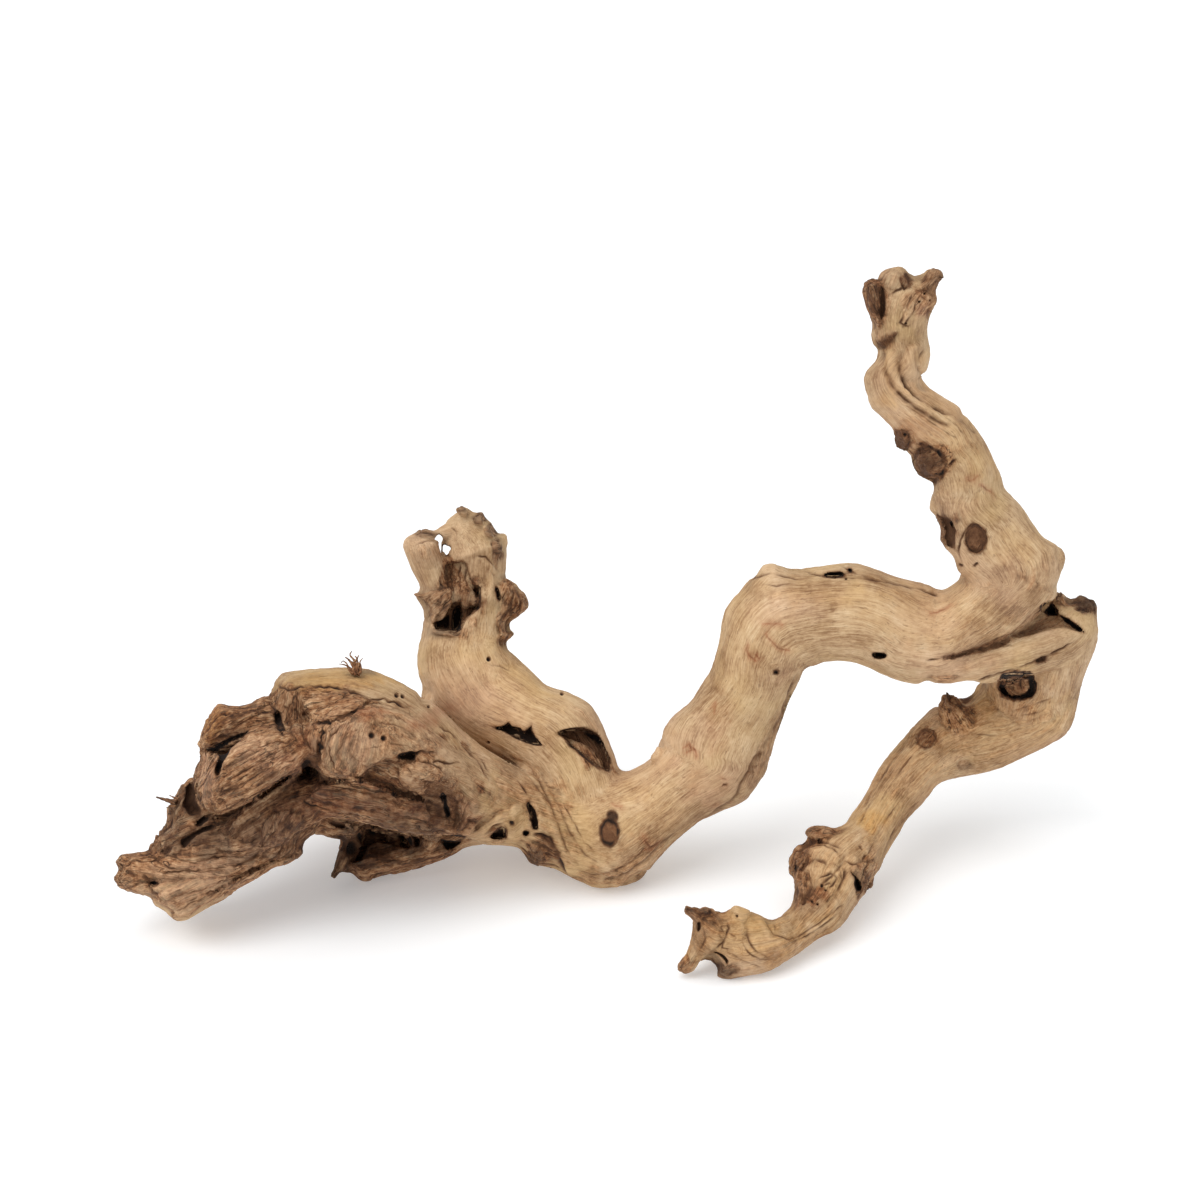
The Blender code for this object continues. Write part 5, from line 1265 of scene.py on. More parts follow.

# soft patches of tone: kind, u, v, half width, half height, turn in degrees, strength; the shade kind paints shade over
# hollows and overhung parts, and also darkens knots and bark to a deeper brown
PATCHES = [
    ("grey", 361, 673, 17, 3.5, 0, 1.0), ("gold", 340, 679, 75, 10, -6, 0.8), ("gold", 214, 724, 9, 20, 18, 0.9),
    ("gold", 872, 822, 12, 17, 25, 0.9), ("gold", 372, 777, 6, 4, 0, 0.7), ("gold", 273, 836, 4, 5, 0, 0.6),
    ("gold", 746, 915, 16, 9, 0, 0.6), ("gold", 892, 404, 12, 8, 30, 0.6), ("gold", 890, 370, 8, 26, 5, 0.5),
    ("gold", 655, 810, 36, 16, 30, 0.4), ("gold", 840, 596, 60, 12, 0, 0.4), ("gold", 982, 702, 14, 18, 0, 0.7),
    ("gold", 215, 812, 5, 5, 0, 0.7), ("gold", 505, 845, 30, 5, 0, 0.2), ("gold", 1012, 545, 26, 26, 0, 0.35),
    ("brown", 1022, 577, 26, 7, 38, 0.55), ("brown", 1045, 565, 8, 14, 20, 0.35),
    ("brown", 962, 716, 22, 12, -10, 0.6), ("brown", 1010, 706, 40, 8, 8, 0.45), ("brown", 925, 738, 20, 17, 0, 0.5),
    ("brown", 880, 640, 24, 10, 0, 0.25), ("brown", 655, 848, 16, 12, 40, 0.5), ("brown", 640, 866, 60, 14, 28, 0.35),
    ("brown", 505, 845, 40, 12, 0, 0.35), ("brown", 510, 775, 16, 12, 0, 0.25), ("brown", 545, 790, 40, 10, -55, 0.3),
    ("brown", 485, 700, 0.1, 0.1, 0, 0.0), ("brown", 975, 445, 14, 10, -30, 0.35), ("brown", 925, 300, 16, 14, 0, 0.35),
    ("brown", 884, 780, 12, 26, -35, 0.4), ("brown", 820, 890, 22, 14, 30, 0.35), ("brown", 900, 350, 6, 10, 0, 0.3),
    ("brown", 497, 625, 6, 8, 0, 0.4), ("brown", 425, 552, 16, 12, 0, 0.35), ("brown", 700, 925, 14, 14, 0, 0.3),
    ("brown", 900, 828, 12, 30, -35, 0.35), ("brown", 760, 930, 50, 24, 0, 0.15), ("brown", 1050, 690, 22, 30, 0, 0.2),
    ("grey", 512, 772, 12, 8, 20, 0.4), ("grey", 482, 515, 8, 8, 0, 0.8), ("grey", 493, 528, 9, 8, 0, 0.8),
    ("grey", 464, 508, 7, 4, 0, 0.8), ("grey", 423, 534, 10, 5, 0, 0.8), ("grey", 499, 548, 7, 14, 0, 0.6),
    ("grey", 965, 766, 9, 7, 0, 0.35), ("grey", 730, 973, 12, 8, 0, 0.5), ("grey", 440, 632, 14, 5, 0, 0.8),
    ("red", 900, 445, 50, 14, -35, 0.25), ("red", 720, 730, 12, 30, 10, 0.25), ("red", 372, 714, 14, 7, 0, 0.6),
    ("red", 430, 718, 30, 8, -28, 0.5), ("red", 700, 790, 30, 14, 0, 0.15), ("red", 340, 800, 60, 14, -12, 0.35),
    ("pink", 462, 690, 40, 30, 0, 0.5), ("pink", 712, 782, 34, 26, 0, 0.6), ("pink", 790, 610, 40, 14, 0, 0.4),
    ("pink", 950, 665, 50, 16, 8, 0.5), ("pink", 1010, 605, 50, 10, 35, 0.3), ("pink", 700, 735, 14, 20, 0, 0.4),
    ("pink", 900, 505, 0.1, 0.1, 0, 0.0), ("pink", 950, 505, 18, 16, 0, 0.4), ("pink", 275, 760, 60, 16, 28, 0.4),
    ("pink", 345, 750, 30, 30, 0, 0.4), ("pink", 205, 775, 8, 26, 0, 0.5), ("pink", 470, 815, 14, 14, 0, 0.3),
    ("shade", 395, 835, 60, 30, -8, 0.75), ("shade", 375, 805, 60, 14, -14, 0.45), ("shade", 215, 832, 46, 20, 15, 0.65),
    ("shade", 285, 790, 34, 16, 30, 0.45), ("shade", 312, 765, 10, 22, 0, 0.6), ("shade", 172, 835, 20, 20, 0, 0.7),
    ("shade", 188, 803, 14, 24, 0, 0.7), ("shade", 300, 830, 20, 30, 0, 0.4), ("shade", 288, 712, 18, 24, 0, 0.4),
    ("shade", 380, 770, 22, 12, 0, 0.35), ("shade", 455, 812, 12, 24, 0, 0.35), ("shade", 250, 845, 34, 10, 10, 0.4),
    ("shade", 228, 728, 26, 16, 25, 0.15), ("shade", 535, 856, 14, 10, 0, 0.7), ("shade", 345, 870, 12, 12, 0, 0.5),
    ("shade", 447, 624, 12, 8, 0, 0.6), ("shade", 512, 608, 18, 26, 0, 0.25), ("shade", 240, 800, 30, 8, 30, 0.35),
    ("shade", 345, 848, 16, 34, 15, 0.9), ("shade", 395, 838, 34, 12, 10, 0.8), ("shade", 535, 857, 13, 10, 0, 0.8),
    ("brown", 535, 856, 16, 12, 0, 1.0), ("brown", 900, 442, 10, 12, 0, 1.0), ("shade", 900, 442, 9, 11, 0, 0.7),
    ("brown", 928, 466, 18, 18, 0, 1.0), ("shade", 928, 467, 17, 17, 0, 0.6), ("shade", 976, 539, 9, 12, 0, 0.5),
    ("shade", 944, 530, 13, 20, -15, 0.5), ("brown", 944, 530, 14, 20, -15, 0.9),
    ("shade", 872, 302, 8, 22, 0, 0.5), ("brown", 872, 302, 10, 24, 0, 1.0), ("shade", 893, 277, 14, 9, 0, 0.25),
    ("brown", 893, 277, 14, 9, 0, 0.5), ("brown", 934, 278, 14, 12, 0, 0.9), ("shade", 934, 280, 13, 11, 0, 0.35),
    ("brown", 922, 306, 15, 14, 0, 0.55), ("brown", 1086, 602, 14, 9, 10, 1.0), ("shade", 1086, 602, 13, 9, 10, 0.8),
    ("brown", 797, 862, 13, 22, 0, 0.9), ("shade", 796, 862, 11, 20, 0, 0.45), ("brown", 818, 834, 20, 8, -10, 0.9),
    ("shade", 818, 834, 18, 7, -10, 0.3), ("brown", 867, 878, 15, 17, 0, 0.75), ("shade", 868, 880, 13, 15, 0, 0.25),
    ("brown", 510, 792, 42, 34, 30, 0.5), ("brown", 545, 812, 40, 44, 0, 0.32), ("brown", 615, 868, 40, 18, 0, 0.35),
    ("brown", 770, 745, 12, 60, 22, 0.4), ("brown", 700, 832, 60, 12, -38, 0.4), ("brown", 700, 935, 18, 24, 0, 0.5),
    ("brown", 470, 775, 22, 34, -35, 0.4), ("brown", 478, 830, 34, 14, -20, 0.45), ("brown", 560, 845, 20, 26, -35, 0.4),
    ("brown", 880, 665, 60, 7, 6, 0.25), ("brown", 1000, 590, 50, 9, -30, 0.3), ("brown", 1063, 560, 7, 14, 0, 0.3),
    ("brown", 840, 840, 26, 34, 30, 0.3), ("brown", 770, 920, 60, 20, -20, 0.25), ("brown", 1020, 735, 60, 24, -15, 0.25),
    ("brown", 495, 725, 24, 6, 10, 0.3), ("brown", 590, 720, 22, 8, 40, 0.35), ("brown", 355, 682, 60, 6, 4, 0.2),
    ("brown", 448, 590, 10, 34, 0, 1.0), ("brown", 465, 600, 14, 30, 0, 0.9),
    ("brown", 462, 507, 9, 5, 0, 0.95), ("brown", 481, 517, 6, 8, 0, 1.0), ("brown", 491, 530, 8, 8, 0, 1.0),
    ("brown", 498, 551, 6, 15, 0, 0.9), ("brown", 422, 532, 11, 6, -12, 0.95), ("brown", 431, 552, 15, 13, 0, 0.5),
    ("grey", 481, 517, 6, 8, 0, 0.7), ("grey", 491, 530, 7, 8, 0, 0.7), ("grey", 462, 507, 9, 5, 0, 0.6),
    ("grey", 422, 532, 11, 6, -12, 0.7), ("grey", 498, 551, 6, 14, 0, 0.6), ("grey", 436, 604, 16, 16, 0, 0.5),
    ("shade", 466, 601, 13, 12, 0, 0.45), ("brown", 588, 753, 24, 12, 38, 0.9), ("shade", 588, 753, 22, 10, 38, 0.1),
    ("pale", 415, 722, 46, 20, 22, 0.38), ("pale", 462, 762, 22, 44, -34, 0.6), ("pale", 348, 752, 32, 24, 0, 0.24),
    ("pale", 420, 775, 30, 16, 0, 0.12), ("pale", 185, 885, 70, 24, -24, 0.3), ("pale", 250, 745, 34, 16, -35, 0.15),
    ("shade", 375, 806, 70, 15, 13, 0.45), ("shade", 262, 818, 34, 26, -30, 0.3), ("shade", 205, 835, 30, 16, -20, 0.2),
    ("shade", 300, 815, 22, 26, 0, 0.3), ("shade", 398, 868, 62, 12, -8, 0.2),
    ("shade", 285, 836, 34, 30, 0, 0.5), ("shade", 335, 798, 40, 12, 10, 0.55), ("shade", 400, 815, 40, 11, 14, 0.5),
    ("gold", 950, 430, 60, 70, 0, 0.35), ("gold", 1000, 722, 80, 50, 0, 0.42), ("gold", 900, 790, 60, 70, -50, 0.35),
    ("gold", 745, 932, 80, 34, 0, 0.6), ("gold", 560, 840, 90, 60, 0, 0.3), ("gold", 930, 610, 70, 40, 0, 0.3),
    ("gold", 830, 870, 40, 50, 0, 0.3), ("brown", 703, 913, 20, 8, 5, 1.0), ("shade", 703, 912, 18, 7, 5, 0.35),
    ("brown", 724, 968, 14, 8, 0, 0.7), ("shade", 862, 878, 12, 16, 0, 0.3), ("brown", 750, 945, 40, 16, 20, 0.3),
    ("brown", 818, 872, 30, 30, 0, 0.3), ("brown", 905, 405, 40, 12, 38, 0.3), ("brown", 885, 338, 14, 10, -30, 0.6),
    ("red", 395, 812, 50, 9, 12, 0.4), ("red", 300, 752, 16, 20, 0, 0.25),
    ("shade", 365, 803, 62, 16, 12, 0.62), ("red", 360, 803, 60, 14, 12, 0.3), ("shade", 315, 868, 0.1, 0.1, 0, 0.0),
    ("shade", 360, 848, 24, 20, 0, 0.95), ("shade", 180, 815, 14, 24, 20, 0.75), ("shade", 440, 808, 16, 24, 0, 0.6),
    ("shade", 265, 828, 50, 26, -18, 0.6), ("shade", 345, 874, 14, 10, 0, 0.3),
    ("brown", 610, 874, 44, 14, -6, 0.55), ("brown", 650, 852, 22, 20, 30, 0.5), ("brown", 550, 806, 22, 46, -32, 0.5),
    ("brown", 440, 806, 22, 34, 0, 1.0), ("shade", 440, 808, 18, 28, 0, 0.45), ("pale", 474, 792, 12, 44, -14, 0.5),
    ("brown", 545, 850, 12, 20, -30, 0.9), ("shade", 548, 852, 8, 18, -30, 0.4), ("brown", 497, 834, 9, 9, 0, 0.8),
    ("shade", 1086, 602, 16, 11, 8, 1.0), ("brown", 1086, 602, 17, 12, 8, 1.0), ("gold", 640, 800, 60, 60, 0, 0.25),
    ("gold", 500, 690, 60, 60, 0, 0.3), ("gold", 740, 640, 50, 60, 0, 0.2), ("brown", 1000, 622, 40, 14, -32, 0.35),
    ("shade", 248, 832, 44, 22, -18, 0.7), ("shade", 292, 812, 28, 26, 0, 0.6), ("shade", 214, 848, 34, 10, -8, 0.55),
    ("shade", 900, 443, 9, 11, 0, 0.8), ("shade", 928, 466, 17, 16, 0, 0.7), ("brown", 955, 701, 17, 10, 0, 1.0),
    ("shade", 955, 702, 15, 9, 0, 0.4), ("shade", 1017, 686, 14, 11, 0, 0.55), ("shade", 180, 822, 16, 18, 0, 0.5),
    ("brown", 922, 305, 14, 20, 12, 0.9), ("pink", 918, 320, 14, 12, 0, 0.5), ("brown", 906, 281, 6, 9, 0, 1.0),
    ("shade", 906, 281, 5, 8, 0, 0.6), ("shade", 927, 464, 16, 15, 0, 0.9), ("shade", 900, 442, 8, 10, 0, 0.6),
    ("brown", 814, 897, 14, 14, 0, 0.8), ("red", 814, 898, 11, 12, 0, 0.2), ("brown", 799, 892, 8, 17, -10, 0.9),
    ("shade", 798, 893, 7, 15, -10, 0.6), ("brown", 726, 969, 17, 9, 0, 1.0), ("shade", 724, 969, 14, 8, 0, 0.7),
    ("brown", 684, 966, 12, 9, -30, 0.8), ("brown", 866, 880, 16, 20, 0, 0.8), ("shade", 860, 882, 9, 14, -20, 0.6),
    ("brown", 820, 908, 40, 10, -35, 0.4), ("brown", 720, 925, 10, 16, 0, 0.5), ("brown", 795, 945, 40, 9, -28, 0.45),
    ("brown", 365, 803, 52, 11, 8, 0.6), ("shade", 365, 804, 50, 10, 8, 0.35), ("shade", 608, 833, 6, 9, 0, 0.5),
    ("brown", 745, 936, 40, 24, 0, 0.3), ("brown", 520, 786, 30, 20, 30, 0.25), ("shade", 352, 850, 10, 14, 0, 0.8),
    ("pink", 190, 885, 60, 26, -20, 0.5), ("grey", 320, 678, 70, 8, -4, 0.22), ("pink", 260, 835, 40, 20, -20, 0.3),
]

# upper left edge of the sound pale wood on the burl: brown below and left of it
PALE_EDGE = [(262, 690), (272, 690), (285, 684), (300, 684), (320, 686), (350, 690), (380, 700), (400, 708),
             (430, 722), (458, 742), (476, 762), (486, 786), (484, 806), (474, 826), (462, 852), (455, 880)]


class Cut(Plate):
    """A hollow, slot or hole with a traced outline, cut in from the front of the skin."""

    def __init__(self, name, outline, deep, bowl, dark_and_shade, brown):
        self.deep, self.bowl, self.dark_and_shade = deep / 1000, bowl, dark_and_shade
        super().__init__(name, outline, 0.0, thick=deep, brown=brown, wobble=1.0)

    def reach(self):
        return -0.016, self.deep + 0.004

    def values(self, p):
        u, v, z = project(p)
        q = p * np.float32(110.0)
        u2 = u + self.wobble * Plate.warp(q)
        v2 = v + self.wobble * Plate.warp(q + np.float32(17.3))
        d2 = polygon_field(self.points, u2, v2)
        base = Plate.relief(u, v)
        t = 1 - np.clip(-d2 / self.bowl, 0, 1)
        floor = base + self.deep * (1 - t * t)
        side = d2 * z / FOCAL
        f = smooth_max(side, z - floor, 0.0008)
        return smooth_max(f, base - 0.014 - z, 0.0008), u, v, z


def near_line(points, u, v):
    """Distance in view units to an open line of points."""
    best = np.full(len(u), 1e9, np.float32)
    for (ax, ay), (bx, by) in zip(points[:-1], points[1:]):
        ex, ey = bx - ax, by - ay
        wx, wy = u - ax, v - ay
        t = np.clip((wx * ex + wy * ey) / max(ex * ex + ey * ey, 1e-9), 0, 1)
        best = np.minimum(best, (wx - ex * t) ** 2 + (wy - ey * t) ** 2)
    return np.sqrt(best)


class Timer:
    def __init__(self):
        import time
        self.clock, self.start = time.perf_counter, time.perf_counter()

    def __call__(self, what):
        print(f"[{self.clock() - self.start:6.1f} s] {what}", flush=True)


tick = Timer()


# ---------------------------------------------------------------- grow the wood
def fit_outline(verts, tris, rounds=2):
    """Move points in the view plane so that the silhouette follows the outline."""
    net_u, net_v = Raster.net()
    target = polygon_field(rounded(OUTLINE), net_u, net_v)
    for _ in range(rounds):
        # signed distance of the silhouette on a net of one unit, then read at two
        fine = np.zeros((Raster.NU * 2, Raster.NV * 2), bool)
        a, b, c = (verts[tris[:, k]] for k in range(3))
        for wa, wb, wc in ((1, 0, 0), (0.5, 0.5, 0), (0, 0.5, 0.5), (0.5, 0, 0.5), (0.34, 0.33, 0.33),
                           (0.67, 0.17, 0.16), (0.16, 0.67, 0.17), (0.17, 0.16, 0.67)):
            u, v, _z = project((a * wa + b * wb + c * wc).astype(np.float32))
            i = np.clip(np.rint(u - Raster.U0).astype(int), 0, fine.shape[0] - 1)
            j = np.clip(np.rint(v - Raster.V0).astype(int), 0, fine.shape[1] - 1)
            fine[i, j] = True
        pad = np.pad(fine, 1)
        fine |= (pad[:-2, 1:-1] & pad[2:, 1:-1]) | (pad[1:-1, :-2] & pad[1:-1, 2:])
        free = ~fine
        outside = np.zeros_like(free)
        outside[0], outside[-1], outside[:, 0], outside[:, -1] = True, True, True, True
        for _pass in range(5):
            for k in range(1, free.shape[0]):
                outside[k] |= outside[k - 1] & free[k]
            for k in range(free.shape[0] - 2, -1, -1):
                outside[k] |= outside[k + 1] & free[k]
            for k in range(1, free.shape[1]):
                outside[:, k] |= outside[:, k - 1] & free[:, k]
            for k in range(free.shape[1] - 2, -1, -1):
                outside[:, k] |= outside[:, k + 1] & free[:, k]
        fine = ~outside
        dist = []
        for mask in (fine, ~fine):
            d = np.where(mask, 0.0, 99.0).astype(np.float32)
            for _step in range(16):
                p = np.pad(d, 1, mode="edge")
                d = np.minimum(d, np.minimum(np.minimum(p[:-2, 1:-1], p[2:, 1:-1]),
                                             np.minimum(p[1:-1, :-2], p[1:-1, 2:])) + 1.0)
                d = np.minimum(d, np.minimum(np.minimum(p[:-2, :-2], p[2:, 2:]),
                                             np.minimum(p[2:, :-2], p[:-2, 2:])) + 1.4142)
            dist.append(d)
        own = (dist[0] - dist[1])[::2, ::2][:Raster.NU, :Raster.NV]
        own = blurred(own, 1)
        gap = np.clip(own - target, -8, 8) * np.exp(-(own / 11.0) ** 2)
        gu, gv = np.gradient(blurred(target, 2), Raster.STEP)
        size = np.maximum(np.hypot(gu, gv), 0.3)
        push_u, push_v = Raster(blurred(gap * gu / size, 3)), Raster(blurred(gap * gv / size, 3))
        u, v, z = project(verts)
        du, dv = push_u(u, v), push_v(u, v)
        scale = z / FOCAL
        verts = verts + (SIDEWAYS[None] * (du * scale)[:, None]
                         - UPWARD[None] * (dv * scale)[:, None])
        verts = verts.astype(np.float32)
    return verts


def refine(verts, tris, near):
    """Halve every edge that has both its ends marked."""
    n = len(verts)
    key = []
    for a, b in ((0, 1), (1, 2), (2, 0)):
        lo = np.minimum(tris[:, a], tris[:, b]).astype(np.int64)
        hi = np.maximum(tris[:, a], tris[:, b]).astype(np.int64)
        both = near[lo] & near[hi]
        key.append(np.where(both, lo * n + hi, -1))
    key = np.stack(key, 1)
    names, inverse = np.unique(key, return_inverse=True)
    inverse = inverse.reshape(key.shape)
    first = 1 if names[0] < 0 else 0
    made = names[first:]
    mid = (verts[made // n] + verts[made % n]) / 2
    index = np.where(key >= 0, inverse - first + n, -1)
    full = (index >= 0).all(1)
    none = (index < 0).all(1)
    out = [tris[none]]
    t, m = tris[full], index[full]
    out += [np.stack(x, 1) for x in ((t[:, 0], m[:, 0], m[:, 2]), (m[:, 0], t[:, 1], m[:, 1]),
                                     (m[:, 2], m[:, 1], t[:, 2]), (m[:, 0], m[:, 1], m[:, 2]))]
    for k in range(3):
        one = ~full & (index[:, k] >= 0)
        t, m = tris[one], index[one, k]
        a, b, c = t[:, k], t[:, (k + 1) % 3], t[:, (k + 2) % 3]
        out += [np.stack((a, m, c), 1), np.stack((m, b, c), 1)]
    return np.concatenate([verts, mid.astype(np.float32)]), np.concatenate(out)


def in_sight(verts, tris, slack=0.004):
    depth, _covered = depth_raster(verts, tris)
    u, v, z = project(verts)
    i = np.clip(np.rint((u - Raster.U0) / Raster.STEP).astype(int), 1, Raster.NU - 2)
    j = np.clip(np.rint((v - Raster.V0) / Raster.STEP).astype(int), 1, Raster.NV - 2)
    nearest = np.maximum(depth[i, j], np.minimum(np.maximum(depth[i - 1, j], depth[i + 1, j]),
                                                 np.maximum(depth[i, j - 1], depth[i, j + 1])))
    return z < nearest + slack, u, v, z


class Wood:
    """All limbs and plates, for reading how the grain runs at any point."""

    def __init__(self, limbs, plates):
        self.parts = limbs + plates
        rng = np.random.RandomState(5)
        self.offset = rng.uniform(-0.5, 0.5, (len(self.parts), 3)).astype(np.float32)

    def place(self, k, p):
        part = self.parts[k]
        f, co, _ = part.at(p)
        if isinstance(part, Limb):
            r = part.mean * co[:, 2]
            co = np.stack([co[:, 0], r * np.cos(co[:, 1]), r * np.sin(co[:, 1])], 1)
        return f, (co + self.offset[k]).astype(np.float32)

    def nearest(self, p):
        """The two parts whose skins lie nearest, with their fields, places and brownness."""
        n = len(p)
        f = np.full((2, n), 1.0, np.float32)
        who = np.zeros((2, n), np.int32)
        co = np.zeros((2, n, 3), np.float32)
        weight = np.full(n, 1e-6, np.float32)
        brown = np.zeros(n, np.float32)
        for k, part in enumerate(self.parts):
            low, high = part.low - 0.007, part.high + 0.007
            sel = np.flatnonzero(((p > low) & (p < high)).all(1))
            if not len(sel):
                continue
            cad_, ck = self.place(k, p[sel])
            w = np.exp(-np.clip(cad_, -0.003, 0.02) / 0.0012).astype(np.float32)
            weight[sel] += w
            brown[sel] += w * part.brown
            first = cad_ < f[0][sel]
            a = sel[first]
            f[1][a], who[1][a], co[1][a] = f[0][a], who[0][a], co[0][a]
            f[0][a], who[0][a], co[0][a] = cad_[first], k, ck[first]
            second = ~first & (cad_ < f[1][sel])
            b = sel[second]
            f[1][b], who[1][b], co[1][b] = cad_[second], k, ck[second]
        return f, who, co, brown / weight


class Knots:
    """Places that the grain flows round."""

    def __init__(self, wood):
        self.rows = []
        for u, v, ru, rv, ring, core, sunk, brown in KNOTS:
            z = float(Plate.relief(np.array([u]), np.array([v]))[0])
            c = EYE + (FORWARD * FOCAL + SIDEWAYS * (u - 600) + UPWARD * (600 - v)) * z / FOCAL
            c = c.astype(np.float32)[None]
            best, along = 1.0, SIDEWAYS
            for part in wood.parts:
                if isinstance(part, Limb) and ((c > part.low) & (c < part.high)).all():
                    f, _, d = part.at(c)
                    if f[0] < best:
                        best, along = f[0], d[0]
            look = unit(c[0] - EYE)
            side = unit(np.cross(along, look))
            along = unit(along - look * (along @ look))
            scale = z / FOCAL
            # half sizes along and across the grain
            au, av = float(along @ SIDEWAYS), -float(along @ UPWARD)
            ra = 1 / math.sqrt((au / ru) ** 2 + (av / rv) ** 2) * scale
            rb = 1 / math.sqrt((av / ru) ** 2 + (au / rv) ** 2) * scale
            self.rows.append((c[0], along, side, look, ra, rb))

    def deflect(self, p):
        out = p.copy()
        for c, along, side, look, ra, rb in self.rows:
            d = p - c
            sel = np.flatnonzero((np.abs(d) < 5 * max(ra, rb)).all(1) & (d @ look < 0.012))
            if not len(sel):
                continue
            x, y = d[sel] @ along, d[sel] @ side
            rho2 = np.maximum((x / ra) ** 2 + (y / rb) ** 2, 1.0)
            fade = ramp(5 - np.sqrt(rho2), 0.0, 2.5)
            out[sel] -= (side[None] * (y / rho2 * fade)[:, None]).astype(np.float32)
        return out


def grow():
    limbs = [Limb(name, blend, brown, rows) for name, (blend, brown, rows) in LIMBS.items()]
    for k, (u, v, y, r, brown) in enumerate(LUMPS):
        limbs.append(Limb("lump%d" % k, 3.0, brown, [(u - 1.5, v, y, r, 1.0), (u + 1.5, v, y, r, 1.0)], 1))
    grid = Grid(CAD_LOW - 0.006, CAD_HIGH + 0.006, GRID)
    for limb in limbs:
        sub, f = limb.field(grid)
        grid.join(sub, f, limb.blend)
    tick("limbs")
    verts, quads = grid.skin()
    tris = triangles_of(verts, quads)
    depth, _covered = depth_raster(verts, tris)
    Plate.relief = Raster(blurred(depth, 6))
    tick("relief of %d points" % len(verts))
    plates = [Plate(name, outline, lift, **more) for name, outline, lift, more in PLATES]
    for plate in plates:
        sub, f = plate.field(grid)
        grid.join(sub, f, plate.blend)
    tick("plates")
    cuts = [Cut(*row) for row in CUTS]
    for cut in cuts:
        sub, f = cut.field(grid)
        grid.carve(sub, f, 0.0005)
    tick("cuts")
    late = [Plate(name, outline, lift, **more) for name, outline, lift, more in LATE]
    for plate in late:
        sub, f = plate.field(grid)
        grid.join(sub, f, plate.blend)
    plates += late
    for k, (u, v, below, r, brown) in enumerate(CORES):
        z = float(Plate.relief(np.array([u]), np.array([v]))[0]) + below / 1000
        y = (EYE + (FORWARD * FOCAL + SIDEWAYS * (u - 600) + UPWARD * (600 - v)) * z / FOCAL + SHIFT)[1] * 1000
        limb = Limb("core%d" % k, 1.0, brown, [(u - 1.5, v, y, r, 1.0), (u + 1.5, v, y, r, 1.0)], 1)
        sub, f = limb.field(grid)
        grid.join(sub, f, limb.blend)
        limbs.append(limb)
    level = grid.axes[2][None, None, :]
    grid.g = np.maximum(grid.g, 0.0001 - level)
    verts, quads = grid.skin()
    tris = triangles_of(verts, quads)
    verts, tris = largest_part(verts, tris)
    tick("skin of %d points" % len(verts))
    return limbs, plates, cuts, verts, tris


def crack_marks(u, v, sight):
    """Depth (m), darkness and redness that the cracks, holes and knot rings give each point; part of the darkness is
    painted shade in the holes and cracks.
    """
    n = len(u)
    dent, dark_and_shade, red, brown, rise = (np.zeros(n, np.float32) for _ in range(5))

    def within(points, margin):
        p = np.array(points, float)
        lo, hi = p.min(0) - margin, p.max(0) + margin
        return np.flatnonzero(sight & (u > lo[0]) & (u < hi[0]) & (v > lo[1]) & (v < hi[1]))

    wander = LUMPY(np.stack([u, v, u * 0.0], 1).astype(np.float32) * np.float32(0.17))
    waver = LUMPY(np.stack([v, u, u * 0.0 + 7], 1).astype(np.float32) * np.float32(0.15))
    faint = 0.75 + 0.9 * LUMPY(np.stack([u, v, u * 0.0 + 3], 1).astype(np.float32) * np.float32(0.09))
    plain_u, plain_v = u, v
    stray = 0.8 + 1.6 * ramp(500 - u, 0, 60)
    u, v = u + stray * wander, v + stray * waver
    for width, deep, darkness, redness, points in CRACKS:
        sel = within(points, 8)
        if not len(sel):
            continue
        d = near_line(points, u[sel], v[sel])
        g = np.exp(-(d / (width * 0.95)) ** 2)
        ends = np.minimum(np.hypot(u[sel] - points[0][0], v[sel] - points[0][1]),
                          np.hypot(u[sel] - points[-1][0], v[sel] - points[-1][1]))
        taper = 0.25 + 0.75 * ramp(ends, 0.0, 7.0) if len(points) > 2 else 1.0
        taper = taper * np.clip(faint[sel], 0.3, 1.1)
        dent[sel] = np.maximum(dent[sel], deep * 0.001 * g * taper)
        if redness > 0.5:
            red[sel] = np.maximum(red[sel], np.exp(-(d / (width * 1.5)) ** 2) * redness)
        dark_and_shade[sel] = np.maximum(dark_and_shade[sel], darkness * np.exp(-(d / (width * 0.85)) ** 2) * taper)
    for width, high, points in RIDGES:
        sel = within(points, 3 * width)
        if len(sel):
            d = near_line(points, u[sel], v[sel])
            ends = np.minimum(np.hypot(u[sel] - points[0][0], v[sel] - points[0][1]),
                              np.hypot(u[sel] - points[-1][0], v[sel] - points[-1][1]))
            rise[sel] = np.maximum(rise[sel], high * 0.001 * np.exp(-(d / width) ** 2) * ramp(ends, 0.0, 10.0))
    u, v = plain_u, plain_v
    # holes: painted shade, near black, over a shallow dent
    for x, y, r in HOLES:
        sel = within([(x, y)], 8)
        d = np.hypot(u[sel] - x, v[sel] - y) / r
        dent[sel] = np.maximum(dent[sel], 0.0016 * np.exp(-(d * 0.95) ** 4))
        dark_and_shade[sel] = np.maximum(dark_and_shade[sel], 0.97 * np.exp(-(d * 0.95) ** 4))
    for x, y, ru, rv, ring, core, sunk, warm in KNOTS:
        sel = within([(x, y)], 1.8 * max(ru, rv) + 4)
        rho = np.sqrt(((u[sel] - x) / ru) ** 2 + ((v[sel] - y) / rv) ** 2) * (1 + 0.12 * wander[sel])
        edge = 2.0 / min(ru, rv)
        line = np.exp(-((rho - 1.0) / edge) ** 2) * np.clip(0.95 + 0.8 * waver[sel], 0.5, 1.0)
        dent[sel] = np.maximum(dent[sel], 0.0007 * line * (ring > 0) + sunk * 0.001 * ramp(1.15 - rho, 0, 0.3))
        dark_and_shade[sel] = np.maximum(dark_and_shade[sel], np.maximum(ring * line * 0.9, core * ramp(1.0 - rho, 0.0, 0.3)))
        brown[sel] = np.maximum(brown[sel], warm * ramp(1.35 - rho, 0.0, 0.25))
    return dent - rise, dark_and_shade, red, brown


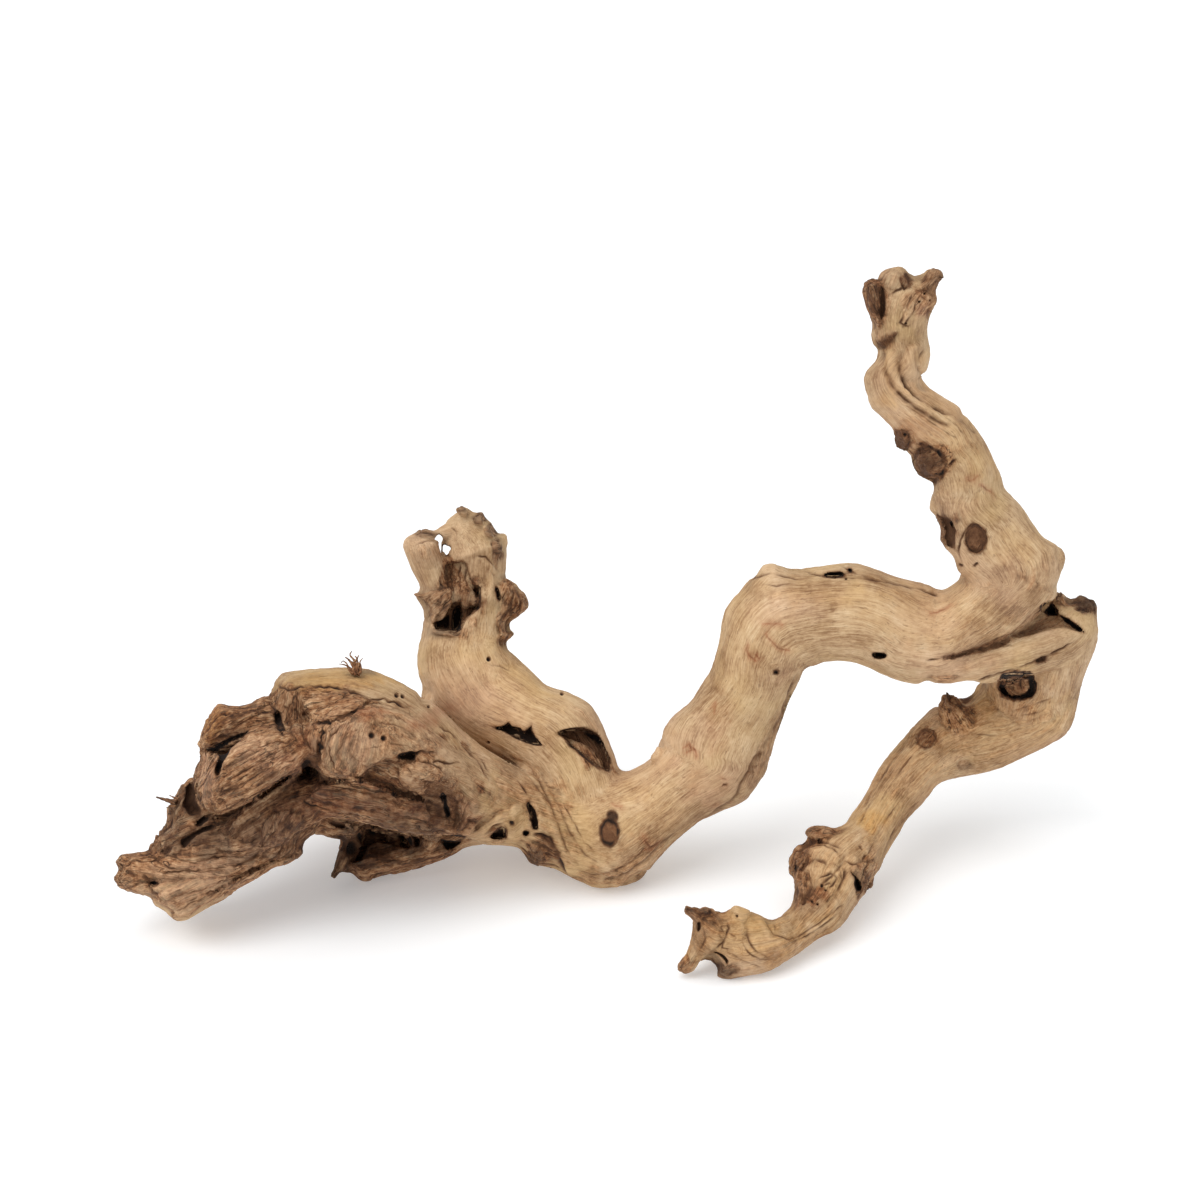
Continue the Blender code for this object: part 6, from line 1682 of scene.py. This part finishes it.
def crack_zone(u, v, sight):
    """Points that need a finer mesh for the cracks to show."""
    near = np.zeros(len(u), bool)
    rows = [(p, 3.2) for *_, p in CRACKS] + [([(x, y), (x + 0.1, y)], r + 2.5) for x, y, r in HOLES]
    for points, margin in rows:
        p = np.array(points, float)
        lo, hi = p.min(0) - margin, p.max(0) + margin
        sel = np.flatnonzero(sight & (u > lo[0]) & (u < hi[0]) & (v > lo[1]) & (v < hi[1]))
        if len(sel):
            near[sel] |= near_line(points, u[sel], v[sel]) < margin
    for x, y, ru, rv, ring, *_ in KNOTS:
        if ring > 0:
            rho = np.sqrt(((u - x) / ru) ** 2 + ((v - y) / rv) ** 2)
            near |= sight & (rho < 1.0 + 4.0 / min(ru, rv))
    return near


def patches(kind, u, v, sight, wild):
    out = np.zeros(len(u), np.float32)
    for what, x, y, ru, rv, turn, strength in PATCHES:
        if what != kind or not strength:
            continue
        c, s = math.cos(math.radians(turn)), math.sin(math.radians(turn))
        du, dv = u - x, v - y
        a, b = (du * c + dv * s) / ru, (-du * s + dv * c) / rv
        r = np.sqrt(a * a + b * b) + 0.55 * wild
        out = np.maximum(out, strength * ramp(1.35 - r, 0.0, 0.8))
    return out * sight


FINE, MEDIUM, WIDE, LUMPY = Noise(21), Noise(22), Noise(23), Noise(24)


def build():
    limbs, plates, cuts, p0, tris = grow()
    for turn in range(2):
        sight, u, v, _z = in_sight(p0, tris)
        near = crack_zone(u, v, sight)
        p0, tris = refine(p0, tris, near)
    tick("refined to %d points, %d triangles" % (len(p0), len(tris)))
    p1 = fit_outline(p0, tris)
    tick("outline")
    wood = Wood(limbs, plates)
    knots = Knots(wood)
    f, who, co, brown = wood.nearest(knots.deflect(p0))
    tick("grain")
    share = (1 / (1 + np.exp(np.clip((f[0] - f[1]) / 0.0007, -30, 30)))).astype(np.float32)

    def along(noise, length, across, shift=0.0):
        scale = np.array((1000 / length, 1000 / across, 1000 / across), np.float32)
        return (share * noise(co[0] * scale + np.float32(shift))
                + (1 - share) * noise(co[1] * scale + np.float32(shift)))

    sight, u, v, z = in_sight(p1, tris)
    wild = LUMPY(p0 * np.float32(160)) * 1.6
    normal = normals_of(p1, tris)

    # tone of the wood: brown where it is old and split, pale where it is sound
    zone_d = polygon_field(PALE_EDGE + [(430, 900), (60, 900), (60, 640), (262, 640)], u, v)
    ragged = np.where(sight, 7 * wild, 10 * wild + 70 * LUMPY(p0 * np.float32(42)))
    zone = ramp((-zone_d + ragged) / np.where(sight, 1.0, 3.0), -7, 7)
    plate_no = np.array([isinstance(p, Plate) for p in wood.parts])
    on_plate = plate_no[who[0]] * share
    burl = ramp(560 - u, 0, 70)
    sound = burl * (1 - zone) * (1 - on_plate)
    brown = brown * (1 - 0.72 * sound)
    brown = np.maximum(brown, 0.92 * zone * burl * (1 - 0.85 * on_plate))
    # the shade patches are painted shade in hollows and under overhangs, and a deeper brown on knots and bark
    grey, gold, red, pink, more, shade = (patches(k, u, v, sight, wild)
                                          for k in ("grey", "gold", "red", "pink", "brown", "shade"))
    brown = np.maximum(brown, more) * (1 - patches("pale", u, v, sight, wild))
    for plate, k in ((p, len(limbs) + i) for i, p in enumerate(plates)):
        if plate.tone == "grey":
            grey = np.maximum(grey, (who[0] == k) * 0.2)

    # cuts: painted shade on the floors and walls, darker the deeper they lie
    u0, v0, z0 = project(p0)
    dark_and_shade = np.zeros(len(p0), np.float32)
    base = Plate.relief(u0, v0)
    for cut in cuts:
        sel = np.flatnonzero(((p0 > cut.low - 0.002) & (p0 < cut.high + 0.002)).all(1) & sight)
        if not len(sel):
            continue
        fc = cut.values(p0[sel])[0]
        inside = np.exp(-np.clip(np.abs(fc) - 0.0006, 0, None) / 0.0006)
        below = ramp(z0[sel] - base[sel], -0.0005, 0.45 * cut.deep)
        dark_and_shade[sel] = np.maximum(dark_and_shade[sel], cut.dark_and_shade * inside * below)
        brown[sel] = np.maximum(brown[sel], cut.brown * inside * (0.35 + 0.65 * below))
    tick("tones")

    # relief of the grain
    dent, mark, stain, warm = crack_marks(u, v, sight)
    brown = np.maximum(brown, warm)
    swell = along(WIDE, 60, 11)
    grain = along(MEDIUM, 24, 2.5)
    line = along(FINE, 70, 5.5, 7.7)
    patchy = ramp(along(WIDE, 90, 16, 3.3), -0.05, 0.3)
    furrow = np.exp(-(line / 0.13) ** 2) * patchy
    lumps = LUMPY(p0 * np.float32(270))
    pits = ramp(LUMPY(p0 * np.float32(190) + np.float32(9.1)), 0.12, 0.45)
    rough = ramp(brown, 0.25, 0.9)
    neck = np.exp(-(((u - 530) / 46) ** 2 + ((v - 800) / 44) ** 2)) * sight
    neck_grain = along(MEDIUM, 60, 3.6, 2.2)
    ribs = along(MEDIUM, 30, 1.9, 5.1)
    height = ((0.40 + 0.30 * rough) * swell + (0.08 + 0.50 * rough) * grain + 0.42 * rough * lumps
              + 0.34 * rough * ribs - (0.13 + 0.65 * rough) * furrow - 0.75 * rough * pits
              + 0.55 * neck * neck_grain) * 0.001
    quiet = np.clip(1 - mark - 0.8 * dark_and_shade, 0.15, 1)
    height = height * quiet - dent
    feet = ramp(p1[:, 2], 0.0, 0.004)
    p2 = p1 + normal * (height * (0.2 + 0.8 * feet))[:, None]
    p2[:, 2] = np.maximum(p2[:, 2], 0.0)
    p2 = np.clip(p2, CAD_LOW - 0.004, CAD_HIGH + 0.004).astype(np.float32)
    tick("relief of the grain")

    # curvature of the skin, for painted shade in the valleys and a painted highlight on the ridges
    edges = edges_of(tris)
    soft = relax(p2.astype(np.float64), edges, 4, 0.6)
    hollow = ((soft - p2) * normals_of(p2, tris)).sum(1)
    hollow = relax(np.clip(hollow / 0.00030, -1, 1)[:, None], edges, 1, 0.5)[:, 0]
    crease_shade_and_ridge_light = np.clip(hollow + (0.25 + 0.45 * rough) * furrow + 0.5 * mark, -1, 1)
    dark_and_shade = np.maximum(dark_and_shade, mark)
    tick("valleys")

    mesh = raw_mesh("vine_wood_skin", p2, tris)
    # tone_a: brown, dark marks with painted shade, grey, gold; tone_b: red, pink, crease measure for painted valley
    # shade and ridge highlight, shade patches
    store(mesh, "tone_a", "FLOAT_COLOR", np.stack([brown, dark_and_shade, grey, gold], 1))
    store(mesh, "tone_b", "FLOAT_COLOR", np.stack([np.maximum(red, stain), pink, crease_shade_and_ridge_light * 0.5 + 0.5, shade], 1))
    store(mesh, "rest", "FLOAT_VECTOR", p0)
    piece = bpy.data.objects.new("vine_wood_skin", mesh)
    bpy.context.scene.collection.objects.link(piece)
    tick("mesh of %d triangles" % len(tris))
    less = piece.modifiers.new("less", "DECIMATE")
    less.decimate_type = "COLLAPSE"
    less.ratio = min(1.0, TRIANGLES / len(tris))
    less.use_collapse_triangulate = True
    graph = bpy.context.evaluated_depsgraph_get()
    done = bpy.data.meshes.new_from_object(piece.evaluated_get(graph))
    piece.modifiers.clear()
    piece.data = done
    bpy.data.meshes.remove(mesh)
    done.name = "vine_wood_skin"
    tick("decimated to %d triangles" % len(done.polygons))
    finish_skin(done, wood, knots)
    return piece


KINDS = {"FLOAT": "value", "FLOAT_COLOR": "color", "FLOAT_VECTOR": "vector"}


def store(mesh, name, kind, values, domain="POINT"):
    attribute = mesh.attributes.new(name, kind, domain)
    attribute.data.foreach_set(KINDS[kind], np.ascontiguousarray(values, np.float32).ravel())


def finish_skin(mesh, wood, knots):
    """Give each corner its place along the grain of the two parts nearest to its triangle."""
    n, m = len(mesh.vertices), len(mesh.polygons)
    rest = np.zeros(n * 3, np.float32)
    mesh.attributes["rest"].data.foreach_get("vector", rest)
    rest = rest.reshape(n, 3)
    corner = np.zeros(m * 3, np.int32)
    mesh.loops.foreach_get("vertex_index", corner)
    tri = corner.reshape(m, 3)
    flow = knots.deflect(rest)
    middle = rest[tri].mean(1)
    _f, who, _co, _b = wood.nearest(middle)
    places = np.zeros((2, m, 3, 3), np.float32)
    fields = np.full((2, m, 3), 1.0, np.float32)
    for k in range(len(wood.parts)):
        for side in (0, 1):
            sel = np.flatnonzero(who[side] == k)
            if len(sel):
                f, co = wood.place(k, flow[tri[sel]].reshape(-1, 3))
                places[side][sel] = co.reshape(-1, 3, 3)
                fields[side][sel] = f.reshape(-1, 3)
    share = 1 / (1 + np.exp(np.clip((fields[0] - fields[1]) / 0.0007, -30, 30)))
    store(mesh, "grain_a", "FLOAT_VECTOR", places[0] * 1000, "CORNER")
    store(mesh, "grain_b", "FLOAT_VECTOR", places[1] * 1000, "CORNER")
    store(mesh, "grain_share", "FLOAT", share, "CORNER")
    mesh.attributes.remove(mesh.attributes["rest"])
    mesh.polygons.foreach_set("use_smooth", np.ones(m, bool))
    mesh.update()
    tick("grain places")


# ---------------------------------------------------------------- material
def srgb(r, g, b):
    out = []
    for c in (r, g, b):
        c /= 255.0
        out.append(c / 12.92 if c <= 0.04045 else ((c + 0.055) / 1.055) ** 2.4)
    return (*out, 1.0)


class Net:
    """Small helpers for writing a node tree."""

    def __init__(self, material):
        material.use_nodes = True
        self.tree = material.node_tree
        self.tree.nodes.clear()

    def add(self, kind, **values):
        node = self.tree.nodes.new(kind)
        for key, value in values.items():
            setattr(node, key, value)
        return node

    def feed(self, socket, value):
        if isinstance(value, bpy.types.NodeSocket):
            self.tree.links.new(value, socket)
        else:
            socket.default_value = value

    def math(self, op, a, b=0.0, c=0.0, clamp=False):
        node = self.add("ShaderNodeMath", operation=op, use_clamp=clamp)
        for k, value in enumerate((a, b, c)):
            self.feed(node.inputs[k], value)
        return node.outputs[0]

    def scaled(self, vector, scale, shift=(0.0, 0.0, 0.0)):
        node = self.add("ShaderNodeVectorMath", operation="MULTIPLY_ADD")
        self.feed(node.inputs[0], vector)
        node.inputs[1].default_value = scale
        node.inputs[2].default_value = shift
        return node.outputs[0]

    def noise(self, vector, detail=2.0, rough=0.5, distortion=0.0):
        node = self.add("ShaderNodeTexNoise", noise_dimensions="3D")
        self.feed(node.inputs["Vector"], vector)
        node.inputs["Scale"].default_value = 1.0
        node.inputs["Detail"].default_value = detail
        node.inputs["Roughness"].default_value = rough
        node.inputs["Distortion"].default_value = distortion
        return node.outputs[0]

    def mix(self, factor, a, b, kind="MIX"):
        node = self.add("ShaderNodeMix", data_type="RGBA", blend_type=kind)
        self.feed(node.inputs[0], factor)
        self.feed(node.inputs[6], a)
        self.feed(node.inputs[7], b)
        return node.outputs[2]

    def blend(self, factor, a, b):
        node = self.add("ShaderNodeMix", data_type="FLOAT")
        self.feed(node.inputs[0], factor)
        self.feed(node.inputs[2], a)
        self.feed(node.inputs[3], b)
        return node.outputs[0]

    def ramp(self, factor, stops):
        node = self.add("ShaderNodeValToRGB")
        bar = node.color_ramp
        while len(bar.elements) < len(stops):
            bar.elements.new(0.5)
        for element, (at, colour) in zip(bar.elements, stops):
            element.position, element.color = at, colour
        self.feed(node.inputs[0], factor)
        return node.outputs[0]

    def smooth(self, value, lo, hi, out_lo=0.0, out_hi=1.0):
        node = self.add("ShaderNodeMapRange", interpolation_type="SMOOTHSTEP")
        self.feed(node.inputs[0], value)
        for k, x in enumerate((lo, hi, out_lo, out_hi)):
            node.inputs[k + 1].default_value = x
        return node.outputs[0]

    def attribute(self, name, output="Color"):
        node = self.add("ShaderNodeAttribute", attribute_name=name, attribute_type="GEOMETRY")
        return node.outputs[output]

    def split(self, colour):
        node = self.add("ShaderNodeSeparateColor")
        self.feed(node.inputs[0], colour)
        return node.outputs


def wood_material():
    material = bpy.data.materials.new("vine_wood_bare")
    net = Net(material)
    grain_a = net.attribute("grain_a", "Vector")
    grain_b = net.attribute("grain_b", "Vector")
    share = net.attribute("grain_share", "Fac")
    tone_a = net.attribute("tone_a")
    tone_b = net.attribute("tone_b")
    brown, dark_and_shade, grey = net.split(tone_a)[:3]
    gold = net.attribute("tone_a", "Alpha")
    red, pink, crease_shade_and_ridge_light = net.split(tone_b)[:3]
    shade = net.attribute("tone_b", "Alpha")

    def strands(grain):
        # the fibres wander: their place across is shifted by a slow noise
        slow = net.add("ShaderNodeTexNoise", noise_dimensions="3D")
        net.feed(slow.inputs["Vector"], net.scaled(grain, (1 / 26, 1 / 10, 1 / 10)))
        slow.inputs["Scale"].default_value = 1.0
        slow.inputs["Detail"].default_value = 1.0
        drift = net.add("ShaderNodeVectorMath", operation="MULTIPLY_ADD")
        net.feed(drift.inputs[0], slow.outputs["Color"])
        drift.inputs[1].default_value = (0.0, 4.5, 4.5)
        net.feed(drift.inputs[2], grain)
        g = drift.outputs[0]
        return [net.noise(net.scaled(g, (1 / 10, 1 / 0.62, 1 / 0.62)), 3.0, 0.7),
                net.noise(net.scaled(g, (1 / 22, 1 / 2.1, 1 / 2.1), (3.1, 0, 0)), 3.0, 0.6),
                net.noise(net.scaled(g, (1 / 40, 1 / 10, 1 / 9), (7.7, 0, 0)), 2.0, 0.5),
                net.noise(net.scaled(g, (1 / 3.2, 1 / 0.7, 1 / 0.7), (1.7, 4.0, 0)), 1.0, 0.5),
                net.noise(net.scaled(g, (1 / 26, 1 / 2.6, 1 / 2.6), (9.3, 2.0, 5.0)), 1.5, 0.5)]

    fine, medium, wide, fleck, split = (net.blend(share, b, a) for a, b in
                                 zip(strands(grain_a), strands(grain_b)))
    place = net.add("ShaderNodeTexCoord").outputs["Object"]
    blotch = net.noise(net.scaled(place, (38, 38, 38)), 3.0, 0.55)
    mottle = net.noise(net.scaled(place, (420, 420, 420)), 3.0, 0.6)

    def sum_of(*terms):
        total = 0.5
        for value, gain in terms:
            total = net.math("MULTIPLY_ADD", net.math("SUBTRACT", value, 0.5), gain, total)
        return total

    cloud = net.noise(net.scaled(place, (75, 75, 75), (2.0, 7.0, 3.0)), 4.0, 0.65)
    pale_t = sum_of((wide, 0.45), (medium, 0.26), (fine, 0.80), (blotch, 0.45), (cloud, 0.45), (mottle, 0.28))
    pale = net.ramp(pale_t, [(0.20, srgb(120, 86, 58)), (0.37, srgb(161, 127, 92)),
                             (0.52, srgb(190, 158, 121)), (0.66, srgb(206, 177, 140)),
                             (0.84, srgb(222, 198, 163))])
    # slow changes of hue: wheat in places, pinkish in others
    hue = net.noise(net.scaled(place, (24, 24, 24), (5.0, 2.0, 1.0)), 2.0, 0.5)
    pale = net.mix(net.smooth(hue, 0.50, 0.70, 0.0, 0.55), pale,
                   net.mix(0.5, pale, srgb(214, 176, 148)))
    pale = net.mix(net.smooth(hue, 0.50, 0.34, 0.0, 0.50), pale,
                   net.mix(0.6, pale, srgb(208, 176, 122)))
    brown_t = sum_of((wide, 0.7), (medium, 0.95), (fine, 1.15), (mottle, 1.0), (blotch, 0.5), (cloud, 0.3))
    old = net.ramp(brown_t, [(0.14, srgb(60, 34, 20)), (0.32, srgb(118, 76, 47)),
                             (0.50, srgb(160, 113, 76)), (0.66, srgb(186, 142, 103)),
                             (0.88, srgb(214, 175, 135))])
    edge = net.math("MULTIPLY_ADD", net.math("SUBTRACT", medium, 0.5), 1.1, brown)
    edge = net.math("MULTIPLY_ADD", net.math("SUBTRACT", blotch, 0.5), 0.5, edge)
    colour = net.mix(net.smooth(edge, 0.12, 0.88), pale, old)

    streak = net.smooth(sum_of((medium, 0.8), (blotch, 0.5)), 0.30, 0.65)
    for mask, tint, strength in ((pink, srgb(255, 241, 242), 0.8), (gold, srgb(250, 228, 176), 0.9)):
        amount = net.math("MULTIPLY", net.math("MULTIPLY_ADD", streak, 0.5, 0.5), mask)
        colour = net.mix(net.math("MULTIPLY", amount, strength), colour, tint, "MULTIPLY")
    colour = net.mix(net.math("MULTIPLY", pink, 0.12), colour, srgb(232, 208, 188))
    colour = net.mix(net.math("MULTIPLY", grey, 0.68), colour, srgb(112, 94, 76))
    rusty = net.math("MULTIPLY", net.math("MULTIPLY_ADD", streak, 0.4, 0.6), red)
    colour = net.mix(net.math("MULTIPLY", rusty, 0.72), colour, srgb(150, 74, 38))

    # shade patches: painted shade in hollows and under overhangs, and the deeper brown of knots and bark; the old wood
    # is also split along the grain
    colour = net.mix(net.math("MULTIPLY", shade, 0.78), colour, srgb(50, 31, 21))
    gap = net.math("ABSOLUTE", net.math("SUBTRACT", split, 0.5))
    checks = net.math("MULTIPLY", net.smooth(gap, 0.020, 0.004), net.smooth(brown, 0.35, 0.85))
    checks = net.math("MULTIPLY", checks, net.smooth(blotch, 0.40, 0.56))
    colour = net.mix(net.math("MULTIPLY", checks, 0.72), colour, srgb(34, 21, 14))
    # short dark flecks along the fibres
    specks = net.smooth(fleck, 0.66, 0.74)
    colour = net.mix(net.math("MULTIPLY", specks, 0.36), colour, srgb(116, 78, 50))
    # painted highlight on the ridges and painted shade in the valleys
    low = net.smooth(crease_shade_and_ridge_light, 0.54, 0.95)
    high = net.smooth(crease_shade_and_ridge_light, 0.46, 0.10)
    valley_shade_strength = net.math("MULTIPLY_ADD", brown, 0.42, 0.26, clamp=True)
    colour = net.mix(net.math("MULTIPLY", low, valley_shade_strength), colour, srgb(58, 36, 23))
    ridge = net.math("MULTIPLY", high, net.math("MULTIPLY_ADD", brown, -0.12, 0.22))
    colour = net.mix(ridge, colour, srgb(228, 194, 154))
    # dark marks: dark cracks and knot rings, together with the painted shade of cuts, holes and the cavern
    colour = net.mix(net.smooth(dark_and_shade, 0.0, 0.55, 0.0, 0.9), colour, srgb(98, 64, 40))
    colour = net.mix(net.smooth(dark_and_shade, 0.35, 0.95, 0.0, 0.97), colour, srgb(20, 12, 8))

    height = net.math("MULTIPLY", net.math("MULTIPLY_ADD", brown, 1.7, 0.30),
                      net.math("MULTIPLY_ADD", medium, 0.8, net.math("MULTIPLY", fine, 0.8)))
    height = net.math("MULTIPLY_ADD", specks, -0.16, height)
    height = net.math("MULTIPLY_ADD", checks, -0.9, height)
    height = net.math("MULTIPLY_ADD", mottle, net.math("MULTIPLY_ADD", brown, 0.7, 0.10), height)
    bump = net.add("ShaderNodeBump")
    bump.inputs["Strength"].default_value = 0.9
    bump.inputs["Distance"].default_value = 0.0010
    net.feed(bump.inputs["Height"], height)

    shader = net.add("ShaderNodeBsdfPrincipled")
    net.feed(shader.inputs["Base Color"], colour)
    shader.inputs["Metallic"].default_value = 0.0
    shader.inputs["Roughness"].default_value = 0.82
    shader.inputs["Specular IOR Level"].default_value = 0.28
    net.feed(shader.inputs["Normal"], bump.outputs[0])
    out = net.add("ShaderNodeOutputMaterial")
    net.feed(out.inputs["Surface"], shader.outputs[0])
    return material


def plain_material(name, colour, rough, glow=0.0):
    material = bpy.data.materials.new(name)
    net = Net(material)
    shader = net.add("ShaderNodeBsdfPrincipled")
    shader.inputs["Base Color"].default_value = (*colour, 1.0)
    shader.inputs["Roughness"].default_value = rough
    shader.inputs["Specular IOR Level"].default_value = 0.1
    shader.inputs["Emission Color"].default_value = (1.0, 1.0, 1.0, 1.0)
    shader.inputs["Emission Strength"].default_value = glow
    out = net.add("ShaderNodeOutputMaterial")
    net.feed(out.inputs["Surface"], shader.outputs[0])
    return material


# ---------------------------------------------------------------- loose fibres
# base and further places (u, v), radius mm at the base, how far behind the skin the base lies mm
FIBRES = [
    ([(355, 673), (353, 666), (349, 660), (345, 657)], 1.0, 1.0),
    ([(357, 673), (356, 666), (354, 660), (350, 655), (352, 651)], 0.9, 0.5),
    ([(354, 674), (350, 668), (345, 665), (339, 664)], 0.7, 1.5),
    ([(358, 673), (359, 666), (357, 660), (359, 655)], 0.9, 1.0),
    ([(359, 674), (361, 668), (360, 662), (363, 658)], 0.7, 0.5),
    ([(353, 674), (349, 670), (347, 664), (343, 661), (341, 663)], 0.6, 0.2),
    ([(356, 674), (357, 668), (354, 663), (357, 659), (355, 656)], 1.1, 0.8),
    ([(356, 675), (353, 670), (355, 664), (350, 661)], 0.9, 0.6),
    ([(358, 675), (361, 671), (358, 667), (361, 664)], 0.8, 0.4),
    ([(176, 803), (170, 801), (163, 799), (156, 797)], 1.5, 1.0),
    ([(176, 806), (171, 806), (166, 808)], 0.6, 1.0),
    ([(178, 799), (173, 797), (169, 795)], 0.6, 1.0),
]


def fibres(sides=7):
    """Thin torn fibres, each a closed tapered rod with its foot in the wood."""
    verts, faces, along = [], [], []
    for points, radius, below in FIBRES:
        z = float(Plate.relief(np.array([points[0][0] + 0.0]), np.array([points[0][1] + 3.0]))[0]) + below / 1000
        rows = np.array(points, float)
        path = np.array([EYE + (FORWARD * FOCAL + SIDEWAYS * (u - 600) + UPWARD * (600 - v)) * (z + 0.0008 * k) / FOCAL
                         for k, (u, v) in enumerate(rows)])
        path = smooth_rows(path, 4)
        step = np.gradient(path, axis=0)
        first, count = len(verts), len(path)
        for k, (p, d) in enumerate(zip(path, step)):
            d = unit(d)
            a = unit(np.cross(d, FORWARD))
            b = np.cross(d, a)
            r = radius / 1000 * (1.0 - 0.8 * k / (count - 1)) * (1.0 + 0.15 * math.sin(2.3 * k + radius * 9))
            for i in range(sides):
                t = math.tau * i / sides
                verts.append(p + r * (math.cos(t) * a + math.sin(t) * b))
                along.append((k * 1.2, i * 0.4, radius))
        for k in range(count - 1):
            for i in range(sides):
                j = (i + 1) % sides
                a0, b0 = first + k * sides, first + (k + 1) * sides
                faces.append((a0 + i, b0 + i, b0 + j, a0 + j))
        faces.append(tuple(first + i for i in range(sides)))
        faces.append(tuple(first + (count - 1) * sides + i for i in reversed(range(sides))))
    mesh = bpy.data.meshes.new("torn_fibres")
    mesh.from_pydata([tuple(p) for p in verts], [], faces)
    n = len(verts)
    store(mesh, "tone_a", "FLOAT_COLOR", np.tile((0.95, 0.0, 0.0, 0.1), (n, 1)))
    dusk = np.array([0.8 if row[2] > 1.4 else 0.25 for row in along])
    store(mesh, "tone_b", "FLOAT_COLOR", np.stack([dusk * 0 + 0.1, dusk * 0, dusk * 0 + 0.5, dusk], 1))
    store(mesh, "grain_a", "FLOAT_VECTOR", np.array(along))
    store(mesh, "grain_b", "FLOAT_VECTOR", np.array(along))
    store(mesh, "grain_share", "FLOAT", np.ones(n))
    mesh.polygons.foreach_set("use_smooth", np.ones(len(faces), bool))
    mesh.update()
    piece = bpy.data.objects.new("torn_fibres", mesh)
    bpy.context.scene.collection.objects.link(piece)
    return piece


# ---------------------------------------------------------------- stage
def stage():
    mesh = bpy.data.meshes.new("floor")
    s = 6.0
    mesh.from_pydata([(-s, -s, 0), (s, -s, 0), (s, s, 0), (-s, s, 0)], [], [(0, 1, 2, 3)])
    mesh.materials.append(plain_material("floor_white", (0.785, 0.80, 0.812), 0.9, glow=0.26))
    floor = bpy.data.objects.new("floor", mesh)
    bpy.context.scene.collection.objects.link(floor)

    world = bpy.data.worlds.new("soft_room")
    bpy.context.scene.world = world
    world.use_nodes = True
    background = world.node_tree.nodes["Background"]
    background.inputs["Color"].default_value = (1.0, 1.0, 1.0, 1.0)
    background.inputs["Strength"].default_value = 0.57

    def sun(name, azimuth, elevation, strength, spread):
        light = bpy.data.lights.new(name, "SUN")
        light.energy, light.angle = strength, math.radians(spread)
        ob = bpy.data.objects.new(name, light)
        ob.rotation_euler = (math.radians(90 - elevation), 0.0, math.radians(azimuth))
        bpy.context.scene.collection.objects.link(ob)

    # azimuth 0 shines from the front, negative from the left
    sun("key", -46, 50, 1.6, 42)
    sun("top", 20, 82, 0.75, 50)


def camera():
    data = bpy.data.cameras.new("camera")
    data.sensor_width, data.sensor_fit = 36.0, "HORIZONTAL"
    data.lens = FOCAL / 1200.0 * 36.0
    data.clip_start, data.clip_end = 0.05, 20.0
    ob = bpy.data.objects.new("camera", data)
    ob.location = EYE
    ob.rotation_euler = (math.pi / 2 - ELEVATION, 0.0, 0.0)
    bpy.context.scene.collection.objects.link(ob)
    bpy.context.scene.camera = ob


def main():
    camera()
    stage()
    bpy.context.scene.view_settings.view_transform = "Standard"
    piece = build()
    piece.data.materials.append(wood_material())
    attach(piece, "root")
    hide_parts(NODE)
    hairs = fibres()
    hairs.data.materials.append(piece.data.materials[0])
    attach(hairs, "root")
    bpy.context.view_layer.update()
    tick("done")


main()
